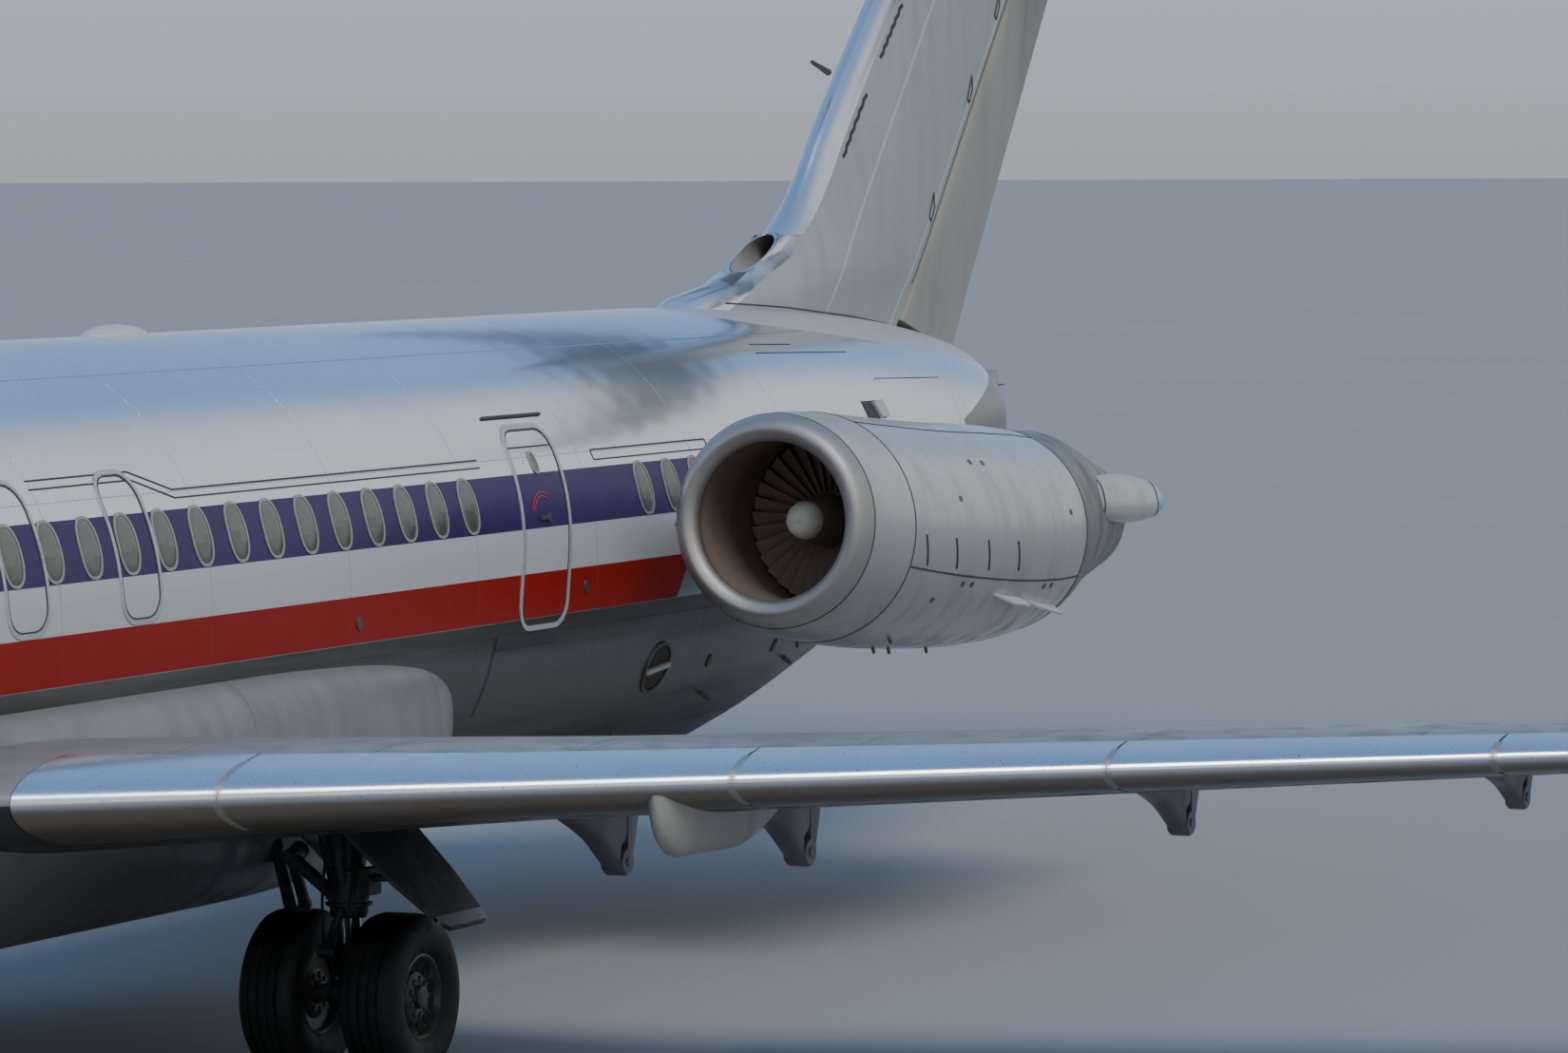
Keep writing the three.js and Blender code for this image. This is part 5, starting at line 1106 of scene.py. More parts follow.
piece("belly_fairing", [belly_fairing()], PAINT_BELLY, replaces=("wing_body_fairing",),
      sharp=40)

# Fin and rudder. columns: height, leading edge, hinge and trailing edge stations, thickness
FIN = np.array([
    (4.00, 33.48, 38.990, 40.706, 0.54), (4.70, 34.95, 39.640, 41.210, 0.56),
    (4.76, 35.50, 39.695, 41.256, 0.555),
    (4.92, 36.08, 39.845, 41.380, 0.54), (5.21, 36.93, 40.114, 41.605, 0.50),
    (5.60, 37.46, 40.475, 41.900, 0.47),
    (6.00, 37.83, 40.846, 42.206, 0.452), (8.80, 40.91, 43.445, 44.350, 0.33),
])


def fin_size(z):
    lead, thick = np.moveaxis(smooth(z, FIN[:, 0], FIN[:, [1, 4]]), -1, 0)
    hinge, trail = (np.interp(z, FIN[:, 0], FIN[:, c]) for c in (2, 3))
    return lead, hinge, trail, thick


def fin_half(z, s):
    """Half thickness: the section's form scaled to its fullest."""
    lead, _, trail, thick = fin_size(z)
    x = np.clip((s - lead) / (trail - lead), 0, 1)
    return thick * thickness_form(x, 1) / (2 * thickness_form(np.array(0.3), 1)) + EDGE_HALF * x


def fin_skin(z0, z1, share0, share1, rows=36, lift=0.0, first=None):
    """The fin from share0 to share1 of the way back to its cut before the rudder, or from a first station."""
    z = np.linspace(z0, z1, rows)[:, None]
    lead, hinge, trail, thick = fin_size(z)
    aft = hinge - fin_half(z, hinge) - GAP
    lead = lead if first is None else first + 0 * z
    t = share0 + (share1 - share0) * (np.linspace(0, 1, 30)[None, :] ** (2 if share0 == 0 else 1))
    s = lead + t * (aft - lead)
    half = fin_half(z, s) + lift
    port, star = at(s - lift, half, z + 0 * s), at(s - lift, -half, z + 0 * s)
    return solid(port[:, ::-1], star)


def rudder_skin():
    """Round nose on the hinge line, then straight sides to the trailing edge. The foot is a slanted line.

    A point's height lies a share of the way from the foot line to the top. The foot line depends on the
    station and the station on the height, so the height is found by repeating.
    """
    turn = np.radians(np.linspace(90, 270, 17))[None, :]
    share = np.linspace(0, 1, 14)[:, None]
    back = np.linspace(0, 1, 8)[None, 1:]

    def settled(station):
        z = 4.4 + 4.24 * share + 0 * station(4.4 + 4.24 * share)
        for _ in range(8):
            foot = 4.385 - 0.222 * (station(z) - 39.6)
            z = foot + (8.64 - foot) * share
        return z

    def on_nose(z):
        hinge = fin_size(z)[1]
        return hinge + fin_half(z, hinge) * np.cos(turn)

    def on_side(z):
        _, hinge, trail, _ = fin_size(z)
        return hinge + back * (trail - hinge)

    z = settled(on_nose)
    arc = at(on_nose(z), fin_half(z, fin_size(z)[1]) * np.sin(turn), z)
    z = settled(on_side)
    half = fin_half(z, on_side(z))
    port, star = at(on_side(z), half, z), at(on_side(z), -half, z)
    return solid(port[:, ::-1], arc, star)


# The ram-air intake in the fin's foot: heights of the cut, end of the hollow, then the mouth's oval and slope
MOUTH_LOW, MOUTH_HIGH, MOUTH_DEEP, MOUTH_HALF = 4.90, 5.185, 37.2, 0.127
MOUTH_S, MOUTH_Z, MOUTH_TALL, MOUTH_SLOPE = 36.52, 5.044, 0.150, 2.27


def mouth_cheek(side):
    """The fin's side beside the hollow: its own surface outside, a flat wall inside."""
    z = np.linspace(MOUTH_LOW, MOUTH_HIGH, 6)[:, None]
    ahead = MOUTH_S + 0.03 + MOUTH_SLOPE * (z - MOUTH_Z)
    s = ahead + (MOUTH_DEEP - ahead) * np.linspace(0, 1, 12)[None, :]
    outer = np.maximum(fin_half(z, s), MOUTH_HALF + 0.004)
    rows = [at(s, side * outer, z + 0 * s), at(s, side * MOUTH_HALF, z + 0 * s)[:, ::-1]]
    return grid(np.concatenate(rows, axis=1), around=True, caps=True)


fin_parts = [fin_skin(4.2, MOUTH_LOW, 0, 1, 8), fin_skin(MOUTH_LOW, MOUTH_HIGH, 0, 1, 4, 0.0, MOUTH_DEEP),
             fin_skin(MOUTH_HIGH, 8.8, 0, 1, 30), mouth_cheek(PORT), mouth_cheek(STARBOARD)]
piece("fin_skin", fin_parts, PAINT_FIN, replaces=("fin",), sharp=35)
piece("fin_leading_edge", [fin_skin(MOUTH_HIGH, 8.66, 0, 0.10, 30, 0.004)], FIN_METAL, sharp=35)
piece("rudder_skin", [rudder_skin()], PAINT_RUDDER, body="rudder", replaces=("rudder",),
      sharp=35)


def ram_intake(rows):
    """An oval tube whose mouth lies in a plane that slopes back: a skin of given rows round the oval."""
    turn = once_round(40)[None, :]
    back, grow, slope = np.array(rows).T[:, :, None]
    rise = (MOUTH_TALL + grow) * np.sin(turn)
    s = MOUTH_S + slope * MOUTH_SLOPE * rise + back
    return grid(at(s, (MOUTH_HALF + grow) * np.cos(turn), MOUTH_Z + rise), around=True, loop=True)


def mouth_flange():
    """The collar in the mouth's plane, from the oval out to |c|^n + |d|^n = 1: n is 6 low and 3 high."""
    turn = once_round(40)
    c, d = np.cos(turn), np.sin(turn)
    power = np.where(d < 0, 6.0, 3.0)
    square = (np.abs(c) ** power + np.abs(d) ** power) ** (-1 / power)
    inner = (MOUTH_HALF + 0.008) * c, (MOUTH_TALL + 0.008) * d
    outer = (MOUTH_HALF + 0.010) * c * square, (MOUTH_TALL + 0.012) * d * square
    rows = [(inner, 0.030), (outer, 0.036), (outer, 0.050), (inner, 0.050)]
    s, y, z = (np.stack(column) for column in zip(*[
        (MOUTH_S + MOUTH_SLOPE * rise + back, across, MOUTH_Z + rise) for (across, rise), back in rows]))
    return grid(at(s, y, z), around=True, loop=True)


# columns: distance aft of the mouth, growth of the oval, share of the mouth's slope
LIP_ROWS = [(0.06, 0.0, 1.0), (0.012, 0.002, 1.0), (0.0, 0.009, 1.0), (0.012, 0.017, 1.0), (0.06, 0.021, 1.0),
            (0.25, 0.018, 0.8), (0.26, 0.006, 0.8)]
TUBE_ROWS = [(0.02, -0.004, 1.0), (0.30, -0.006, 0.6), (0.66, -0.008, 0.0), (0.66, 0.0, 0.0),
             (0.30, 0.0, 0.6), (0.03, 0.0, 1.0)]
piece("ram_air_intake", [ram_intake(LIP_ROWS), mouth_flange()], FIN_METAL, sharp=60)
piece("ram_air_tube", [ram_intake(TUBE_ROWS)], PAINT_POD, sharp=60)


# Painted shade: a near-black disc closes the deep end of the intake's hollow, standing for the dark where the
# tube runs on.
def hollow_shade_disc():
    turn = once_round(32)
    share = np.array([0.0, 1.0, 1.0, 0.0])[:, None]
    s = MOUTH_DEEP - np.array([0.06, 0.06, 0.0, 0.0])[:, None]
    across, rise = share * 0.124 * np.cos(turn), share * (MOUTH_TALL - 0.004) * np.sin(turn)
    return grid(at(s + 0 * turn, across, MOUTH_Z + rise), around=True)


piece("ram_air_hollow_shade", [hollow_shade_disc()], HOLLOW_SHADE)


def fin_ribbon(path, side, width, lift=0.006, closed=False):
    def surface(s, z, side, high):
        return at(s, side * (fin_half(z, s) + high), z)

    return ribbon(path, side, width, lift, closed, surface)


# Hinge fittings, leading-edge joint, root fillet line and trailing seams on the fin
HINGE_LOOP = [(-0.44, -0.10), (-0.34, 0.10), (-0.31, -0.02), (-0.39, -0.14)]
FOOT_LINE = [(35.5, 4.665), (36.5, 4.612), (38.13, 4.495), (38.9, 4.42)]
marks = []
for _, side in SIDES:
    for z in (5.41, 6.42, 7.15):
        middle = (float(np.interp(z, FIN[:, 0], FIN[:, 2])), z)
        marks.append(fin_ribbon(np.array(HINGE_LOOP) + middle, side, 0.008, 0.008, True))
    for z0, z1 in ((5.82, 6.34), (6.65, 7.10)):
        z = np.linspace(z0, z1, 12)
        lead, hinge, *_ = fin_size(z)
        zigzag = lead + 0.12 * (hinge - lead) + 0.02 * (np.arange(12) % 2)
        marks.append(fin_ribbon(np.stack([zigzag, z], axis=1), side, 0.03, 0.005))
    z = np.linspace(4.75, 8.6, 24)
    hinge = fin_size(z)[1]
    marks.append(fin_ribbon(np.stack([hinge - fin_half(z, hinge) - 0.02, z], axis=1), side, 0.006, 0.004))
    marks.append(fin_ribbon(FOOT_LINE, side, 0.011, 0.004))
piece("fin_hinge_marks", marks, SEAM_DARK)
probe = [rod((38.12, 0, 6.52), (37.78, 0, 6.60), [(0, 0.03), (0.5, 0.022), (1, 0.018)], 12)]
probe.append(rod((41.6, 0, 3.81), (42.05, 0, 3.81), [(0, 0.012), (1, 0.006)], 8))
piece("fin_probe", probe, SCUFF)

# Tailplane, elevators and the bullet fairing
TAIL_HALF, ELEVATOR_IN, ELEVATOR_OUT, ELEVATOR_SHARE, END_GAP = 6.12, 0.47, 5.9, 0.3, 0.05
TAIL_LEAD, TAIL_TIP_LEAD = 40.47, 43.81
TAIL_CHORD, TAIL_TIP_CHORD = 3.45, 1.25
TAIL_Z, TAIL_DIHEDRAL, TAIL_ROUND_Y = 8.96, 0.02, 6.04


def tail_size(y):
    t = np.abs(y) / TAIL_HALF
    lead = TAIL_LEAD + (TAIL_TIP_LEAD - TAIL_LEAD) * t
    return lead, TAIL_CHORD + (TAIL_TIP_CHORD - TAIL_CHORD) * t, TAIL_Z + TAIL_DIHEDRAL * np.abs(y)


def tail_half(y, f):
    return thickness_form(f, 0.095) * tail_size(y)[1] + EDGE_HALF


def tail_panel(y0, y1, aft, rows=7, squash=None):
    """A length of the tailplane from its leading edge to a share of the chord, clear of the elevator."""
    y = np.linspace(y0, y1, rows)[:, None]
    lead, chord, z = tail_size(y)
    last = aft if aft == 1 else aft - (tail_half(y, aft) + GAP) / chord
    f = last * np.linspace(0, 1, 30)[None, :] ** 2
    half = tail_half(y, f) * (1 if squash is None else squash[:, None])
    s = lead + f * chord
    wide = y + 0 * f
    return solid(at(s, wide, z + half)[:, ::-1], at(s, wide, z - half))


def elevator_skin(side):
    """Round nose on the hinge line, then the section's rear."""
    y = side * np.linspace(ELEVATOR_IN, ELEVATOR_OUT, 7)[:, None]
    lead, chord, z = tail_size(y)
    f0 = 1 - ELEVATOR_SHARE
    hinge = lead + f0 * chord
    radius = tail_half(y, f0)
    turn = np.radians(np.linspace(90, 270, 15))[None, :]
    f = f0 + ELEVATOR_SHARE * np.linspace(0, 1, 9)[None, 1:]
    arc = at(hinge + radius * np.cos(turn), y + 0 * turn, z + radius * np.sin(turn))
    rear, half = lead + f * chord, tail_half(y, f)
    top, low = at(rear, y + 0 * f, z + half), at(rear, y + 0 * f, z - half)
    return solid(top[:, ::-1], arc, low)


hinge_share = 1 - ELEVATOR_SHARE
root_end, tip_start = ELEVATOR_IN - END_GAP, ELEVATOR_OUT + END_GAP
tail_parts = []
for _, side in SIDES:
    tail_parts.append(tail_panel(0, side * root_end, 1, 3))
    tail_parts.append(tail_panel(side * root_end, side * tip_start, hinge_share, 9))
    tail_parts.append(tail_panel(side * tip_start, side * TAIL_ROUND_Y, 1, 3))
    round_end = np.sqrt(1 - np.linspace(0, 0.96, 6) ** 2)
    tail_parts.append(tail_panel(side * TAIL_ROUND_Y, side * TAIL_HALF, 1, 6, round_end))
piece("tailplane_skin", tail_parts, PAINT_TAIL, replaces=("tailplane",), sharp=35)
for name, side in SIDES:
    piece(f"elevator_skin_{name}", [elevator_skin(side)], PAINT_TAIL, body=f"elevator_{name}",
          replaces=(f"elevator_{name}",), sharp=35)
# columns: station, half width, bottom and top heights
BULLET = np.array([
    (39.75, 0.015, 8.88, 8.91), (40.05, 0.13, 8.79, 9.02), (40.7, 0.235, 8.70, 9.14),
    (42.0, 0.27, 8.69, 9.20),
    (43.6, 0.24, 8.72, 9.18), (44.5, 0.13, 8.83, 9.08), (44.9, 0.025, 8.93, 8.99),
])


def bullet():
    s = eased(BULLET[0, 0], BULLET[-1, 0], 48)
    half, low, high = columns_at(s, BULLET)[..., None]
    turn = once_round(36)[None, :]
    return solid(at(s[:, None], half * np.cos(turn), (high + low) / 2 + (high - low) / 2 * np.sin(turn)))


piece("bullet_fairing", [bullet()], PAINT_TAIL, replaces=("fin_tip_fairing",), sharp=50)

# Engines, set nose-up on pylons beside the rear fuselage
ENGINE_Y, LIP_S, LIP_Z, PITCH = 2.9, 30.15, 3.246, math.radians(2.5)
LIP_END, COWL_END, NOZZLE_END = 0.15, 4.31, 6.01
SAG = 0.125


def engine_frame(side, sag=0.0):
    """Maps distance aft of the lip, distance outboard and height off the axis to model points.

    With a sag the outer cowl hangs lower than the duct: the drop is a half sine along the cowl, and it
    grows smoothly from nothing to full between two radii.
    """
    def place(aft, out, up):
        along = np.clip((aft - LIP_END) / (NOZZLE_END - LIP_END), 0, 1)
        t = np.clip((np.hypot(out, up) - 0.655) / 0.105, 0, 1)
        up = up - sag * t * t * (3 - 2 * t) * np.sin(math.pi * along) ** 0.8
        forward = -aft * math.cos(PITCH) - up * math.sin(PITCH)
        return at(LIP_S - forward, side * (ENGINE_Y + out),
                  LIP_Z - aft * math.sin(PITCH) + up * math.cos(PITCH))

    return place


# columns: distance aft of the lip, radius
COWL_OUT = np.array([
    (0.15, 0.764), (0.35, 0.800), (0.9, 0.834), (1.75, 0.844), (2.95, 0.842), (3.68, 0.826), (4.31, 0.782),
    (4.68, 0.724), (5.14, 0.636), (5.69, 0.520), (6.01, 0.462),
])
LIP_SHAPE = np.array([
    (0.15, 0.575), (0.09, 0.566), (0.045, 0.582), (0.014, 0.615), (0.0, 0.655), (0.014, 0.694),
    (0.045, 0.722),
    (0.09, 0.744), (0.15, 0.764),
])
DUCT_SHAPE = np.array([(0.15, 0.575), (0.64, 0.59), (1.05, 0.637), (1.5, 0.637)])


def cowl_radius(aft):
    return smooth(np.asarray(aft, float), COWL_OUT[:, 0], COWL_OUT[:, 1])


def cowl_point(aft, degrees, side, lift=0.0):
    """The outer cowl at a distance aft and an angle up from outboard."""
    turn = np.radians(degrees)
    radius = cowl_radius(aft) + lift
    return engine_frame(side, SAG)(aft, radius * np.cos(turn), radius * np.sin(turn))


def walled(outer, wall):
    """Closes a profile into a thin wall by going back along it at a smaller radius."""
    return np.concatenate([outer, (outer - (0, wall))[::-1]])


def shell(first, last, count):
    """The profile of a length of the outer cowl, as a thin wall."""
    aft = np.linspace(first, last, count)
    return walled(np.stack([aft, cowl_radius(aft)], axis=1), 0.03)


def ring_at(aft, wide, side):
    """A flat ring round the cowl."""
    rows = [(aft - wide / 2, -0.01), (aft - wide / 2, 0.003), (aft + wide / 2, 0.003),
            (aft + wide / 2, -0.01)]
    degrees = np.linspace(0, 360, 96, endpoint=False)
    points = [cowl_point(np.full(96, a), degrees, side, high) for a, high in rows]
    return grid(np.stack(points, axis=1), around=True, loop=True)


def strip(path, wide, side, lift=0.003):
    """A strip on the cowl along (distance aft, degrees), its width laid off in metres both ways."""
    def surface(aft, arc, side, high):
        return cowl_point(aft, arc / DEGREE_ARC, side, high)

    return ribbon(np.asarray(path, float) * (1, DEGREE_ARC), side, wide, lift, False, surface)


# Metres round the cowl for one degree, at its mean radius
DEGREE_ARC = math.radians(0.84)
BLADE_COUNT, BLADE_CHORD, BLADE_AFT = 34, 0.115, 1.16
BLADE_ROOT, BLADE_TIP = 0.20, 0.612


def fan_blades(place):
    """Blades from hub to tip: the chord turns from 35 to 62 degrees off the shaft as the radius grows."""
    r = np.linspace(BLADE_ROOT, BLADE_TIP, 7)[None, :, None, None]
    c = np.linspace(-0.5, 0.5, 5)[None, None, :, None]
    face = np.array([-1, 1])[None, None, None, :]
    start = (np.arange(BLADE_COUNT) * TAU / BLADE_COUNT)[:, None, None, None]
    twist = np.radians(35 + 27 * (r - BLADE_ROOT) / (BLADE_TIP - BLADE_ROOT))
    thick = 0.004 * (1 - 3 * c**2)
    aft = BLADE_AFT + c * BLADE_CHORD * np.cos(twist) - face * thick * np.sin(twist)
    round_shift = c * BLADE_CHORD * np.sin(twist) + face * thick * np.cos(twist)
    angle = start + round_shift / r
    blades = place(aft + 0 * angle, r * np.cos(angle), r * np.sin(angle))
    return [solid(p[:, :, 0], p[:, ::-1, 1]) for p in blades]


# columns: distance aft of the lip, half width, half height, distance out from the axis
STANG = np.array([
    (4.75, 0.055, 0.060, 0.56), (4.9, 0.085, 0.135, 0.585), (5.18, 0.10, 0.180, 0.595),
    (5.6, 0.108, 0.192, 0.575),
    (6.07, 0.098, 0.172, 0.55), (6.43, 0.075, 0.120, 0.538), (6.59, 0.045, 0.065, 0.532),
    (6.68, 0.012, 0.016, 0.53),
])
STANG_CANT = math.radians(15)


def stang(side, out, first=4.75, last=6.68, grow=0.0):
    """Side fairing of the reverser arms: a canted egg-shaped spindle, blunt ahead and pointed aft."""
    aft = np.linspace(first, last, 40 if grow == 0 else 4)
    half, tall, away = columns_at(aft, STANG)[..., None]
    turn = once_round(28)[None, :]
    across = out * away + (half + grow) * signed_power(np.cos(turn), 0.8)
    rise = (tall + grow) * signed_power(np.sin(turn), 0.8)
    level = across * math.cos(STANG_CANT) - rise * math.sin(STANG_CANT)
    upright = across * math.sin(STANG_CANT) + rise * math.cos(STANG_CANT)
    return solid(engine_frame(side)(aft[:, None] + 0 * turn, level, upright))


# columns: station, half thickness
PYLON = np.array([
    (31.3, 0.012), (31.5, 0.075), (32.0, 0.125), (33.2, 0.150), (35.0, 0.130), (36.2, 0.070), (36.9, 0.014),
])


def pylon(side):
    """A flat streamlined beam from inside the fuselage to inside the nacelle."""
    s = eased(PYLON[0, 0], PYLON[-1, 0], 40)
    half = smooth(s, PYLON[:, 0], PYLON[:, 1])
    middle = 3.08 - 0.03 * (s - 34.0)
    y = np.linspace(1.15, 2.25, 6)[:, None]
    top, low = (at(s, side * y, middle + sign * half) for sign in (1, -1))
    return solid(top, low[:, ::-1])


# Profiles turned about the engine's axis. columns: distance aft of the lip, radius
LIP_BACK = [(0.149, 0.75), (0.12, 0.72), (0.1, 0.66), (0.12, 0.61), (0.148, 0.585)]
NOZZLE_BACK = [(6.01, 0.44), (5.6, 0.452), (5.14, 0.47), (5.02, 0.51), (4.4, 0.56), (4.4, 0.58), (5.05, 0.55)]
TAIL_CONE = [(4.35, 0.0), (4.35, 0.30), (4.8, 0.27), (5.2, 0.20), (5.5, 0.10), (5.62, 0.03), (5.63, 0.0)]
MIXER = [(1.52, 0.0), (1.52, 0.632), (4.29, 0.64), (4.3, 0.555), (4.6, 0.53), (4.6, 0.30), (4.32, 0.28),
         (4.32, 0.0)]
FAN_HUB = [(1.06, 0.0), (1.06, 0.15), (1.09, 0.208), (1.16, 0.215), (1.24, 0.215), (1.25, 0.12),
           (1.515, 0.12),
           (1.515, 0.0)]
DOME = [(0.522, 0.0), (0.522, 0.012), (0.531, 0.016)]
DOME += [(0.53 + 0.17 * t, 0.138 * math.sqrt(1 - (1 - t) ** 2))
         for t in np.linspace(0, 1, 16)[2:]] + [(0.705, 0.0)]
SPINNER_SIDE = [(0.70, 0.0), (0.70, 0.120), (0.715, 0.122), (0.73, 0.136), (0.80, 0.155), (0.95, 0.185),
                (1.085, 0.204), (1.105, 0.204), (1.105, 0.0)]
# Small fittings on the cowl, as (distance aft, degrees up from outboard)
ACCESS_PLATES = ((1.80, -25), (1.98, -25), (3.5, -27), (3.66, -27), (1.4, -35), (2.2, 40), (2.45, 40),
                 (3.9, 12),
                 (1.65, 18))
COWL_DRAINS = ((1.76, -84), (2.05, -84), (2.78, -84), (1.45, -66), (0.9, -100))
# columns: distance aft and degrees of the strake's front foot, then of its rear foot
STRAKES = ((2.50, -30.0, 3.10, -33.0), (3.15, -33.5, 4.05, -42.0))


def strake(side, a0, d0, a1, d1):
    """A thin fin on the cowl with a raked front edge."""
    corners = [(a0, d0, -0.02), (a1, d1, -0.02), (a1 + 0.02, d1, 0.11), (a0 + 0.2, d0 - 1.0, 0.11)]
    aft, degrees, high = np.array(corners).T
    faces = [cowl_point(aft, degrees + thick, side, high) for thick in (-0.5, 0.5)]
    return grid(np.stack(faces), around=True, caps=True)


def cowl_drain(side, aft, degrees):
    """A short stub under the cowl, leaning aft."""
    ends = cowl_point(np.array([aft, aft + 0.02]), degrees, side, np.array([-0.02, 0.04])) / MODEL
    return rod(*[(HALF_LENGTH - x, y, z) for x, y, z in ends], [(0, 0.014), (0.8, 0.012), (1, 0.008)], 10)


for name, side in SIDES:
    place, sagging = engine_frame(side), engine_frame(side, SAG)
    lip = np.concatenate([smooth(np.linspace(0, 8, 49), np.arange(9), LIP_SHAPE), LIP_BACK])
    piece(f"inlet_lip_ring_{name}", [lathe(lip, 96, place, loop=True)], LIP_METAL,
          replaces=(f"inlet_lip_{name}",), sharp=50)
    piece(f"cowl_{name}", [lathe(shell(0.152, COWL_END, 44), 96, sagging, loop=True)], PAINT_COWL,
          replaces=(f"nacelle_{name}",), sharp=40)
    inner = walled(smooth(np.linspace(0, 3, 22), np.arange(4), DUCT_SHAPE) + (0, 0.012), 0.012)
    piece(f"inlet_duct_{name}", [lathe(inner, 72, place, loop=True)], DUCT, sharp=40)
    piece(f"reverser_doors_{name}", [lathe(shell(4.315, 5.69, 24), 96, sagging, loop=True)], BUCKET,
          replaces=(f"reverser_{name}",), sharp=40)
    piece(f"reverser_stangs_{name}", [stang(side, out) for out in (1, -1)], PAINT_COWL,
          sharp=40)
    aft = np.linspace(5.5, NOZZLE_END, 12)
    ribs = 0.004 * np.cos(np.linspace(0, 6 * math.pi, 12))
    nozzle = np.concatenate([np.stack([aft, cowl_radius(aft) - 0.014 + ribs], axis=1), NOZZLE_BACK])
    piece(f"nozzle_{name}", [lathe(nozzle, 96, place, loop=True)], NOZZLE_METAL, sharp=40)
    piece(f"engine_core_{name}", [lathe(MIXER, 48, place), lathe(TAIL_CONE, 40, place)], NOZZLE_METAL,
          replaces=(f"engine_{name}",))
    piece(f"fan_stage_{name}", fan_blades(place) + [lathe(FAN_HUB, 40, place)], FAN, body=f"fan_{name}",
          replaces=(f"fan_{name}",), sharp=40)
    for kind, profile, paint in (("spinner", DOME, SPINNER), ("spinner_cone", SPINNER_SIDE, SPINNER_CONE)):
        piece(f"{kind}_{name}", [lathe(profile, 40, place)], paint, body=f"fan_{name}",
              sharp=30)
    piece(f"pylon_skin_{name}", [pylon(side)], PAINT_COWL, replaces=(f"pylon_{name}",),
          sharp=40)
    seams = [ring_at(aft, wide, side) for aft, wide in ((0.155, 0.008), (0.76, 0.012), (COWL_END, 0.016))]
    seams.append(strip([(0.78, -18.8), (COWL_END, -25)], 0.014, side))
    seams.append(strip([(0.78, 66), (COWL_END, 66)], 0.010, side))
    seams += [strip([(a - 0.05, -2.0), (a + 0.05, -17.0)], 0.020, side, 0.005)
              for a in (1.0, 1.55, 2.18, 2.78)]
    seams += [stang(side, out, a, a + 0.015, 0.004) for out in (1, -1) for a in (4.86, 4.98, 6.30)]
    piece(f"cowl_seams_{name}", seams, SEAM_DARK)
    plates = [strip([(a, degrees), (a + 0.05, degrees)], 0.04, side, 0.004) for a, degrees in ACCESS_PLATES]
    piece(f"cowl_access_plates_{name}", plates, SCUFF)
    piece(f"cowl_strakes_{name}", [strake(side, *row) for row in STRAKES], AERIAL)
    piece(f"cowl_drains_{name}", [cowl_drain(side, *row) for row in COWL_DRAINS], SCUFF)

# Main landing gear
GEAR_S, GEAR_Y, AXLE_Z, TYRE_R, TYRE_W, SPACING = 24.32, 2.54, 0.53, 0.53, 0.40, 0.355
NOSE_S, NOSE_AXLE_Z, NOSE_R, NOSE_W, NOSE_SPACING = 2.25, 0.33, 0.33, 0.17, 0.18


def turned_at(s, y, z, outward=1):
    """A lathe's place for an axle: along goes to the side, across aft and up stays up."""
    def place(along, across, up):
        return at(s + across, y + outward * along, z + up)

    return place


# columns: share of the half width, share of the radius
TYRE_WALL = [(0.80, 0.53), (0.93, 0.60), (1.0, 0.72), (0.985, 0.82), (0.93, 0.90), (0.80, 0.962),
             (0.66, 0.985)]
WHEEL = [(0.10, 0.0), (0.10, 0.99), (0.98, 0.99), (1.0, 0.93), (0.93, 0.88), (0.72, 0.84), (0.66, 0.60),
         (0.80, 0.50),
         (0.84, 0.34), (0.80, 0.27), (1.02, 0.25), (1.06, 0.17), (1.0, 0.0)]
RIM_SHARE, HUB_SHARE = 0.53, 0.8


def tyre(s, y, z, radius, width):
    """A tyre turned about its axle line: bead, bulging side wall, shoulder, and a tread with four grooves."""
    tread = []
    for g in (0.48, 0.16):
        tread += [(g + 0.055, 0.996), (g + 0.03, 0.974), (g - 0.03, 0.974), (g - 0.055, 0.999)]
    outer = TYRE_WALL + tread
    profile = [(-a, r) for a, r in outer] + outer[::-1] + [(0.78, 0.515), (-0.78, 0.515)]
    return lathe(np.array(profile) * (width / 2, radius), 72, turned_at(s, y, z), loop=True)


def wheel_rods(s, y, z, radius, width, outward, ring, ends, turns, profile, count):
    """Short rods in a ring round the axle, between two shares of the hub's half width."""
    half, reach = width / 2 * HUB_SHARE, ring * radius * RIM_SHARE
    rods = []
    for turn in turns:
        a, b = s + reach * math.cos(turn), z + reach * math.sin(turn)
        rods.append(rod(*[(a, y + outward * half * end, b) for end in ends], profile, count))
    return rods


def hub(s, y, z, radius, width, outward):
    """A wheel: rim flange, dished web and a hub cap with a ring of bolts."""
    profile = np.array(WHEEL) * (width / 2 * HUB_SHARE, radius * RIM_SHARE)
    bolts = 9 if radius > 0.4 else 8
    size = radius / 0.56
    bolt = [(0, 0.028 * size), (0.7, 0.028 * size), (1, 0.018 * size)]
    parts = [lathe(profile, 48, turned_at(s, y, z, outward))]
    return parts + wheel_rods(s, y, z, radius, width, outward, 0.40, (0.70, 0.90), once_round(bolts), bolt, 6)


def hub_hole_shade(s, y, z, radius, width, outward):
    """Cooling holes round the wheel's web, as near-black rods: painted shade inside the holes."""
    size = 0.050 * radius * RIM_SHARE / 0.3
    turns = once_round(12) + TAU / 24
    return wheel_rods(s, y, z, radius, width, outward, 0.72, (0.5, 0.735), turns, size, 10)


COLLAR = [(0, 0.9), (0.03, 1.0), (0.10, 1.0), (0.12, 0.86), (0.88, 0.86), (0.90, 1.0), (0.97, 1.0), (1, 0.9)]


def collared(start, end, radius, count=20):
    return rod(start, end, [(t, r * radius) for t, r in COLLAR], count)


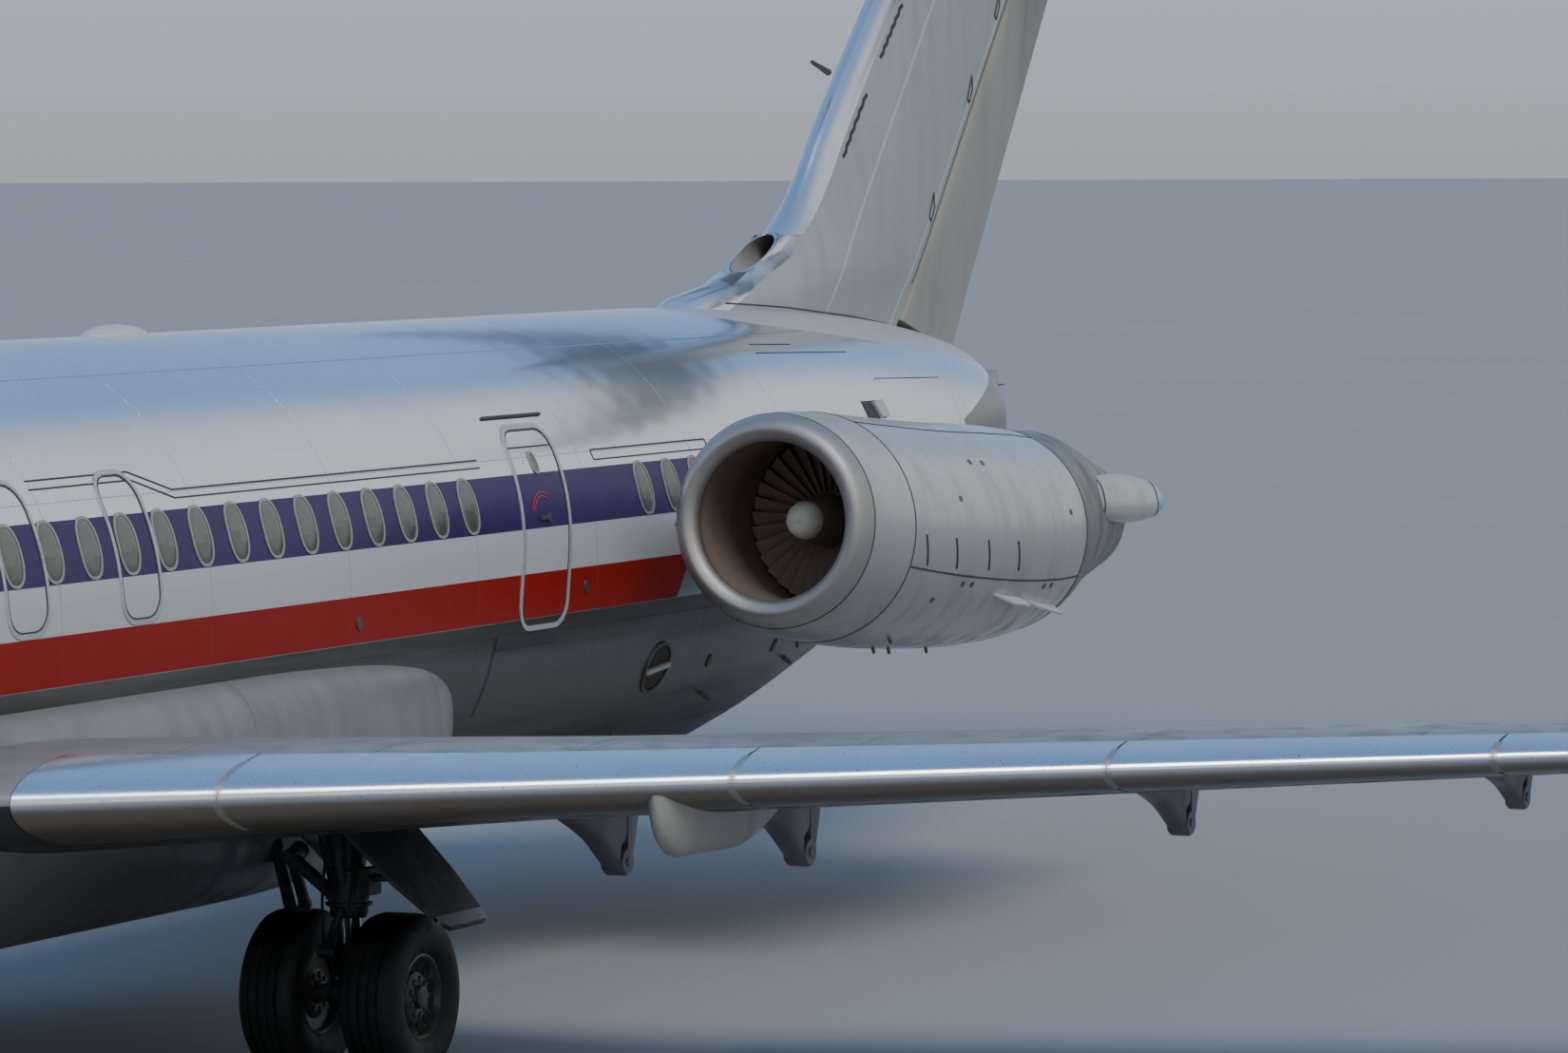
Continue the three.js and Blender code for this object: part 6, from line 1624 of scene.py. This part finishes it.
def bars(first_s, rows):
    """Collared bars. columns: distance aft, side and height of both ends, radius, facets."""
    made = []
    for a0, y0, z0, a1, y1, z1, radius, count in rows:
        made.append(collared((first_s + a0, y0, z0), (first_s + a1, y1, z1), radius, count))
    return made

def hose(points, radius):
    """A round hose carried along a smooth path through its points."""
    points = np.asarray(points, float)
    t = np.linspace(0, len(points) - 1, 8 * len(points))
    path = smooth(t, np.arange(len(points)), points)
    along = np.gradient(path, axis=0)
    along /= np.linalg.norm(along, axis=1, keepdims=True)
    side = np.cross(along, (0.3, 1.0, 0.2))
    side /= np.linalg.norm(side, axis=1, keepdims=True)
    up = np.cross(along, side)
    turn = once_round(8)[None, :, None]
    p = path[:, None] + radius * (np.cos(turn) * side[:, None] + np.sin(turn) * up[:, None])
    return solid(at(*np.moveaxis(p, -1, 0)))


# columns: share of the way down the leg's flat door, front and rear edges aft of the leg
LEG_DOOR = np.array([(0, -0.43, 0.48), (0.5, -0.42, 0.43), (0.93, -0.30, 0.33), (1, -0.23, 0.25)])
LEG_DOOR_TOP, LEG_DOOR_FOOT = (2.72, 1.59), (3.36, 0.985)
# columns: radius of the hose, then its points as distance aft of the leg, to its side and height
HOSES = [
    (0.012, [(-0.10, 0.09, 1.6), (-0.15, 0.11, 1.3), (-0.19, 0.09, 1.0), (-0.12, 0.08, 0.70)]),
    (0.010, [(-0.11, -0.08, 1.6), (-0.17, -0.10, 1.2), (-0.20, -0.08, 0.9), (-0.12, -0.07, 0.68)]),
]


def leg_door(side, first, last, lift):
    """Part of the slanting plate with a cut-back foot, between two shares of the way down."""
    down = first + (last - first) * np.linspace(0, 1, 24)[:, None]
    front, rear = (np.interp(down, LEG_DOOR[:, 0], LEG_DOOR[:, c]) for c in (1, 2))
    s = GEAR_S + front + (rear - front) * np.linspace(0, 1, 14)[None, :]
    out, up = (a + (b - a) * down for a, b in zip(LEG_DOOR_TOP, LEG_DOOR_FOOT))
    top, low = (at(s, side * (out + high * 0.687), up + high * 0.727) for high in (0.028 + lift, -lift))
    return solid(top, low[:, ::-1])


for name, side in SIDES:
    y = side * GEAR_Y
    leg = bars(GEAR_S, [
        (0, y, 1.02, 0, y, 1.88, 0.122, 28),
        (0, y - 0.115, AXLE_Z, 0, y + 0.115, AXLE_Z, 0.104, 28),
        (0, y, AXLE_Z, 0, y, 0.86, 0.088, 24),
        (-0.02, y - side * 0.06, 1.12, -0.02, side * 2.34, 1.70, 0.050, 20),
        (0.06, y, 1.15, 0.33, y, 1.70, 0.044, 20),
        (-0.06, y, 1.15, -0.30, y + side * 0.04, 1.70, 0.044, 20),
        (-0.10, y, 1.09, -0.30, y, 0.83, 0.036, 20),
        (-0.30, y, 0.83, -0.07, y, 0.62, 0.032, 20),
        (-0.30, y - 0.06, 0.83, -0.30, y + 0.06, 0.83, 0.042, 20),
        (-0.02, y - 0.23, 1.70, -0.02, y + 0.12, 1.70, 0.062, 20),
        (-0.30, y, 1.70, 0.33, y, 1.70, 0.052, 20),
        (0, y, 1.30, 0, y + side * 0.19, 1.30, 0.05, 20),
        (0, y, 1.09, 0, y, 1.33, 0.150, 28),
        (0.02, side * 2.10, 1.40, 0.02, y - side * 0.10, 1.14, 0.052, 20),
        (0.30, side * 2.04, 1.40, 0.02, side * 2.12, 1.38, 0.060, 20),
        (0.30, side * 1.97, 1.38, 0.62, side * 1.91, 1.00, 0.045, 20),
        (0.30, side * 1.86, 1.45, 0.62, side * 1.82, 0.90, 0.048, 20),
        (0.62, side * 1.90, 1.00, 0.62, side * 1.82, 0.92, 0.040, 20),
    ])
    lamp_box = [(24.20, 1.17), (24.38, 1.17), (24.38, 1.34), (24.20, 1.34)]
    leg.append(slab(lamp_box, y + side * 0.11, y + side * 0.20))
    piece(f"main_leg_casting_{name}", leg, GEAR_SHADED, replaces=(f"main_leg_{name}",), sharp=40)
    piston = rod((GEAR_S, y, 0.84), (GEAR_S, y, 1.05), 0.076, 28)
    piece(f"main_leg_piston_{name}", [piston], STEEL)
    hoses = [hose(np.array(path) + (GEAR_S, y, 0), radius) for radius, path in HOSES]
    piece(f"main_leg_hoses_{name}", hoses, RUBBER)
    wheel_set = f"main_wheel_set_{name}"
    wheels, holes = [], []
    for place_name, out in (("inner", -side), ("outer", side)):
        wheel = (GEAR_S, y + out * SPACING, AXLE_Z, TYRE_R, TYRE_W)
        wheels += hub(*wheel, out) + hub(*wheel, -out)
        holes += hub_hole_shade(*wheel, out)
        piece(f"main_tyre_{place_name}_rubber_{name}", [tyre(*wheel)], RUBBER, body=wheel_set,
              replaces=(f"main_tyre_{place_name}_{name}",), sharp=50)
    wheels.append(rod((GEAR_S, y - SPACING, AXLE_Z), (GEAR_S, y + SPACING, AXLE_Z), 0.060, 20))
    piece(f"main_wheels_{name}", wheels, HUB_SHADED, body=wheel_set, replaces=(f"main_axle_{name}",),
          sharp=35)
    piece(f"main_wheel_hole_shade_{name}", holes, HOLLOW_SHADE, body=wheel_set)
    # The leg's flat door has one link and a bright worn end
    link = collared((GEAR_S, y + side * 0.13, 1.272), (GEAR_S, side * 3.05, 1.29), 0.030)
    piece(f"main_leg_door_plate_{name}", [leg_door(side, 0.0, 1.0, 0.0), link], GEAR_DOOR_SHADED,
          replaces=(f"main_leg_door_{name}",))
    piece(f"main_leg_door_scuffed_end_{name}", [leg_door(side, 0.88, 0.985, 0.004)], DOOR_EDGE)

# Nose landing gear
upper = bars(NOSE_S, [
    (0, 0, 0.893, 0, 0, 1.556, 0.074, 24), (0, 0, 1.08, 0.48, 0, 1.52, 0.042, 20),
    (0.48, -0.2, 1.5, 0.48, 0.2, 1.5, 0.045, 20), (0, -0.24, 1.43, 0, 0.24, 1.43, 0.05, 20),
    (0, -0.15, 0.96, 0, 0.15, 0.96, 0.042, 20),
])
piece("nose_leg_casting", upper, GEAR_SHADED, replaces=("nose_leg",), sharp=40)
lower = bars(NOSE_S, [
    (0, 0, 0.79, 0, 0, 0.888, 0.086, 24), (0, -0.068, NOSE_AXLE_Z, 0, 0.068, NOSE_AXLE_Z, 0.062, 24),
    (0.06, 0, 0.82, 0.19, 0, 0.64, 0.026, 20), (0.19, 0, 0.64, 0.04, 0, 0.45, 0.024, 20),
    (0.19, -0.04, 0.64, 0.19, 0.04, 0.64, 0.029, 20),
])
tow_block = [(NOSE_S + aft, z) for aft, z in ((-0.11, 0.42), (-0.04, 0.42), (-0.04, 0.476), (-0.11, 0.476))]
lower.append(slab(tow_block, -0.028, 0.028))
piece("nose_steering_links", lower, GEAR_SHADED, body="nose_steering", replaces=("nose_leg_steering",),
      sharp=40)
piston = rod((NOSE_S, 0, 0.36), (NOSE_S, 0, 0.80), 0.05, 24)
piece("nose_leg_piston", [piston], STEEL, body="nose_steering")
wheels = [rod((NOSE_S, -NOSE_SPACING, NOSE_AXLE_Z), (NOSE_S, NOSE_SPACING, NOSE_AXLE_Z), 0.034, 16)]
rubber = []
for k in (-1, 1):
    wheel = (NOSE_S, k * NOSE_SPACING, NOSE_AXLE_Z, NOSE_R, NOSE_W)
    wheels += hub(*wheel, k) + hub(*wheel, -k)
    rubber.append(tyre(*wheel))
piece("nose_tyres", rubber, RUBBER, body="nose_wheel_set", replaces=("nose_wheels",), sharp=50)
piece("nose_hubs", wheels, HUB_SHADED, body="nose_wheel_set", sharp=35)
NOSE_DOOR = [(2.02, 1.50), (2.80, 1.50), (2.76, 0.90), (2.64, 0.85), (2.16, 0.85), (2.04, 0.90)]
for name, side in SIDES:
    y = side * 0.266
    parts = [slab(NOSE_DOOR, y, y + side * 0.022)]
    parts.append(collared((2.10, y + side * 0.024, 1.46), (2.72, y + side * 0.024, 1.46), 0.010, 12))
    for a in (2.2, 2.4, 2.6):
        parts.append(slab([(a, 0.95), (a + 0.05, 0.95), (a + 0.05, 1.42), (a, 1.42)], y - side * 0.012, y))
    piece(f"nose_gear_door_panel_{name}", parts, GEAR_DOOR_SHADED, replaces=(f"nose_gear_door_{name}",),
          bevel=0.003)


# Cockpit windows: panes laid on the nose between stations and heights, each in a dark frame
def nose_patch(corners, lift, sink=-0.01, grow=0.0):
    """A patch between four corners of (station, degrees): bilinear, raised, with an edge that turns down."""
    corners = np.asarray(corners, float)
    middle = corners.mean(axis=0)
    corners = middle + (corners - middle) * (1 + grow)
    u, v = np.linspace(0, 1, 9)[:, None, None], np.linspace(0, 1, 9)[None, :, None]
    p = (corners[0] * (1 - u) + corners[1] * u) * (1 - v) + (corners[3] * (1 - u) + corners[2] * u) * v
    top = hull_point(p[..., 0], np.radians(p[..., 1]), lift)
    low = hull_point(p[..., 0], np.radians(p[..., 1]), sink)
    return solid(top, low[:, ::-1])


def pane_corner(s, z):
    """The station, and the angle at which the nose has this height there, by halving: 89 if it never has."""
    low, high = 0.0, 89.0
    for _ in range(24):
        middle = (low + high) / 2
        low, high = (low, middle) if hull_point(s, math.radians(middle))[2] > z * MODEL else (middle, high)
    return s, high


ABOVE_TOP = 9.0
# columns: station and height of four corners, in order round the pane
COCKPIT_PANES = [
    [(2.17, 3.40), (2.12, ABOVE_TOP), (2.72, ABOVE_TOP), (2.75, 3.83)],
    [(2.42, 3.26), (2.19, 3.38), (2.78, 3.81), (2.82, 3.71)],
    [(2.50, 3.25), (3.02, 3.23), (3.10, 3.66), (2.90, 3.69)],
    [(3.10, 3.23), (3.56, 3.27), (3.52, 3.58), (3.18, 3.65)],
]
panes, surrounds = [], []
for corners in COCKPIT_PANES:
    port = [pane_corner(*corner) for corner in corners]
    for shape in (port, [(s, 180 - angle) for s, angle in port]):
        panes.append(nose_patch(shape, 0.010))
        surrounds.append(nose_patch(shape, 0.006, grow=0.13))
piece("cockpit_panes", panes, COCKPIT, replaces=("cockpit_windows",), sharp=40)
piece("cockpit_surrounds", surrounds, SEAM_DARK, sharp=40)

# Aerials, lights, probes and static wicks


def blade_aerial(s, z, tall, chord, up=1):
    """A swept flat aerial standing on the centreline."""
    outline = np.array([(s, z), (s + chord, z), (s + chord * 1.05, z + up * tall),
                        (s + chord * 0.62, z + up * tall)])
    return slab(outline, -0.012, 0.012)


# columns: station, height, how tall, chord, up or down
AERIALS = ((9.0, 4.63, 0.26, 0.26, 1), (16.5, 4.63, 0.26, 0.26, 1), (8.2, 1.07, 0.24, 0.24, -1),
           (14.0, 1.07, 0.24, 0.24, -1))
# columns: first station, length, half width, how tall
BLISTERS = ((19.9, 1.3, 0.26, 0.10), (11.2, 0.7, 0.16, 0.06), (25.55, 0.75, 0.17, 0.09))
BEACON = (18.2, 0.26, 0.11, 0.12)
WICKS = np.linspace(11.0, 16.0, 8)
LAMP_Y = 16.33
LAMP_PROFILE = [(0, 0.01), (0.15, 0.035), (0.7, 0.045), (1, 0.02)]
TUBE_PROFILE = [(0, 0.012), (0.9, 0.010), (1, 0.006)]


def blister(s0, length, half, tall):
    """A long low oval dome on the top line."""
    u, v = np.linspace(0, 1, 9)[:, None], once_round(32)[None, :]
    r = np.sin(u * math.pi / 2)
    s = s0 + length / 2 + length / 2 * r * np.cos(v)
    z = 4.63 + tall * np.cos(u * math.pi / 2)
    under = at(s0 + length / 2 + 0 * s[:1], 0, 4.6)
    return grid(np.concatenate([at(s, half * r * np.sin(v), z), under]), around=True)


def wick(y, side):
    """A thin static discharger behind the wing's trailing edge."""
    s, z = float(trail_s(y)), float(wing_z(y, 1.0, 0))
    return rod((s - 0.02, side * y, z), (s + 0.13, side * y, z - 0.01), 0.004, 6)


aerials = [blade_aerial(*row) for row in AERIALS] + [blister(*row) for row in BLISTERS]
piece("aerials", aerials, AERIAL, bevel=0.002)
piece("top_beacon", [blister(*BEACON)], LENS_RED)
for (name, side), lens in zip(SIDES, (LENS_RED, LENS_GREEN)):
    s = float(lead_s(LAMP_Y))
    front_z, rear_z = (float(wing_z(LAMP_Y, share, 0)) for share in (0.02, 0.1))
    lamp = rod((s + 0.03, side * LAMP_Y, front_z), (s + 0.30, side * (LAMP_Y + 0.06), rear_z), LAMP_PROFILE,
               16)
    piece(f"wingtip_lamp_{name}", [lamp], lens)
    piece(f"static_wicks_{name}", [wick(WICKS[-1], side)], SCUFF)
    piece(f"aileron_wicks_{name}", [wick(y, side) for y in WICKS[:-1]], SCUFF, body=f"aileron_{name}")
    probes = []
    for s, z in ((2.0, 2.35), (2.3, 2.15)):
        skin = abs(float(side_point(s, z, side)[1])) / MODEL
        tip = side * (skin + 0.09)
        probes.append(rod((s, side * (skin - 0.01), z), (s, tip, z), [(0, 0.02), (1, 0.012)], 10))
        probes.append(rod((s + 0.02, tip, z), (s - 0.22, tip, z), TUBE_PROFILE, 10))
    piece(f"air_data_probes_{name}", probes, STEEL)


# Stage: floor, light and camera
# columns: height of the direction, colour. The polished skin shows the far side above and the near side below
FAR_SKY = [(0.0, (0.50, 0.52, 0.55)), (0.04, (0.62, 0.71, 0.83)), (0.2, (0.36, 0.55, 0.86)),
           (1.0, (0.20, 0.38, 0.74))]
NEAR_SKY = [(0.0, (0.55, 0.55, 0.54)), (0.05, (0.80, 0.81, 0.82)), (0.40, (0.85, 0.87, 0.90)),
            (0.62, (0.35, 0.52, 0.80)),
            (1.0, (0.20, 0.36, 0.70))]


def sky():
    """Studio surround: each side has its own colours by height, blended where they meet."""
    world = bpy.data.worlds.new("studio_sky")
    world.use_nodes = True
    nodes, links = world.node_tree.nodes, world.node_tree.links
    split = nodes.new("ShaderNodeSeparateXYZ")
    links.new(nodes.new("ShaderNodeTexCoord").outputs["Generated"], split.inputs[0])
    near = nodes.new("ShaderNodeMapRange")
    near.interpolation_type = "SMOOTHSTEP"
    near.inputs[1].default_value, near.inputs[2].default_value = -0.06, 0.12
    links.new(split.outputs[1], near.inputs[0])
    both = nodes.new("ShaderNodeMix")
    both.data_type = "RGBA"
    links.new(near.outputs[0], both.inputs[0])
    for socket, stops in ((6, FAR_SKY), (7, NEAR_SKY)):
        ramp = nodes.new("ShaderNodeValToRGB")
        for k, (height, colour) in enumerate(stops):
            stop = ramp.color_ramp.elements[k] if k < 2 else ramp.color_ramp.elements.new(height)
            stop.position = height
            stop.color = (*colour, 1)
        links.new(split.outputs[2], ramp.inputs[0])
        links.new(ramp.outputs[0], both.inputs[socket])
    links.new(both.outputs[2], nodes["Background"].inputs[0])
    nodes["Background"].inputs[1].default_value = 0.85
    bpy.context.scene.world = world


def stage():
    floor = Paint("studio_floor", Roughness=0.85)
    floor.place()
    tone = floor.mix(floor.noise(0.15, (1, 1, 1), 3.0), (0.36, 0.36, 0.35), (0.32, 0.32, 0.31))
    floor.set(Base_Color=tone)
    mesh = bpy.data.meshes.new("studio_floor")
    size = 900.0
    mesh.from_pydata([(-size, -size, 0), (size, -size, 0), (size, size, 0), (-size, size, 0)], [],
                     [(0, 1, 2, 3)])
    mesh.materials.append(floor.material)
    ground = bpy.data.objects.new("studio_floor", mesh)
    bpy.context.scene.collection.objects.link(ground)
    sky()
    lamp = bpy.data.lights.new("soft_key", "SUN")
    lamp.energy = 1.5
    lamp.angle = math.radians(28)
    lamp.color = (1.0, 0.97, 0.93)
    key = bpy.data.objects.new("soft_key", lamp)
    key.rotation_euler = (math.radians(38), math.radians(12), math.radians(120))
    bpy.context.scene.collection.objects.link(key)


# The camera's place, its turns in radians, its focal length in pixels and the picture's width in pixels
CAMERA = {"s": WINDOW_ZERO - 36.9578, "y": 22.2612, "z": 5.7888, "yaw": 0.408416, "pitch": 0.053248,
          "roll": -0.0045, "focal": 7218.3, "width": 1650}
SENSOR = 36


def place_camera():
    yaw, pitch, roll = CAMERA["yaw"], CAMERA["pitch"], CAMERA["roll"]
    look = np.array([-math.cos(yaw) * math.cos(pitch), -math.sin(yaw) * math.cos(pitch), -math.sin(pitch)])
    right = np.cross(look, (0, 0, 1))
    right /= np.linalg.norm(right)
    up = np.cross(right, look)
    right, up = math.cos(roll) * right + math.sin(roll) * up, -math.sin(roll) * right + math.cos(roll) * up
    data = bpy.data.cameras.new("photo_view")
    data.sensor_width = SENSOR
    data.lens = CAMERA["focal"] * SENSOR / CAMERA["width"]
    data.clip_end = 3000
    camera = bpy.data.objects.new("photo_view", data)
    matrix = np.eye(4)
    matrix[:3, 0], matrix[:3, 1], matrix[:3, 2] = right, up, -look
    matrix[:3, 3] = at(CAMERA["s"], CAMERA["y"], CAMERA["z"])
    camera.matrix_world = Matrix(matrix.tolist())
    bpy.context.scene.collection.objects.link(camera)
    bpy.context.scene.camera = camera


stage()
place_camera()
